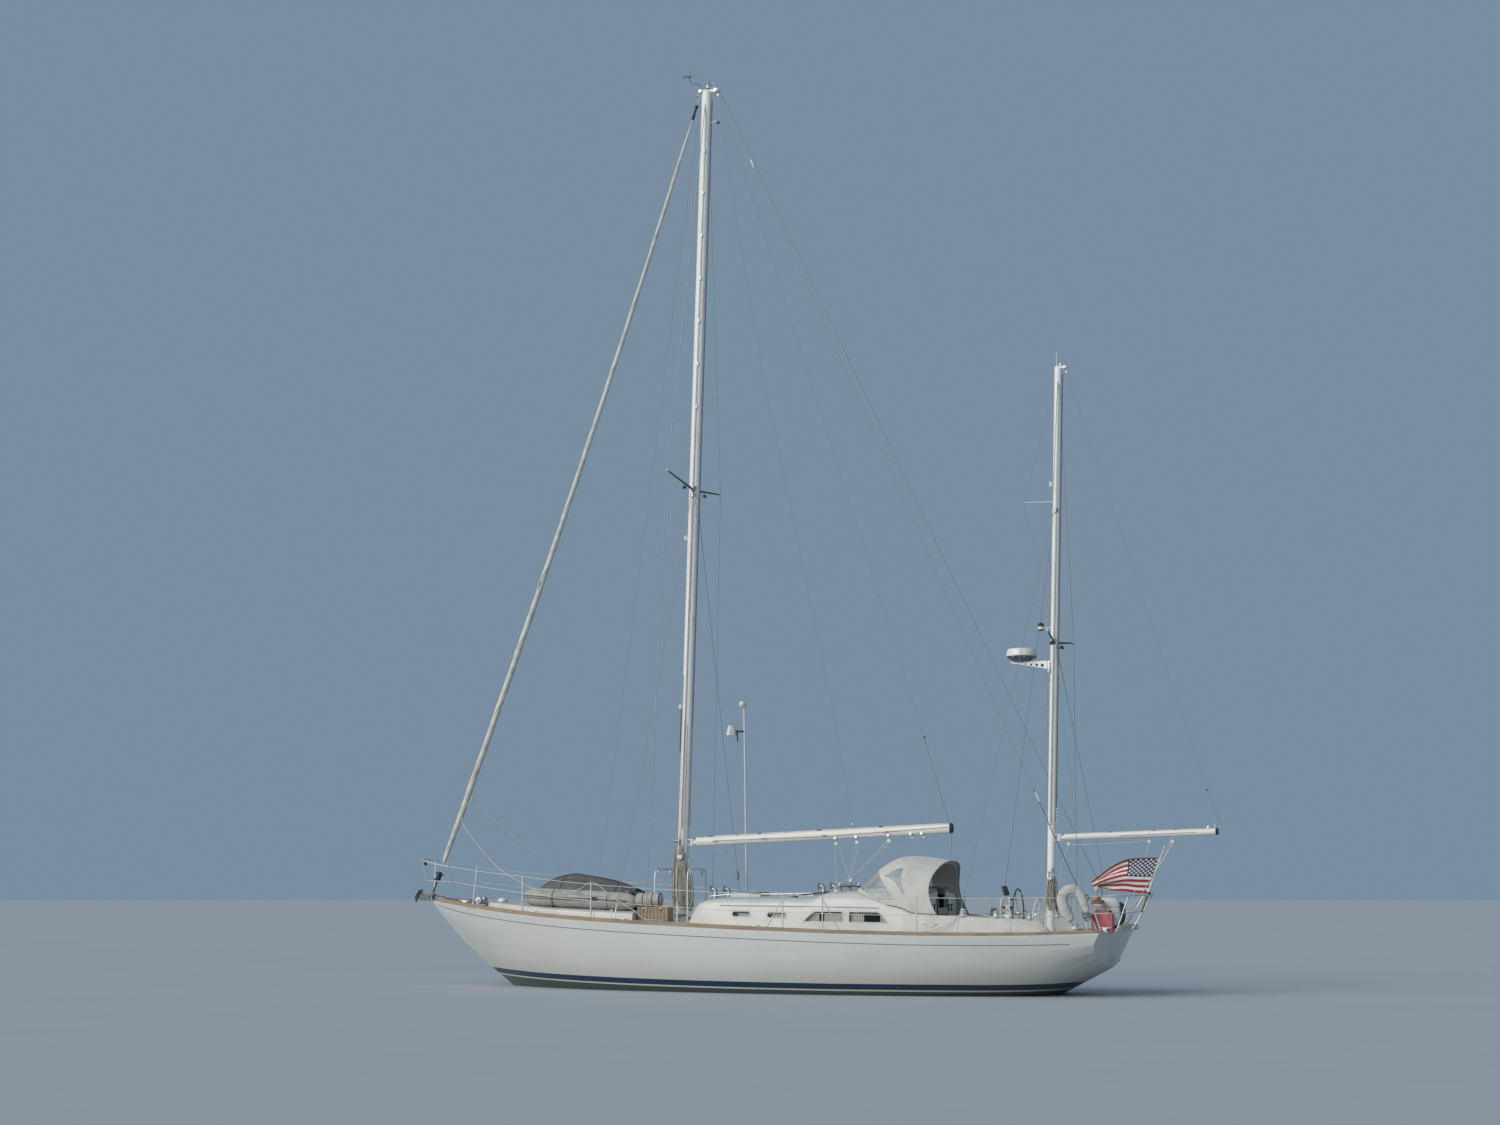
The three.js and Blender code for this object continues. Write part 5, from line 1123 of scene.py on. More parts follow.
def flag():
    form = bmesh.new()
    gridSheet(form, 80, ensign["stripes"] * 5, onEnsign)
    uv = form.loops.layers.uv.active
    for face in form.faces:
        u = sum(loop[uv].uv.x for loop in face.loops) / len(face.loops)
        v = sum(loop[uv].uv.y for loop in face.loops) / len(face.loops)
        stripe = int(v * ensign["stripes"])
        inUnion = 0.0125 < u < ensign["unionLong"] and stripe < ensign["unionHigh"]
        face.material_index = 2 if inUnion else (1 if stripe % 2 or u < 0.0125 else 0)
    turnOut(form)
    bmesh.ops.solidify(form, geom=form.faces, thickness=ensign["thick"])
    cloth = addPiece("ensign_cloth", form, ["flagRed", "flagWhite", "flagBlue"], sharp=70.0, hides=["ensign"])
    stars = bmesh.new()
    for row in range(9):
        for column in range(6 if row % 2 == 0 else 5):
            u = ensign["unionLong"] * (column * 2 + (1 if row % 2 == 0 else 2)) / 12
            v = ensign["unionHigh"] / ensign["stripes"] * (row + 1) / 10
            for side in (-1, 1):
                starShape(stars, ensign["star"], u, v, side)
    turnOut(stars)
    spangles = addPiece("ensign_stars", stars, ["flagWhite"])
    ties = bmesh.new()
    for v in (0.02, 0.5, 0.98):
        z = onEnsign(0, v).z
        way = (0.425, 0, 1.112)
        hoop(ties, (staffX(z), 0, z), 0, 0.017, 0.003, way)
    lines(ties, [[(staffX(z) + 0.0175, 0.004, z) for z in (1.6, 1.9, 2.2, 2.5)],
        [(staffX(z) - 0.019, 0.0, z) for z in (1.6, 1.75, 2.38, 2.5)]], 0.0025, 0)
    lathe(ties, (staffX(2.545), 0, 2.545), 1, [(0.013, 0), (0.022, 0.012), (0.022, 0.02), (0.012, 0.03),
        (0, 0.032)], (0.425, 0, 1.112))
    box(ties, (staffX(1.6) + 0.02, 0, 1.6), 1, (0.012, 0.07, 0.012), 0.003, (1, 0, 0))
    gear = addPiece("ensign_ties", ties, ["rope", "whitePlastic"])


flag()
report("ensign")

# Gear at the stern: buoy in its cover, fuel can, outboard motor under a cover, and a light on the rail
stern = {
    # middle line of the buoy from its place (x, z) and its radius
    "buoy": [(-0.03, -0.3, 0.07), (-0.13, -0.16, 0.083), (-0.2, 0.01, 0.088), (-0.205, 0.14, 0.085),
        (-0.15, 0.245, 0.08), (-0.04, 0.285, 0.078), (0.06, 0.262, 0.075), (0.135, 0.165, 0.07),
        (0.19, 0.02, 0.062), (0.25, -0.15, 0.052)],
    "buoyAt": (5.82, -1.306, 1.565),
    "can": [(6.06, 1.1), (6.42, 1.1), (6.42, 1.41), (6.37, 1.43), (6.37, 1.455), (6.12, 1.47), (6.06, 1.42)],
    "motor": (6.29, -0.765, 1.445), "motorSize": (0.235, 0.128, 0.245),
}


def onBuoy(s, angle, proud=0.0):
    rows = stern["buoy"]
    at = s * (len(rows) - 1)
    x, z, radius = [along([(i, row[c]) for i, row in enumerate(rows)], at) for c in range(3)]
    ahead = [along([(i, row[c]) for i, row in enumerate(rows)], at + 0.05) for c in range(2)]
    behind = [along([(i, row[c]) for i, row in enumerate(rows)], at - 0.05) for c in range(2)]
    way = Vector((ahead[0] - behind[0], 0, ahead[1] - behind[1])).normalized()
    outward = Vector((-way.z, 0, way.x))
    reach = radius * sin(pi * min(max(min(s, 1 - s) * 14, 0.02), 0.5)) ** 0.6 + proud
    spot = Vector((x * 0.92, 0, z * 0.92)) + outward * reach * cos(angle) + Vector((0, reach * sin(angle),
        0)) * 0.6
    return Matrix.Translation(stern["buoyAt"]) @ Matrix.Rotation(radians(10), 4, "Z") @ spot


def buoy():
    form = bmesh.new()
    gridSheet(form, 26, 80, lambda u,
        v: onBuoy(v, 2 * pi * u, 0.003 * noise.noise(Vector((u * 9, v * 40, 2)))))
    closeUp(form)
    for angle in (0.0, pi):
        wire(form, [onBuoy(0.02 + 0.96 * i / 60, angle, 0.001) for i in range(61)], 0.003, 1)
    for s in (0.1, 0.36, 0.62, 0.9):
        lines(form, [[onBuoy(s + offset, 2 * pi * i / 24, 0.001) for i in range(25)] for offset in (-0.012,
            0.0, 0.012)], 0.005, 1)
    bent(form, [onBuoy(0.62, 1.2, 0.01), (5.87, -1.24, 1.71), (5.9, -1.26, 1.5), onBuoy(0.9, 1.2, 0.01)],
        0.005, 2)
    addPiece("buoy_cover", form, ["buoyCover", "canvasTrim", "greyRope"], hides=["horseshoe_buoy"])


def fuelCan():
    form = bmesh.new()
    small = bmesh.new()
    roundedPlate(small, stern["can"], 0.022, 0.15)
    bmesh.ops.bevel(small, geom=[e for e in small.edges if e.calc_face_angle(0) > 1], offset=0.014,
        segments=3, profile=0.5, affect="EDGES", material=-1)
    bmesh.ops.translate(small, verts=small.verts, vec=(0, -1.04, 0))
    turnOut(small)
    joinTo(form, small, 0)
    for x, width in ((6.14, 0.012), (6.34, 0.012)):
        box(form, (x, -0.965, 1.27), 0, (width, 0.158, 0.26), 0.005)
    box(form, (6.24, -1.04, 1.25), 0, (0.12, 0.008, 0.16), 0.003)
    box(form, (6.2, -0.965, 1.487), 1, (0.15, 0.034, 0.026), 0.01, steps=3)
    for x in (6.14, 6.26):
        box(form, (x, -0.965, 1.468), 1, (0.022, 0.034, 0.04), 0.006)
    lathe(form, (6.37, -0.965, 1.44), 2, [(0.028, 0), (0.03, 0.006), (0.03, 0.024), (0.026, 0.03)],
        (0.25, 0, 1), sides=24)
    addPiece("jerry_can", form, ["redPlastic", "palePlastic", "blackPlastic"], hides=["fuel_can"])


def outboard():
    form = bmesh.new()
    x, y, z = stern["motor"]
    ball(form, (x, y, z), 0, stern["motorSize"], 0.62)
    ball(form, (x + 0.198, y, z - 0.03), 1, (0.055, 0.112, 0.2), 0.8, (0.06, 0, 1))
    for high in (0.075, 0.09):
        angles = [2 * pi * i / 40 for i in range(41)]
        wire(form, [(x + 0.236 * signedPower(cos(a), 0.62), y + 0.129 * signedPower(sin(a), 0.62), z + high)
            for a in angles], 0.002, 2)
    rod(form, (6.405, y, 1.24), (6.405, y, 1.17), 0.05, 1, tip=0.042, sides=20)
    box(form, (6.405, y, 1.165), 3, (0.16, 0.03, 0.03), 0.012, steps=3)
    box(form, (6.215, -0.98, 1.625), 3, (0.07, 0.38, 0.05), 0.008)
    box(form, (6.19, -1.1825, 1.645), 4, (0.15, 0.035, 0.13), 0.006)
    for high in (1.6, 1.69):
        rod(form, (6.21, -1.2, high), (6.21, -1.235, high), 0.007, 3)
        box(form, (6.21, -1.24, high), 3, (0.05, 0.012, 0.01), 0.003, (0, -1, 0))
    rod(form, (6.2, -1.2, 1.72), (6.2, -1.2, 1.79), 0.008, 3)
    lathe(form, (6.2, -1.2, 1.785), 5, [(0, 0), (0.026, 0.004), (0.046, 0.03), (0.048, 0.06), (0.036, 0.088),
        (0, 0.095)], sides=24)
    bent(form, [(6.28, -1.2, 1.72), (6.285, -1.21, 1.84), (6.3, -1.2, 1.9), (6.34, -1.18, 1.9)], 0.007, 6)
    addPiece("outboard", form, ["whitePlastic", "greenCloth", "greyRope", "galvanised", "varnish",
        "buoyCover", "bronze"], sharp=40.0, hides=["outboard_motor"])


buoy()
fuelCan()
outboard()
report("stern gear")

# Radar dome: shallow pan below a flanged joint, drum above; its tray hangs on the bracket
radar = {
    "x": 4.695, "base": 5.87,
    "upper": [(0, 0.24), (0.15, 0.24), (0.215, 0.236), (0.244, 0.224), (0.262, 0.198), (0.272, 0.15),
        (0.278, 0.112)],
    "flange": [(0.278, 0.112), (0.274, 0.11), (0.274, 0.106), (0.28, 0.104), (0.28, 0.094), (0.272, 0.09)],
    "lower": [(0.272, 0.09), (0.24, 0.06), (0.165, 0.02), (0.15, 0.012), (0.14, 0.0), (0, 0.0)],
}


def radarDome():
    form = bmesh.new()
    whole = radar["upper"] + radar["flange"][1:] + radar["lower"][1:]
    small = bmesh.new()
    turned(small, whole, 56)
    for face in small.faces:
        face.material_index = 1 if face.calc_center_median().z < 0.092 else 0
    small.transform(Matrix.Translation((radar["x"], 0, radar["base"])))
    joinTo(form, small)
    for i in range(8):
        angle = pi * (i + 0.5) / 4
        spot = (radar["x"] + 0.262 * cos(angle), 0.262 * sin(angle), radar["base"] + 0.083)
        rod(form, spot, Vector(spot) + lifted(-0.018), 0.009, 2, sides=6)
    addPiece("radar", form, ["radarPlastic", "radarBelow", "stainless"], sharp=32.0, hides=["radar_dome"])
    detail = bmesh.new()
    top = radar["base"] - 0.004
    for sign in (-1, 1):
        for i in range(4):
            x = 4.78 + 0.1 * i
            spot = Vector((x, sign * 0.0495, top - 0.02 - 0.17 * (x - 4.505) / 0.895 / 2))
            peg(detail, spot, 1, 0.013 + 0.005 * i, 0.0015, (0, sign, 0), sides=20)
        box(detail, (5.2, sign * 0.06, top - 0.11), 0, (0.05, 0.016, 0.2), 0.003)
        for high in (-0.04, -0.18):
            rod(detail, (5.2, sign * 0.066, top + high), (5.2, sign * 0.076, top + high), 0.009, 0, sides=6)
    bent(detail, [(4.8, 0.02, top - 0.01), (4.95, 0.02, top - 0.05), (5.12, 0.03, top - 0.08),
        onMast(mizzenMast, 5.7, 0.075, 0.02), onMast(mizzenMast, 5.5, 0.078, 0.02)], 0.009, 1)
    # lamp under the tray, before the mast
    lathe(detail, (5.06, 0, 6.42), 1, [(0.05, 0), (0.055, 0.02), (0.055, 0.11), (0.03, 0.14)], sides=24)
    lathe(detail, (5.06, 0, 6.44), 2, [(0, -0.002), (0.057, 0), (0.057, 0.05), (0, 0.052)], sides=24)
    rod(detail, (5.06, 0, 6.47), onMast(mizzenMast, 6.47, 0.05), 0.012, 0)
    addPiece("radar_fittings", detail, ["stainless", "blackPlastic", "whitePlastic"])


radarDome()
report("radar")

# Rails as bent tube: pulpit, pushpit, stanchions with sleeved wires, mast hoops
rail = {"tube": 0.013, "thin": 0.01, "wire": 0.0035, "sleeve": 0.0055, "base": 0.04}
pulpitTop = [(-6.45, 0.62, 2.255), (-6.9, 0.42, 2.32), (-7.18, 0.27, 2.375), (-7.262, 0.13, 2.394),
    (-7.275, 0.0, 2.396)]
stanchionSet = [(-4.6, 2.07), (-3.04, 1.925), (0.75, 1.742), (1.48, 1.722), (3.15, 1.7), (4.74, 1.69)]


def railOff(x):
    return halfBeam(x) - 0.085


def mirroredRoute(half):
    return [(x, -y, z) for x, y, z in half] + [spot for spot in half[::-1] if spot[1] > 0.0001]


def footPlate(form, x, y):
    spot = (x, y, deckHeight(x, y) - 0.002)
    lathe(form, spot, 0, [(rail["base"], 0), (rail["base"], 0.006), (0.026, 0.008), (0.017, 0.012),
        (0.017, 0.05)])
    for i in range(3):
        angle = 2 * pi * i / 3 + 0.5
        at = Vector(spot) + Vector((0.032 * cos(angle), 0.032 * sin(angle), 0.006))
        peg(form, at, 0, 0.005, 0.002, sides=10)


def pulpitRail():
    form = bmesh.new()
    bent(form, mirroredRoute(pulpitTop), rail["tube"], 0, sides=3)
    for sign in (-1, 1):
        lines(form, [[(-6.39, sign * 0.34, deckHeight(-6.39, 0.34)), (-6.45, sign * 0.62, 2.255)],
            [(-7.085, sign * 0.048, 1.62), (-7.18, sign * 0.27, 2.375)]], rail["tube"], 0, sides=3)
        wire(form, [(-6.423, sign * 0.495, 1.96), (-7.13, sign * 0.152, 1.985)], rail["thin"], 0, sides=3)
        footPlate(form, -6.39, sign * 0.34)
        for spot in ((-6.45, sign * 0.62, 2.255), (-7.18, sign * 0.27, 2.375)):
            ball(form, spot, 0, (0.017, 0.017, 0.017), 1.0)
        peg(form, (-7.085, sign * 0.048, 1.624), 0, 0.026, 0.012, tip=0.02, sides=20)
    # lantern under the rail's nose
    rod(form, (-7.27, 0, 2.388), (-7.27, 0, 2.34), 0.006, 0)
    lathe(form, (-7.27, 0, 2.28), 1, [(0.03, 0), (0.036, 0.012), (0.036, 0.055), (0.026, 0.068), (0, 0.07)])
    addPiece("bow_rail", form, ["stainless", "blackPlastic"], hides=["pulpit"])


def pushpitRail():
    def half(x):
        return halfBeam(x) - 0.095

    top = [(5.76, half(5.76), 1.7), (6.05, half(6.05) + 0.006, 1.707), (6.3, half(6.3) + 0.02, 1.712),
        (6.56, 1.09, 1.718), (6.7, 0.92, 1.722), (6.845, 0.6, 1.728), (6.872, 0.3, 1.728), (6.878, 0, 1.728)]
    middle = [(x - 0.2 * max(0, (x - 6.2) / 0.7), y, z - 0.29) for x, y, z in top]
    form = bmesh.new()
    bent(form, mirroredRoute(top), rail["tube"], 0, sides=3)
    bent(form, mirroredRoute(middle), rail["thin"], 0, sides=3)
    for sign in (-1, 1):
        legs = [((5.76, half(5.76)), (5.76, half(5.76), 1.7)),
            ((6.25, half(6.25)), (6.06, half(6.06), 1.707)), ((6.47, 0.96), (6.69, 0.935, 1.722)),
            ((6.5, 0.42), (6.862, 0.42, 1.728))]
        for (x, y), (topX, topY, topZ) in legs:
            wire(form, [(x, sign * y, deckHeight(x, y)), (topX, sign * topY, topZ)], rail["tube"], 0, sides=3)
            footPlate(form, x, sign * y)
            ball(form, (topX, sign * topY, topZ), 0, (0.017, 0.017, 0.017), 1.0)
    box(form, (6.7175, 0, 1.427), 0, (0.095, 0.04, 0.014), 0.003)
    hoop(form, (6.852, 0, 1.728), 0, 0.0175, 0.004, (0.425, 0, 1.112), sides=20)
    addPiece("stern_rail", form, ["stainless"], hides=["pushpit"])


def guardRails():
    for side, sign in bothSides:
        form = bmesh.new()
        for x, top in stanchionSet:
            y = sign * railOff(x)
            footPlate(form, x, y)
            wire(form, [(x, y, deckHeight(x, y)), (x, y, top)], rail["tube"], 0, sides=3)
            ball(form, (x, y, top - 0.004), 0, (0.0145, 0.0145, 0.012), 0.9)
            for drop in (0.012, 0.312):
                peg(form, (x - 0.018, y, top - drop), 0, 0.008, 0.036, (1, 0, 0))
        for x, away in ((0.75, -0.33), (1.48, 0.33)):
            low = Vector((x + away, sign * (railOff(x + away) - 0.02),
                deckHeight(x + away, railOff(x + away))))
            bend = Vector((x + away * 0.09, sign * (railOff(x) - 0.002), 1.615))
            wire(form, [low, bend, (x, sign * railOff(x), 1.65)], 0.0095, 0)
            footPlate(form, low.x, low.y)
        for drop in (0.0, 0.3):
            spots = [Vector((-6.43 if not drop else -6.42, sign * (0.605 if not drop else 0.49),
                2.25 - drop * 0.95))]
            spots += [Vector((x, sign * railOff(x), top - 0.012 - drop)) for x, top in stanchionSet]
            spots += [Vector((5.74, sign * railOff(5.74), 1.688 - drop))]
            sagged = []
            for a, b in zip(spots, spots[1:]):
                sagged += slack(a, b, 0.006 * (b - a).length, 7)[:-1]
            wire(form, sagged + spots[-1:], rail["wire"], 1)
            for a, b in zip(sagged, sagged[1:]):
                run = b - a
                wire(form, [a + run * 0.02, b - run * 0.02], rail["sleeve"], 2, sides=1)
            for end, back in ((spots[0], spots[1]), (spots[-1], spots[-2])):
                way = (back - end).normalized()
                rod(form, end + way * 0.03, end + way * 0.15, 0.008, 0)
                hoop(form, end + way * 0.015, 0, 0.012, 0.004, (0, 1, 0), sides=14)
        # pelican hook of the gate
        hook = Vector((0.75, sign * railOff(0.75), 1.73)).lerp(Vector((1.48, sign * railOff(1.48), 1.71)),
            0.16)
        peg(form, hook, 0, 0.011, 0.09, (1, 0, 0), tip=0.006)
        addPiece("guard_wires_" + side, form, ["stainless", "wireRope", "sleeve"],
            hides=["guard_rail_" + side])


def mastHoops():
    for name, x in (("forward", -2.21), ("aft", -1.56)):
        foot = deckHeight(x, 0.47)
        side = [(x, 0.47, foot), (x, 0.47, 1.6), (x, 0.47, 1.95), (x, 0.468, 2.04), (x, 0.45, 2.12),
            (x, 0.405, 2.172), (x, 0.34, 2.193), (x, 0.2, 2.195), (x, 0.0, 2.195)]
        form = bmesh.new()
        bent(form, mirroredRoute(side), 0.015, 0, sides=3)
        for y in (-0.47, 0.47):
            footPlate(form, x, y)
        for y in (-0.3, 0.28):
            box(form, (x, y, 2.155), 1, (0.03, 0.012, 0.05), 0.004)
            box(form, (x, y, 2.125), 1, (0.025, 0.02, 0.11), 0.006)
        addPiece("hoop_" + name, form, ["brightTube", "anodised"], hides=["mast_hoop_" + name])


pulpitRail()
pushpitRail()
guardRails()
mastHoops()
report("rails")

# Steering wheel: rim with a stitched cover, six spokes, and the nut at its middle
steering = {"x": 4.555, "z": 1.4, "radius": 0.43, "rim": 0.0125, "spokes": 6}


def steeringWheel():
    x, z, radius = steering["x"], steering["z"], steering["radius"]
    place = placed((x, 0, z), (1, 0, 0))

    def onRim(reach, angle, over=0.0):
        return place @ Vector((reach * cos(angle), reach * sin(angle), over))

    form = bmesh.new()
    hoop(form, place, 1, radius, steering["rim"], sides=80, barSides=12)
    for i in range(steering["spokes"]):
        angle = 2 * pi * i / steering["spokes"]
        tipAt = onRim(radius, angle)
        rod(form, onRim(0.02, angle), tipAt, 0.0085, 0, tip=0.0065)
        out = (tipAt - Vector((x, 0, z))).normalized()
        rod(form, tipAt - out * 0.045, tipAt, 0.011, 0)
    lathe(form, (x - 0.13, 0, z), 0, [(0.013, 0), (0.013, 0.1), (0.045, 0.104), (0.045, 0.15), (0.03, 0.158),
        (0.028, 0.166), (0.016, 0.168), (0.014, 0.18), (0, 0.183)], (1, 0, 0), sides=28)
    # stitches of the cover
    for i in range(140):
        angle = 2 * pi * i / 140
        spot = onRim(radius - 0.012, angle, 0.004)
        box(form, placed(spot, (1, 0, 0), angle), 2, (0.003, 0.0012, 0.006), 0.0003, steps=1)
    addPiece("wheel", form, ["stainless", "darkFabric", "greyRope"], body="helm_wheel",
        hides=["steering_wheel"])


steeringWheel()
report("wheel")

# Booms: hinge on the mast, rise toward the stern, depth and width of the section
mainBoom = {"hinge": (-1.659, 0.0, 2.694), "rise": 2.5, "length": 5.02, "deep": 0.175, "wide": 0.12}
mizzenBoom = {"hinge": (5.319, 0.0, 2.734), "rise": 1.7, "length": 2.76, "deep": 0.112, "wide": 0.084}


# A place by its distance aft of the hinge, over the boom's middle line and to starboard
def onBoom(boom, reach, over=0.0, side=0.0):
    lean = radians(boom["rise"])
    return Vector(boom["hinge"]) + Vector((reach * cos(lean) - over * sin(lean), side,
        reach * sin(lean) + over * cos(lean)))


def boomAt(boom, x, over=0.0, side=0.0):
    return onBoom(boom, (x - boom["hinge"][0]) / cos(radians(boom["rise"])), over, side)


# A place whose Z axis points along aim and whose Y axis stays across the boat
def athwart(at, aim):
    z = Vector(aim).normalized()
    x = Vector((0, 1, 0)).cross(z).normalized()
    return Matrix.Translation(at) @ Matrix((x, z.cross(x), z)).transposed().to_4x4()


# A pulley block: cheeks, sheave, strap and shackle; its eye points along aim
def pulley(form, at, aim, size, cheek=0, metal=1):
    place = athwart(at, aim)
    for side in (-0.26, 0.26):
        lathe(form, place @ Matrix.Translation((0, side * size, 0)) @ lying, cheek,
            [(0.6 * size, -0.07 * size), (0.68 * size, 0), (0.6 * size, 0.07 * size)])
    lathe(form, place @ lying, metal, [(0.56 * size, -0.17 * size), (0.47 * size, 0),
        (0.56 * size, 0.17 * size)])
    for side in (-0.35, 0.35):
        box(form, place @ Matrix.Translation((0, side * size, 0.25 * size)), metal,
            (0.2 * size, 0.05 * size, 1.1 * size), 0.015 * size, steps=1)
    box(form, place @ Matrix.Translation((0, 0, 0.78 * size)), metal, (0.24 * size, 0.74 * size, 0.1 * size),
        0.02 * size, steps=1)
    hoop(form, place @ Matrix.Translation((0, 0, 0.98 * size)) @ lying, metal, 0.19 * size, 0.055 * size)


rigging = {"shroud": 0.0045, "sheet": 0.006, "lift": 0.0045}


def offRail(x):
    return halfBeam(x) - 0.075


# Rigging screw at the foot of a wire, on its chainplate
def rigScrew(form, foot, way):
    way = Vector(way).normalized()
    foot = Vector(foot)
    box(form, foot - way * 0.02, 0, (0.03, 0.007, 0.13), 0.002, way, steps=1)
    for low, high, radius, sides in ((0.03, 0.085, 0.0075, 10), (0.08, 0.25, 0.011, 8),
            (0.25, 0.36, 0.007, 10)):
        rod(form, foot + way * low, foot + way * high, radius, sides=sides)


def lowerShrouds():
    form = bmesh.new()
    for sign in (-1, 1):
        sets = [(onMast(mainMast, 9.25, 0.04, sign * 0.06), -2.55),
            (onMast(mainMast, 9.25, -0.04, sign * 0.06), -1.27),
            (onMast(mizzenMast, 6.15, -0.03, sign * 0.045), 6.02),
            (onMast(mizzenMast, 8.55, 0.04, sign * 0.04), 3.81)]
        for top, x in sets:
            y = offRail(x)
            foot = Vector((x, sign * y, deckHeight(x, y) + 0.005))
            wire(form, [foot + (top - foot).normalized() * 0.25, top], rigging["shroud"], 1)
            rigScrew(form, foot, top - foot)
            peg(form, top, 0, 0.011, 0.05, foot - top, tip=0.008)
            box(form, top + lifted(0.015), 0, (0.05, 0.03, 0.09), 0.004)
    # rigging screws on the wires that the masts' heads carry
    for x, y, tip in ((-1.9, 1.665, (-1.69, 1.395, 9.54)), (5.33, 1.34, (5.42, 1.11, 6.3)),
            (6.18, 1.12, (-1.1, 0.0, 17.3))):
        for sign in (-1, 1):
            foot = Vector((x, sign * y, deckHeight(x, y) + 0.01))
            rigScrew(form, foot, Vector((tip[0], sign * tip[1], tip[2])) - foot)
    # insulators in the port backstay, and its radio lead
    low, high = Vector((6.18, -1.12, 1.15)), Vector((-1.141, -0.012, 17.34))
    for share in (0.14, 0.9):
        spot = low.lerp(high, share)
        way = (high - low).normalized()
        rod(form, spot - way * 0.05, spot + way * 0.05, 0.017, 2, sides=12)
        rod(form, spot - way * 0.09, spot - way * 0.05, 0.012, 0)
        rod(form, spot + way * 0.05, spot + way * 0.09, 0.012, 0)
    wire(form, slack(low.lerp(high, 0.15), low.lerp(high, 0.01), 0.03), 0.0035, 3)
    # jumper strut and stay high on the mizzen, forward
    strut = onMast(mizzenMast, 8.75, 0.6)
    rod(form, onMast(mizzenMast, 8.75, 0.06), strut, 0.01, 0, tip=0.007)
    wire(form, [onMast(mizzenMast, 10.9, 0.06), strut, onMast(mizzenMast, 6.6, 0.06)], 0.003, 1)
    addPiece("lower_shrouds", form, ["stainless", "wireRope", "whitePlastic", "blackPlastic"])


def spreaderGear():
    form = bmesh.new()
    for mast, z, half, lift, sweep in ((mainMast, 9.39, 1.38, 0.15, 0.0), (mizzenMast, 6.19, 1.1, 0.11,
            0.12)):
        for sign in (-1, 1):
            root = onMast(mast, z, 0, sign * mast["across"] / 2)
            tip = onMast(mast, z + lift, -sweep, sign * half)
            ball(form, tip, 0, (0.026, 0.026, 0.045), 0.9, tip - root)
            box(form, root, 1, (0.07, 0.07, 0.05), 0.006, tip - root)
            rod(form, root, root.lerp(tip, 0.07), 0.03, 1, sides=16)
            at = root.lerp(tip, 0.34)
            rod(form, at, at - lifted(0.05), 0.006, 1)
            lathe(form, at - lifted(0.05), 2, [(0.022, 0), (0.036, 0.02), (0.044, 0.06), (0.04, 0.062),
                (0, 0.052)], (0, 0.15 * sign, -1))
            lathe(form, at - lifted(0.105), 3, [(0.04, 0), (0.034, 0.01), (0, 0.014)], (0, 0.15 * sign, -1))
    addPiece("spreader_gear", form, ["whitePlastic", "anodised", "blackPlastic", "clearLens"], sharp=40.0)


# Runs of track with slides, halyards, steps, lights and collars on the masts
def mastGear():
    form = bmesh.new()
    for mast, low, high, thick in ((mainMast, 3.0, 17.15, 0.012), (mizzenMast, 3.0, 11.1, 0.009)):
        back = -mast["foreAft"] / 2
        # behind each track runs a thin black line: painted shade for the dark groove of the sail track
        for offset, radius, look in ((-0.003, thick, 1), (-0.013, thick * 0.55, 2)):
            wire(form, [onMast(mast, low, back + offset), onMast(mast, high, back + offset)], radius, look,
                sides=1)
        for i in range(5):
            z = low + 0.02 + 0.055 * i
            box(form, onMast(mast, z, back - 0.022), 3, (0.016, 0.03, 0.038), 0.004)
        for side in (-1, 1):
            for turn in range(2):
                wire(form, [onMast(mast, 2.95, 0.02 * turn, side * (mast["across"] / 2 + 0.012)),
                    onMast(mast, high - 0.2, 0.02 * turn - 0.03, side * (mast["across"] / 2 - 0.005))],
                    0.0045, 4 if turn else 5)
    for mast, z in ((mainMast, 5.24), (mainMast, 8.47), (mizzenMast, 9.07)):
        fore = mast["foreAft"] / 2
        spot = onMast(mast, z, fore + 0.035)
        lathe(form, spot, 3, [(0.03, -0.045), (0.036, -0.03), (0.036, 0.0)])
        lathe(form, spot, 0, [(0.032, 0.0), (0.032, 0.035), (0.02, 0.048), (0, 0.05)])
        box(form, onMast(mast, z - 0.02, fore + 0.01), 3, (0.05, 0.05, 0.03), 0.004)
    # collars where the shrouds and spreaders meet the masts
    for mast, z in ((mainMast, 9.25), (mainMast, 9.39), (mizzenMast, 6.19), (mizzenMast, 8.55)):
        place = placed(onMast(mast, z), onMast(mast, z + 1) - onMast(mast, z))
        shape = Matrix.Diagonal((mast["foreAft"] / 2 + 0.003, mast["across"] / 2 + 0.003, 1, 1))
        peg(form, place @ shape, 1, 1.0, 0.07, sides=36)
    # steps fold out of the mast on both sides
    for i in range(7):
        for side in (-1, 1):
            z = 11.0 + 0.85 * i + 0.42 * (side > 0)
            box(form, onMast(mainMast, z, -0.02, side * 0.082), 1, (0.03, 0.016, 0.09), 0.004)
    addPiece("mast_gear", form, ["clearLens", "anodised", "blackPlastic", "whitePlastic", "rope", "greyRope"],
        sharp=40.0)


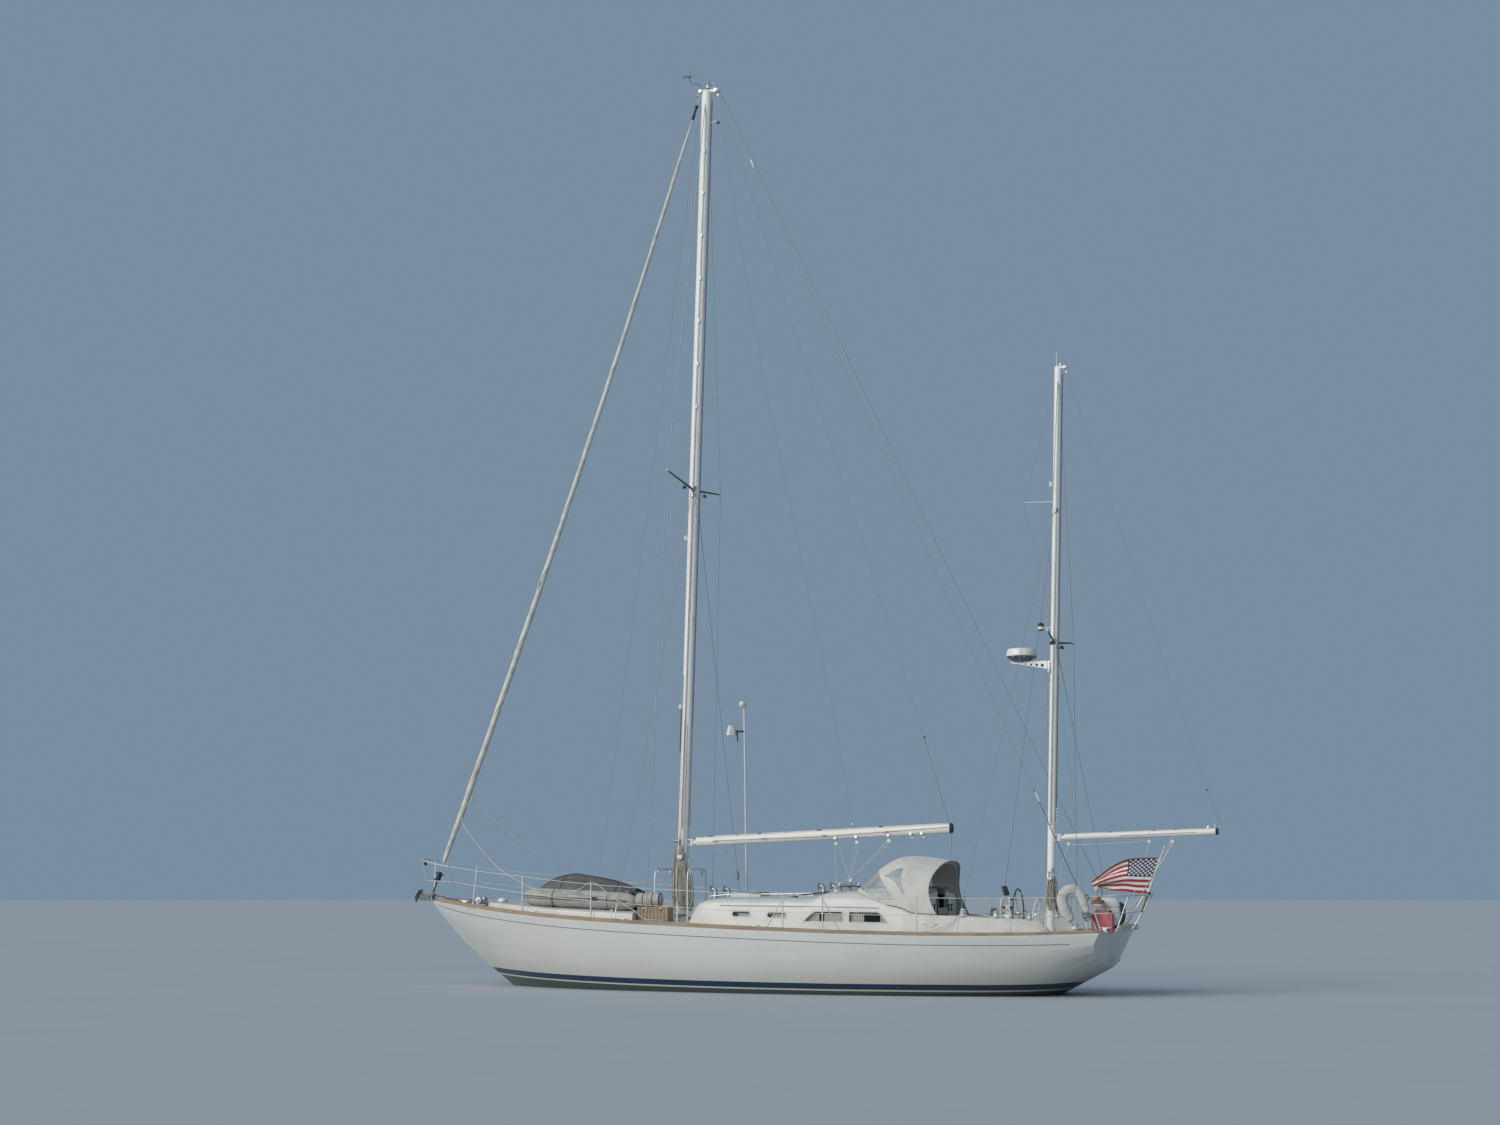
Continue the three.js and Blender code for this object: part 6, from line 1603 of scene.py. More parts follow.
def mastheads():
    form = bmesh.new()
    top = onMast(mainMast, 17.38)
    # wind vane on its stem, forward and above the crane, with the cups' bracket aft
    stem = [onMast(mainMast, 17.36, 0.1), (-1.56, 0, 17.5), (-1.72, 0, 17.55), (-1.78, 0, 17.66)]
    bent(form, stem, 0.007, 2)
    for radius, high in ((0.012, 0.0), (0.02, 0.02)):
        peg(form, (-1.78, 0, 17.66 + high), 2, radius, 0.02)
    box(form, placed((-1.83, 0, 17.7), (0, 0, 1), 0.1), 2, (0.2, 0.006, 0.05), 0.002, steps=1)
    peg(form, (-1.7, 0, 17.7), 2, 0.006, 0.07, (1, 0, 0), tip=0.002)
    arm = (-1.36, 0, 17.47)
    lines(form, [[onMast(mainMast, 17.37, -0.02), arm], [arm, (-1.3, 0.12, 17.5)],
        [arm, (-1.3, -0.12, 17.5)]], 0.005, 2)
    # sheaves in the crane's ends, tri-colour lantern, aerial
    for forward in (0.12, -0.2):
        peg(form, athwart(onMast(mainMast, 17.345, forward), (0, 0, 1)) @ lying, 1, 0.034, 0.076, sides=20)
    pulley(form, onMast(mainMast, 17.27, 0.19), (0.3, 0, 1), 0.042, 2, 1)
    pulley(form, onMast(mainMast, 17.25, -0.24), (-0.2, 0, 1), 0.042)
    lathe(form, top + Vector((0.02, 0, 0)), 2, [(0.04, 0), (0.044, 0.02)])
    lathe(form, top + Vector((0.02, 0, 0.02)), 3, [(0.038, 0), (0.04, 0.05), (0.03, 0.07), (0, 0.075)])
    rod(form, top + Vector((0.12, 0.03, -0.01)), top + Vector((0.12, 0.03, 0.18)), 0.008, 0, tip=0.003)
    # deck light on its strut abaft the mast
    strut = onMast(mainMast, 16.7, -0.105)
    rod(form, strut, strut + Vector((0.12, 0, 0.02)), 0.01, 1)
    lathe(form, strut + Vector((0.13, 0, 0.02)), 2, [(0.02, 0), (0.04, 0.05), (0, 0.045)], (0.6, 0, -1),
        sides=16)
    # mizzen head: crane sheave, block, aerial and lamp
    head = onMast(mizzenMast, 11.25)
    peg(form, athwart(onMast(mizzenMast, 11.225, -0.12), (0, 0, 1)) @ lying, 1, 0.026, 0.056, sides=20)
    pulley(form, onMast(mizzenMast, 11.14, -0.15), (-0.2, 0, 1), 0.034)
    rod(form, head + Vector((-0.03, 0, -0.01)), head + Vector((-0.03, 0, 0.3)), 0.009, 0, tip=0.003)
    lathe(form, head + Vector((0.04, 0, 0)), 0, [(0.028, 0), (0.03, 0.03), (0.02, 0.05), (0, 0.052)])
    addPiece("masthead_gear", form, ["whitePlastic", "stainless", "radarBelow", "clearLens"], sharp=40.0)


lowerShrouds()
spreaderGear()
mastGear()
mastheads()
report("standing rigging and masts")


# One loop of a hank: shares of its offset, its half width and its depth
loopShape = [(0.2, 0, 0), (0.5, 0.5, 0.22), (1, 1, 0.7), (1, 0.7, 0.95), (1, 0, 1), (1, -0.7, 0.95),
    (1, -1, 0.7), (0.5, -0.5, 0.22), (0.2, 0, 0)]


# A hank of rope: long loops hung from a cleat, gathered by a few turns
def hank(form, top, length, width, loops, radius, look):
    top = Vector(top)
    for i in range(loops):
        deep = length * draws.uniform(0.86, 1.0)
        half = width * draws.uniform(0.35, 0.6)
        middle = Vector((draws.uniform(-0.4, 0.4) * width, draws.uniform(-0.3, 0.3) * width * 0.6, 0))
        turn = draws.uniform(-0.7, 0.7)
        wide = Vector((cos(turn), sin(turn), 0)) * half
        down = lifted(-deep)
        route = [top + middle * out + wide * across + down * low for out, across, low in loopShape]
        bent(form, route, radius, look, steps=5, sides=1)
    for i in range(3):
        at = top + lifted(-length * 0.2 - i * radius * 1.9)
        place = placed(at, (0.1 * (i % 2), 0.06, 1)) @ Matrix.Diagonal((1, 0.8, 1, 1))
        hoop(form, place, look, width * 0.36, radius)


def hornCleat(form, at, outward, up, size, look):
    across = Vector(outward)
    place = Matrix.Translation(at) @ Matrix((Vector(up).normalized(), across.cross(Vector(up)).normalized(),
        across.normalized())).transposed().to_4x4()
    box(form, place @ Matrix.Translation((0, 0, size * 0.12)), look, (size * 0.35, size * 0.14, size * 0.26),
        size * 0.03)
    ball(form, place @ Matrix.Translation((0, 0, size * 0.28)), look, (size * 0.5, size * 0.075, size * 0.06),
        0.9)


def winch(form, at, aim, size, drum=0, top=1):
    place = placed(at, aim)
    lathe(form, place, drum, [(size, 0), (size, 0.14 * size), (0.82 * size, 0.3 * size),
        (0.7 * size, 0.8 * size), (0.74 * size, 1.25 * size), (0.86 * size, 1.4 * size),
        (0.86 * size, 1.52 * size)], sides=32)
    lathe(form, place, top, [(0.5 * size, 1.5 * size), (0.46 * size, 1.62 * size), (0.12 * size, 1.64 * size),
        (0.1 * size, 1.56 * size)], sides=24)


def mastHardware():
    form = bmesh.new()
    for mast, winches, cleats in ((mainMast, [(2.42, -1, 0.055), (2.2, 1, 0.055), (2.72, 0, 0.045)],
            [(2.66, -1), (2.5, 1), (2.05, -1), (1.92, 1), (2.72, -1), (2.74, 1)]),
            (mizzenMast, [(2.02, -1, 0.042), (1.94, 1, 0.042)], [(2.16, -1), (2.2, 1), (1.72, -1),
            (1.68, 1)])):
        for z, side, size in winches:
            if side:
                at = onMast(mast, z, -0.01, side * mast["across"] / 2)
                box(form, at, 1, (0.13, 0.15, 0.03), 0.006, (0, side, 0))
                winch(form, at + Vector((0, side * 0.012, 0)), (0, side, 0), size, 1, 0)
            else:
                winch(form, onMast(mast, z, mast["foreAft"] / 2), (-1, 0, 0.03), size, 1, 0)
        for z, side in cleats:
            forward = 0.04 if z > 2.6 else -0.03
            hornCleat(form, onMast(mast, z, forward, side * (mast["across"] / 2 - 0.006)), (0, side, 0),
                (0, 0, 1), 0.16 if mast is mainMast else 0.13, 1)
    addPiece("mast_winches", form, ["stainless", "anodised"])
    ropes = bmesh.new()
    for forward, side, z, length, width, look in ((0.05, -0.115, 2.7, 1.25, 0.1, 0),
            (0.0, -0.125, 2.66, 1.1, 0.1, 1), (-0.05, -0.115, 2.52, 1.15, 0.09, 2),
            (0.06, 0.115, 2.74, 1.2, 0.1, 0), (-0.03, 0.125, 2.52, 1.1, 0.1, 1), (0.15, -0.02, 2.6, 1.1, 0.08,
            1), (-0.14, -0.05, 2.4, 0.98, 0.08, 0), (-0.145, 0.05, 2.2, 0.8, 0.08, 2),
            (0.145, 0.05, 2.25, 0.85, 0.08, 0)):
        hank(ropes, onMast(mainMast, z, forward, side), length, width, 7, 0.0065, look)
    for forward, side, z, length, width, look in ((0.02, -0.07, 2.14, 0.72, 0.05, 1),
            (-0.03, -0.07, 2.1, 0.65, 0.05, 2), (0.02, 0.07, 2.2, 0.7, 0.05, 1), (-0.085, -0.02, 2.05, 0.5,
            0.035, 2), (0.09, 0.02, 2.1, 0.6, 0.04, 0), (-0.085, 0.04, 2.0, 0.6, 0.035, 1)):
        hank(ropes, onMast(mizzenMast, z, forward, side), length, width, 6, 0.0055, look)
    # falls of the halyards come down beside the masts to the cleats
    for forward, side, low in ((0.075, -0.09, 2.7), (0.02, -0.095, 2.66), (-0.04, -0.09, 2.55),
            (0.07, 0.09, 2.74), (-0.02, 0.095, 2.52), (-0.125, -0.02, 2.42)):
        wire(ropes, [onMast(mainMast, low, forward, side), onMast(mainMast, 4.6 + 2 * draws.random(), forward,
            side * 0.75)], 0.0055, draws.randrange(3))
    # collar of rope turns at the foot
    for i in range(4):
        place = placed(onMast(mainMast, 1.32 + 0.016 * i), (0.03, 0, 1)) @ Matrix.Diagonal((1.3, 1.0, 1, 1))
        hoop(ropes, place, i % 3, 0.1, 0.007, sides=36)
    addPiece("halyard_tails", ropes, ["rope", "greyRope", "ropeMix"], sharp=50.0)


mastHardware()
report("mast hardware")


# Running rigging that swings with the booms, and tackles that stretch from deck to boom
def mainBoomGear():
    form = bmesh.new()
    # goosenecks' straps, end caps, and the fittings along the boom
    lathe(form, athwart(onBoom(mainBoom, 0.15), (1, 0, 0.04)), 0, [(0.05, -0.02), (0.058, 0.0),
        (0.062, 0.05)], sides=28)
    end = athwart(onBoom(mainBoom, 5.02), onBoom(mainBoom, 6) - onBoom(mainBoom, 5))
    lathe(form, end @ Matrix.Diagonal((0.09, 0.062, 1, 1)), 2, [(1.0, -0.03), (1.0, 0.012), (0.86, 0.028),
        (0, 0.03)], sides=36)
    for x, wide, high in ((-1.28, 0.1, 0.03), (-0.31, 0.07, 0.028), (0.86, 0.1, 0.03), (2.04, 0.08, 0.034)):
        box(form, boomAt(mainBoom, x, 0.087), 2, (wide, 0.03, high), 0.006)
        hornCleat(form, boomAt(mainBoom, x + 0.1, 0.0, -0.06), (0, -1, 0), (1, 0, 0.04), 0.12, 1)
    wire(form, [boomAt(mainBoom, -1.3, 0.089), boomAt(mainBoom, 3.2, 0.089)], 0.011, 1, sides=1)
    for x in (1.17, 1.57, 2.18, 2.6, 2.81):
        for side in (-1, 1):
            box(form, boomAt(mainBoom, x, -0.04, side * 0.054), 1, (0.05, 0.11, 0.006), 0.002,
                (0, side, 0.35), steps=1)
        hoop(form, athwart(boomAt(mainBoom, x, -0.095), (0, 0, 1)) @ lying, 1, 0.018, 0.006)
    for x, low, lean, size in ((2.62, 0.13, 0.1, 0.034), (2.83, 0.13, 0.1, 0.034), (1.17, 0.165, 0.05, 0.05),
            (1.57, 0.165, 0.0, 0.05), (2.18, 0.165, 0.25, 0.055)):
        pulley(form, boomAt(mainBoom, x, -low), (lean, 0, 1), size)
    # reef line along the boom's side, and the outhaul's end
    lines(form, [[boomAt(mainBoom, 3.3, 0.02, -0.064), boomAt(mainBoom, 1.0, -0.03, -0.063),
        boomAt(mainBoom, -1.2, 0.0, -0.062)], slack(boomAt(mainBoom, 2.6, -0.15),
        boomAt(mainBoom, 2.2, -0.14), 0.02)], 0.005, 3)
    bent(form, [onBoom(mainBoom, 5.0, -0.05, 0.03), onBoom(mainBoom, 4.99, -0.3, 0.035),
        onBoom(mainBoom, 4.97, -0.5, 0.03)], 0.007, 3)
    # topping lift from the masthead, past its block, and the slack halyard
    wire(form, [(2.84, -0.012, 4.58), (3.3, -0.012, 3.02)], rigging["lift"], 3)
    pulley(form, (2.865, 0, 4.56), (-4.0, 0, 12.7), 0.036, 2, 1)
    box(form, (1.492, -0.02, 2.985), 1, (0.012, 0.022, 0.07), 0.003, (0.16, 0, -1))
    hoop(form, onBoom(mainBoom, 4.99, 0.1), 1, 0.016, 0.005, (0.3, 0, 1))
    bent(form, [(-1.45, -0.03, 2.84), (-1.36, -0.03, 2.55), (-1.12, -0.03, 2.45), (-0.88, -0.03, 2.58),
        (-0.75, -0.03, 2.86)], 0.006, 3)
    addPiece("main_boom_gear", form, ["whitePlastic", "anodised", "blackPlastic", "greyRope", "rope"],
        body="main_boom_spar", sharp=40.0)


def mizzenBoomGear():
    form = bmesh.new()
    lathe(form, athwart(onBoom(mizzenBoom, 0.14), (1, 0, 0.03)), 0, [(0.034, -0.015), (0.041, 0.0),
        (0.044, 0.04)], sides=28)
    end = athwart(onBoom(mizzenBoom, 2.76), onBoom(mizzenBoom, 3) - onBoom(mizzenBoom, 2))
    lathe(form, end @ Matrix.Diagonal((0.058, 0.0435, 1, 1)), 2, [(1.0, -0.025), (1.0, 0.01), (0.85, 0.022),
        (0, 0.024)], sides=32)
    for x in (6.23, 7.0, 7.37):
        box(form, boomAt(mizzenBoom, x, 0.056), 2, (0.05, 0.024, 0.016), 0.004)
    wire(form, [boomAt(mizzenBoom, 5.6, 0.057), boomAt(mizzenBoom, 7.8, 0.057)], 0.008, 1, sides=1)
    lathe(form, boomAt(mizzenBoom, 7.93, 0.052), 0, [(0.036, 0), (0.03, 0.03), (0.012, 0.06)], sides=16)
    rod(form, boomAt(mizzenBoom, 8.05, 0.05), boomAt(mizzenBoom, 8.04, 0.15), 0.007, 0)
    for x, low in ((5.51, 0.12), (6.93, 0.13), (7.33, 0.14)):
        box(form, boomAt(mizzenBoom, x, -0.056), 1, (0.05, 0.03, 0.014), 0.003, (0, 0, -1))
        pulley(form, boomAt(mizzenBoom, x - 0.03, -low), (0.3, 0, 1), 0.045)
    lines(form, [slack((5.5, 0.004, 2.6), (6.88, 0.004, 2.665), 0.012), [(5.48, 0, 2.6), (5.335, 0.0, 2.24),
        (5.33, 0.0, 1.95)], [boomAt(mizzenBoom, 7.7, 0.0, -0.046), boomAt(mizzenBoom, 6.4, -0.01, -0.046)]],
        0.005, 4)
    # lift from the mizzen head: a single line above, a purchase of three parts at the boom's end
    lines(form, [[(7.93, side, 3.5), (8.15, side, 2.92)] for side in (-0.008, 0.0, 0.008)], 0.0045, 3)
    pulley(form, (7.925, 0, 3.53), (-0.3, 0, 1), 0.026, 2, 1)
    rod(form, (8.09, 0, 2.845), (8.15, 0, 2.92), 0.006, 1)
    hoop(form, (8.105, 0, 2.78), 1, 0.014, 0.005, sides=14)
    addPiece("mizzen_boom_gear", form, ["whitePlastic", "anodised", "blackPlastic", "greyRope", "rope"],
        body="mizzen_boom_spar", sharp=40.0)


def stretchedTackle(name, routes, radius, look="rope"):
    form = bmesh.new()
    for route in routes:
        spots = []
        for a, b in zip(route, route[1:]):
            spots += [Vector(a).lerp(Vector(b), i / 16) for i in range(16)]
        wire(form, spots + [Vector(route[-1])], radius, 0)
    piece = addPiece(name, form, [look], body=None, sharp=60.0)
    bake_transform(piece)


def topLine(high, low):
    high, low = Vector(high), Vector(low)
    return [high.lerp(low, share) for share in (0, 0.04, 0.08, 0.12, 0.16, 0.2, 0.24, 0.28, 0.5, 1)]


def sheets():
    # lifts: fast to the masthead, and straight with the boom below the upper part
    halyard = [(-1.07, -0.02, 16.6), (-0.96, -0.02, 15.87), (-0.84, -0.02, 15.13), (-0.73, -0.02, 14.4),
        (-0.62, -0.02, 13.7), (-0.2, -0.02, 11.4), (0.28, -0.02, 9.09), (0.86, -0.02, 6.41),
        (1.22, -0.02, 4.6), (1.49, -0.02, 3.02)]
    stretchedTackle("main_lifts",
        [topLine((-1.16, 0.01, 17.3), (2.85, 0.01, 4.6)) + [Vector((3.31, 0.01, 3.02))],
        [Vector(spot) for spot in halyard]], rigging["lift"],
        "greyRope")
    stretchedTackle("mizzen_lift", [topLine((5.62, 0, 11.14), (7.93, 0, 3.53))], 0.0035,
        "greyRope")
    low, side = 2.03, 0.012
    upper = [boomAt(mainBoom, x, -0.165) for x in (1.17, 1.57, 2.18)]
    stretchedTackle("mainsheet", [[(1.19, 0, 1.8), upper[0] + Vector((-0.02, 0, -0.02))],
        [(1.42, side, low), upper[0] + Vector((0.03, side, 0))],
        [(1.44, -side, low), upper[1] + Vector((-0.02, -side, 0))],
        [(1.47, side, low), upper[1] + Vector((0.025, side, 0))],
        [(1.47, -side, low), upper[2] + Vector((-0.03, -side, -0.01))],
        [(1.5, side, low), upper[2] + Vector((0.01, side, -0.03))]], rigging["sheet"])
    fall = boomAt(mizzenBoom, 7.3, -0.15)
    stretchedTackle("mizzen_sheet", [[(6.43, side, 1.31), fall + Vector((-0.03, side, 0))],
        [(6.46, -side, 1.31), fall + Vector((0.012, -side, -0.03))],
        [(6.48, side, 1.3), fall + lifted(-0.02)],
        [(6.46, -side, 1.31), boomAt(mizzenBoom, 6.9, -0.15) + Vector((0, side, -0.02))]], 0.0055)
    form = bmesh.new()
    box(form, (1.425, 0, 1.9), 2, (0.1, 0.06, 0.03), 0.006)
    for y in (-0.018, 0.018):
        pulley(form, (1.455, y, 1.985), (-0.05, 0, -1), 0.05)
    pulley(form, (1.19, 0, 1.795), (0, 0, -1), 0.04)
    for y in (-0.58, 0.58):
        box(form, (1.425, y, 1.897), 1, (0.05, 0.04, 0.024), 0.005)
        pulley(form, (1.425, y, 1.93), (0, 0, -1), 0.028)
    for sign in (-1, 1):
        wire(form, slack((1.4, sign * 0.04, 1.905), (1.425, sign * 0.56, 1.925), 0.01), 0.005, 3)
    wire(form, [(1.2, 0.01, 1.78), (1.5, 0.25, 1.82), (1.7, 0.45, 1.81)], 0.006, 4)
    for y in (-0.018, 0.018):
        pulley(form, (6.45, y, 1.265), (0, 0, -1), 0.042)
    lathe(form, (6.45, 0, 1.19), 1, [(0.05, -0.04), (0.04, -0.02), (0.012, 0.0), (0.012, 0.03)])
    bent(form, [(6.46, 0.02, 1.25), (6.56, 0.1, 1.19), (6.67, 0.2, 1.165), (6.62, 0.32, 1.16),
        (6.5, 0.3, 1.165)], 0.005, 4)
    # halyard led from the masthead to an eye at the rail
    railEye = Vector((-2.98, -1.53, 1.3))
    wire(form, [onMast(mainMast, 17.2, 0.11, -0.03), railEye], 0.0045, 3)
    box(form, railEye + lifted(-0.02), 1, (0.014, 0.02, 0.07), 0.003, (0.1, 0.1, 1))
    addPiece("sheet_blocks", form, ["whitePlastic", "anodised", "galvanised", "greyRope", "rope"], sharp=40.0)


mainBoomGear()
mizzenBoomGear()
sheets()
report("running rigging")


# Foredeck: windlass and chain, cleats, chocks, vents and the hatch's frame
def deckSpot(x, y, over=0.0):
    return Vector((x, y, deckHeight(x, y) + over))


def chain(form, a, b, drop, link, look):
    spots = slack(a, b, drop, 60)
    gone, turn = 0.0, 0
    for first, second in zip(spots, spots[1:]):
        gone += (second - first).length
        if gone >= link * 1.5:
            gone = 0.0
            turn += 1
            way = second - first
            place = placed(first, way) @ Matrix.Rotation(pi / 2 * (turn % 2), 4, "Z")
            hoop(form, place @ lying @ Matrix.Diagonal((0.72, 1.15, 1, 1)), look, link * 0.85, link * 0.24,
                sides=12)


# Low moulding that carries the dinghy: x, half breadth and height of its top
foreTrunkRows = [(-5.76, 0.24, 1.575), (-5.7, 0.34, 1.58), (-5.5, 0.45, 1.575), (-5.0, 0.62, 1.54),
    (-4.5, 0.75, 1.505), (-4.25, 0.8, 1.49), (-3.0, 0.93, 1.435), (-2.46, 0.95, 1.418)]


def foreTrunkTop(x):
    return along([(row[0], row[2]) for row in foreTrunkRows], x)


def foreTrunk():
    def shell(u, v):
        x = foreTrunkRows[0][0] + (foreTrunkRows[-1][0] - foreTrunkRows[0][0]) * u
        half = along([(row[0], row[1]) for row in foreTrunkRows], x)
        across, up = cos(pi * v), max(sin(pi * v), 0.0)
        low = deckHeight(x, half) - 0.015
        return Vector((x, half * signedPower(across, 0.25), low + (foreTrunkTop(x) - low) * up ** 0.25))

    form = bmesh.new()
    gridSheet(form, 60, 40, shell)
    for x, _, _ in (foreTrunkRows[0], foreTrunkRows[-1]):  # the two end walls, then the underside
        end = [edge for edge in form.edges if all(abs(vert.co.x - x) < 0.001 for vert in edge.verts)]
        corners = [vert for edge in end for vert in edge.verts
            if sum(other in end for other in vert.link_edges) == 1]
        bmesh.ops.edgeloop_fill(form, edges=end + [form.edges.new(corners)])
    closeUp(form, 0)
    addPiece("fore_trunk", form, ["trunkGelcoat"])


def foredeck():
    form = bmesh.new()
    # windlass: case, gypsy to port, drum to starboard, lever socket
    base = deckSpot(-6.03, 0)
    box(form, base + lifted(0.01), 1, (0.26, 0.2, 0.024), 0.006)
    box(form, base + Vector((0.01, 0, 0.09)), 1, (0.2, 0.13, 0.15), 0.03, steps=4)
    for side in (-1, 1):
        lathe(form, base + Vector((0, side * 0.06, 0.1)), 1, [(0.06, 0), (0.06, 0.012), (0.045, 0.03),
            (0.043, 0.055), (0.062, 0.075), (0.062, 0.088), (0.03, 0.09), (0.024, 0.104), (0, 0.106)],
            (0, side, 0), sides=28)
    rod(form, base + Vector((0.02, 0.02, 0.15)), base + Vector((0.05, 0.02, 0.21)), 0.014, 1)
    chain(form, Vector((-7.2, 0.02, 1.7)), base + Vector((-0.06, -0.1, 0.13)), 0.06, 0.02, 2)
    for sign in (-1, 1):
        box(form, deckSpot(-6.24, sign * 0.3, 0.006), 0, (0.12, 0.05, 0.012), 0.003)
        hornCleat(form, deckSpot(-6.24, sign * 0.3, 0.01), (0, 0, 1), (1, 0, -0.08), 0.24, 0)
        for x in (-5.9, 2.85):
            y = sign * (halfBeam(x) - (0.19 if x < 0 else 0.075))
            box(form, deckSpot(x, y, 0.015), 0, (0.16, 0.04, 0.025), 0.006)
            for end in (-0.05, 0.05):
                bent(form, [deckSpot(x + end, y, 0.02), deckSpot(x + end * 1.15, y, 0.06),
                    deckSpot(x + end * 0.35, y, 0.075)], 0.009, 0)
        for x in (-4.38, -2.39, 0.2, 6.3):
            y = sign * (halfBeam(x) - 0.14)
            box(form, deckSpot(x, y, 0.006), 0, (0.12, 0.045, 0.012), 0.003)
            hornCleat(form, deckSpot(x, y, 0.01), (0, 0, 1), (1, 0, 0), 0.23, 0)
        # chainplate covers where the shrouds come through
        for x, y in ((-2.55, offRail(-2.55)), (-1.9, 1.665), (-1.27, offRail(-1.27)), (3.81, offRail(3.81)),
                (5.33, 1.34), (6.02, offRail(6.02)), (6.18, 1.12)):
            box(form, deckSpot(x, sign * y, 0.002), 0, (0.1, 0.05, 0.006), 0.002)
    # genoa track along the side decks, with its car
    for sign in (-1, 1):
        for i in range(24):
            x = -0.9 + 0.1 * i
            y = sign * (halfBeam(x) - 0.3)
            box(form, deckSpot(x, y, 0.008), 1, (0.1, 0.03, 0.014), 0.003)
        x = 0.62
        box(form, deckSpot(x, sign * (halfBeam(x) - 0.3), 0.03), 0, (0.09, 0.04, 0.03), 0.005)
    # domed vents on the foredeck, filler caps and the white post at the after chock
    for x, y, size in ((-5.47, -0.2, 0.1), (5.55, 0.0, 0.08)):
        stand = Vector((x, y, foreTrunkTop(x) - 0.01)) if x < 0 else deckSpot(x, y)
        lathe(form, stand, 3, [(size * 0.75, 0), (size * 0.75, size * 0.2), (size, size * 0.25),
            (size, size * 0.42), (size * 0.82, size * 0.78), (size * 0.45, size * 0.95), (0, size)], sides=36)
    for sign in (-1, 1):
        lathe(form, deckSpot(-2.89, sign * 0.9), 3, [(0.034, 0), (0.034, 0.01), (0.022, 0.016), (0.022, 0.15),
            (0.028, 0.155), (0.028, 0.172), (0, 0.176)], sides=24)
    for x, y in ((-3.6, -1.25), (2.2, 1.5), (5.5, -0.9), (5.9, 0.6)):
        lathe(form, deckSpot(x, y), 0, [(0.042, 0), (0.042, 0.004), (0.03, 0.006)], sides=28)
    addPiece("deck_fittings", form, ["stainless", "anodised", "galvanised", "whitePlastic"])
    hatch = bmesh.new()
    for x, y, size in ((-0.7525, 0, (0.025, 0.565, 0.04)), (-0.2175, 0, (0.025, 0.565, 0.04)),
            (-0.485, -0.27, (0.55, 0.025, 0.04)), (-0.485, 0.27, (0.55, 0.025, 0.04))):
        box(hatch, (x, y, roofHeight(-0.48) + 0.048), 0, size, 0.006)
    for y in (-0.17, 0.17):
        box(hatch, (-0.245, y, roofHeight(-0.48) + 0.068), 1, (0.05, 0.045, 0.018), 0.005)
    addPiece("hatch_rim", hatch, ["anodised", "blackPlastic"], body="fore_hatch_leaf")


def rolledBag():
    def bag(u, v):
        angle = 2 * pi * u
        reach = 0.128 * (1 + 0.05 * noise.noise(Vector((v * 9, cos(angle) * 2, sin(angle) * 2))))
        reach *= min(1.0, sin(pi * min(max(min(v, 1 - v) * 7, 0.12), 0.5)) ** 0.35)
        for strap in (0.3, 0.68):
            reach -= 0.012 * exp(-((v - strap) / 0.02) ** 2)
        return Vector((-2.5 + 0.5 * v, -0.635 + 0.9 * reach * cos(angle), 1.628 + reach * sin(angle)))

    form = bmesh.new()
    gridSheet(form, 30, 50, bag)
    closeUp(form)
    for strap in (0.3, 0.68, 0.94):
        for offset in (-0.008, 0.0, 0.008):
            wire(form, [bag(i / 30, strap + offset) for i in range(31)], 0.006, 1)
    addPiece("rolled_bag", form, ["dinghyFabric", "darkFabric"], sharp=60.0)
    slats = bmesh.new()
    for y in (-0.7635, -0.4965):
        for i in range(9):
            box(slats, (-2.41 + 0.0687 * i, y, 1.365), 0, (0.058, 0.009, 0.23), 0.0025)
    for z in (1.265, 1.485):
        for y in (-0.766, -0.494):
            box(slats, (-2.135, y, z), 0, (0.61, 0.014, 0.026), 0.003)
    for x in (-2.3, -1.97):
        box(slats, (x, -0.772, 1.46), 1, (0.05, 0.008, 0.07), 0.002)
    addPiece("box_slats", slats, ["teak", "bronze"])


foreTrunk()
foredeck()
rolledBag()
report("foredeck")


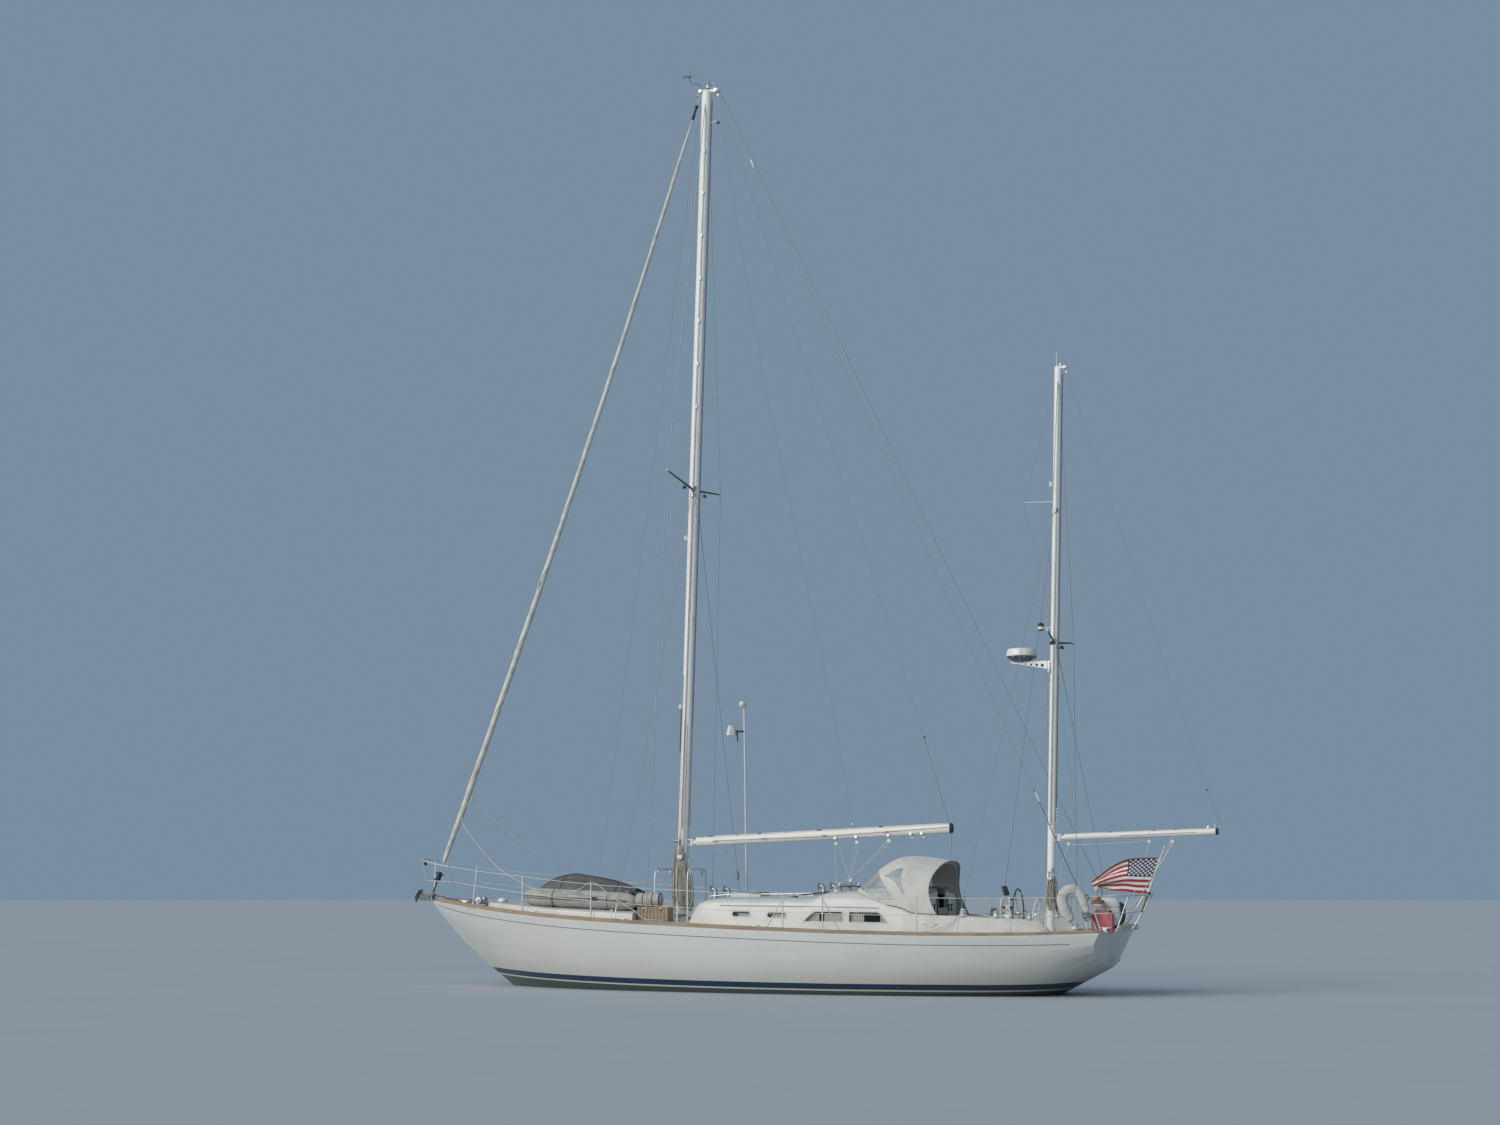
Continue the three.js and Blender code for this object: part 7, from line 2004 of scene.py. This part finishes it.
# Cabin top: grab rails, mouldings, boat hook, hatch runners, vents and bulkhead trim
def cabinTop():
    form = bmesh.new()
    for sign in (-1, 1):
        spots = [-1.02, -0.62, -0.25, 0.16, 0.56]
        rise = [0.065, 0.07, 0.07, 0.075, 0.075]
        off = [min(0.7, straightBetween(roofRows, x)[0] - 0.07) for x in spots]
        top = [Vector((x, sign * y, roofHeight(x, y) + up)) for x, y, up in zip(spots, off, rise)]
        bent(form, top, 0.011, 0)
        for spot in top:
            low = Vector((spot.x, spot.y, roofHeight(spot.x, spot.y) - 0.004))
            rod(form, low, spot, 0.009, 0)
            peg(form, low + lifted(0.002), 0, 0.022, 0.006, sides=16)
        trim = [(x, sign * (trunkSide(x, z) + 0.003), z) for x, z in [(-0.74, 1.532), (0.0, 1.527),
            (0.8, 1.522), (1.6, 1.512), (2.3, 1.498)]]
        wire(form, trim, 0.008, 1)
        if sign > 0:  # a wooden toggle on the shroud
            ball(form, (-1.315, 1.52, 2.09), 1, (0.035, 0.03, 0.1), 0.8, (-0.04, -0.18, 1))
        # moulded line along the cockpit's coaming
        wire(form, [(x, sign * 1.113, z) for x, z in ((3.2, 1.317), (3.36, 1.315), (4.3, 1.286),
            (5.14, 1.247))], 0.002, 4)
        # turning blocks and clutches each side of the hatch
        for x in (2.06, 2.2, 2.34):
            box(form, (x, sign * 0.56, roofHeight(x, 0.56) + 0.018), 3, (0.11, 0.036, 0.04), 0.008)
            box(form, (x - 0.02, sign * 0.56, roofHeight(x, 0.56) + 0.045), 2, (0.014, 0.03, 0.09), 0.004,
                (0.5, 0, 1))
        winch(form, (1.98, sign * 0.76, roofHeight(1.98, 0.76) - 0.004), (0, 0, 1), 0.05, 0, 3)
        for x, y in ((1.05, 0.36), (-1.05, 0.35)):
            at = Vector((x, sign * y, roofHeight(x, y) - 0.004))
            lathe(form, at, 3, [(0.07, 0), (0.07, 0.02), (0.045, 0.05), (0.04, 0.1)], sides=28)
            cowl = [(x, sign * y, at.z + 0.09), (x, sign * y, at.z + 0.14), (x - 0.03, sign * y, at.z + 0.17),
                (x - 0.06, sign * y, at.z + 0.175)]
            bent(form, cowl, 0.038, 3, sides=4)
            lathe(form, (x - 0.058, sign * y, at.z + 0.175), 3, [(0.04, 0), (0.055, 0.02), (0.066, 0.035),
                (0.07, 0.04), (0.062, 0.04), (0.048, 0.018), (0, 0.012)], (-1, 0, 0), sides=28)
    rod(form, (0.5, -0.62, roofHeight(0.5, 0.62) + 0.018), (1.24, -0.62, roofHeight(1.24, 0.62) + 0.02),
        0.012, 2)
    for x in (0.62, 1.1):
        box(form, (x, -0.62, roofHeight(x, 0.62) + 0.008), 2, (0.03, 0.045, 0.026), 0.005)
    rod(form, (-1.235, 1.7, 4.87), (-1.4, 1.7, 4.87), 0.02, 2)
    rod(form, (-1.4, 1.7, 4.9), (-1.37, 1.7, 4.67), 0.018, 2, tip=0.01)
    ball(form, (-1.27, 1.69, 5.4), 5, (0.075, 0.075, 0.07), 1.0)
    front = mainMast["foreAft"] / 2 + 0.012
    rod(form, onMast(mainMast, 4.38, front), onMast(mainMast, 5.28, front), 0.013, 2)
    # small skylight abaft the mast
    box(form, (0.62, 0, roofHeight(0.62) + 0.012), 5, (0.34, 0.34, 0.04), 0.012, steps=3)
    box(form, (0.62, 0, roofHeight(0.62) + 0.034), 6, (0.27, 0.27, 0.012), 0.004)
    # round instruments on the after bulkhead, and the frame of the way in
    for y in (-0.5, -0.68, 0.5, 0.68):
        lathe(form, (3.158, y, 1.5), 2, [(0.062, 0), (0.062, 0.018), (0.054, 0.022)], (1, 0, 0), sides=28)
        lathe(form, (3.181, y, 1.5), 5, [(0.046, 0), (0.046, 0.001)], (1, 0, 0), sides=28)
    for y in (-0.335, 0.335):
        box(form, (3.172, y, 1.42), 7, (0.03, 0.05, 0.5), 0.006)
    box(form, (3.172, 0, 1.17), 7, (0.035, 0.74, 0.04), 0.006)
    addPiece("cabin_top_fittings", form, ["stainless", "greyWood", "blackPlastic", "anodised", "greyRope",
        "whitePlastic", "smokedAcrylic", "varnish"])
    slide = bmesh.new()
    for y in (-0.3, 0.3):
        box(slide, (2.9, y, 1.866), 0, (0.5, 0.03, 0.014), 0.004)
    box(slide, (3.165, 0, 1.85), 0, (0.04, 0.74, 0.045), 0.008)
    bent(slide, [(3.05, -0.07, 1.862), (3.05, -0.06, 1.9), (3.05, 0.06, 1.9), (3.05, 0.07, 1.862)], 0.007, 1)
    addPiece("hatch_slide_trim", slide, ["varnish", "stainless"], body="sliding_hatch")


# Cockpit: gratings, winches on the coamings, engine levers, compass, and the arches by the mizzen
def cockpitFittings():
    form = bmesh.new()
    for i in range(15):
        y = -0.364 + 0.052 * i
        box(form, (4.12, y, 0.5715), 0, (1.18, 0.03, 0.022), 0.003)
    for x in (3.56, 3.9, 4.3, 4.68):
        box(form, (x, 0, 0.566), 0, (0.05, 0.78, 0.012), 0.002)
    addPiece("sole_grating", form, ["teak"])
    form = bmesh.new()
    for sign in (-1, 1):
        for x, y, z, size in ((3.84, 1.11, 1.36, 0.07), (4.42, 1.11, 1.341, 0.056),
                (5.01, 1.11, 1.312, 0.05)):
            peg(form, (x, sign * y, z + 0.006), 0, size * 1.12, 0.014, sides=28)
            winch(form, (x, sign * y, z + 0.018), (0, 0, 1), size, 0, 0)
        # a sheet's turns on the forward winch, and its tail made up in a coil
        for turn in range(3):
            hoop(form, (3.84, sign * 1.11, 1.41 + 0.015 * turn), 1, 0.058, 0.007, (0.03, 0.02, 1), sides=28)
        tail = [(3.88, sign * 1.06, 1.43), (4.1, sign * 1.055, 1.4), (4.3, sign * 1.05, 1.36),
            (4.5, sign * 1.0, 1.25), (4.62, sign * 0.93, 1.02)]
        bent(form, tail, 0.007, 1)
        for loop in range(5):
            hoop(form, (4.76 + 0.01 * loop, sign * 0.82, 0.998 + 0.009 * loop), 1, 0.11 + 0.006 * (loop % 3),
                0.007, (0.1 * (loop % 2), 0.05, 1), sides=32)
        hornCleat(form, (4.62, sign * 1.11, 1.33), (0, 0, 1), (1, 0, 0), 0.2, 0)
        # loop of line hung over the coaming's side
        side = 1.178
        loopPlace = [(3.12, sign * side, 1.24), (3.18, sign * (side + 0.004), 1.2),
            (3.26, sign * (side + 0.008), 1.155), (3.34, sign * (side + 0.006), 1.2),
            (3.4, sign * side, 1.24)]
        bent(form, loopPlace, 0.006, 2)
        for x in (3.12, 3.4):
            box(form, (x, sign * (side - 0.004), 1.245), 0, (0.03, 0.012, 0.04), 0.003)
        # locker door in the coaming's after end
        corners = [(5.2, 1.135), (5.3, 1.135), (5.3, 1.2), (5.2, 1.2)]
        frameAt = [(x, sign * (1.176 - (z - 1.1) * 0.25), z) for x, z in corners]
        wire(form, frameAt + frameAt[:1], 0.003, 3)
    bent(form, [(4.57, 0.62, 0.985), (4.57, 0.62, 1.3), (4.59, 0.61, 1.43), (4.7, 0.6, 1.465),
        (4.82, 0.59, 1.43), (4.86, 0.58, 1.3), (4.86, 0.58, 0.985)], 0.012, 4, sides=3)
    bent(form, [(4.88, -0.24, 0.985), (4.88, -0.24, 1.45), (4.92, -0.2, 1.6), (4.92, 0.0, 1.66),
        (4.92, 0.2, 1.6), (4.88, 0.24, 1.45), (4.88, 0.24, 0.985)], 0.0125, 4, sides=3)
    # compass and levers at the wheel
    lathe(form, (4.365, 0, 1.5), 5, [(0.05, -0.01), (0.088, -0.01), (0.09, 0.01), (0.086, 0.025),
        (0.05, 0.03), (0.05, -0.01)], sides=36)
    for y, lean, knob, look in ((-0.16, (0.5, -0.2, 1), (4.485, -0.19, 1.645), 5),
            (0.16, (0.3, 0.2, 1), (4.455, 0.19, 1.65), 6)):
        peg(form, (4.41, y, 1.5), 0, 0.007, 0.16, lean)
        ball(form, knob, look, (0.02, 0.02, 0.02), 1.0)
    for y in (-0.13, 0.13):
        box(form, (4.39, y, 1.5), 4, (0.07, 0.05, 0.07), 0.012, steps=3)
    # instrument on the guard's port leg: dark screen in a white case, facing aft
    rod(form, (4.29, -0.2, 1.52), (4.36, -0.28, 1.7), 0.014, 4)
    box(form, athwart((4.4, -0.29, 1.8), (-0.35, 0, 1)), 5, (0.055, 0.24, 0.17), 0.014, steps=3)
    box(form, athwart((4.43, -0.29, 1.79), (-0.35, 0, 1)), 7, (0.004, 0.19, 0.115), 0.001, steps=1)
    addPiece("cockpit_fittings", form, ["stainless", "rope", "greyRope", "greyWood", "whitePlastic",
        "blackPlastic", "redPlastic", "smokedAcrylic"])
    for side, sign, body in (("port", -1, "port_locker_leaf"), ("starboard", 1, "starboard_locker_leaf")):
        lid = bmesh.new()
        for i in range(7):
            y = sign * (0.515 + 0.06 * i + 0.005)
            box(lid, (4.05, y, 1.0075), 0, (0.88, 0.052, 0.008), 0.002)
        box(lid, (4.05, sign * 0.486, 1.0), 1, (0.05, 0.01, 0.03), 0.002)
        addPiece("locker_slats_" + side, lid, ["teak", "stainless"], body=body)
    seats = bmesh.new()
    for sign in (-1, 1):
        for x, long in ((3.53, 0.09), (4.745, 0.38)):
            for i in range(9):
                box(seats, (x, sign * (0.44 + 0.065 * i), 0.984), 0, (long, 0.056, 0.008), 0.002)
    for i in range(5):
        box(seats, (4.755 + 0.045 * i, 0, 0.984), 0, (0.039, 0.76, 0.008), 0.002)
    addPiece("seat_slats", seats, ["teak"])


# Quarterdeck and hull: coils, the exhaust and an inlet, and the stern light
def sternAndHull():
    form = bmesh.new()
    for i in range(6):
        hoop(form, (5.98 + 0.008 * i, -1.235, 1.42 - 0.012 * i), i % 2, 0.052 + 0.004 * (i % 3), 0.0065,
            (0.25, 1, 0.2 * (i % 3 - 1)), sides=28)
    bent(form, [(6.0, -1.24, 1.53), (6.02, -1.22, 1.6), (6.05, -1.2, 1.71), (5.98, -1.2, 1.72),
        (5.97, -1.24, 1.52)], 0.0075, 1)
    for i in range(7):
        hoop(form, (6.38, 0.72, deckHeight(6.38, 0.72) + 0.008 + 0.013 * i), 0, 0.13 + 0.012 * (i % 3),
            0.0075, (0.05 * (i % 2), 0.04, 1), sides=32)
    addPiece("stern_lines", form, ["greyRope", "darkRope"])
    form = bmesh.new()
    for x, y, z, way, size in ((6.25, -0.42, 0.62, (1, -0.1, -0.5), 0.045), (6.21, 0.5, 0.6, (1, 0.15, -0.5),
            0.022)):
        lathe(form, (x, y, z), 0, [(size * 1.4, 0), (size * 1.4, 0.01), (size, 0.014), (size, 0.04),
            (size * 0.75, 0.04), (size * 0.75, 0.01)], way, sides=28)
    lamp = [Vector((6.875, 0.0, 1.78)), Vector((6.875, 0.0, 1.735))]
    rod(form, lamp[1], lamp[0], 0.03, 1, sides=20)
    rod(form, lamp[0], lamp[0] + lifted(0.03), 0.026, 2, tip=0.02, sides=20)
    addPiece("stern_fittings", form, ["stainless", "blackPlastic", "clearLens"])


cabinTop()
cockpitFittings()
sternAndHull()
report("deck and cockpit")
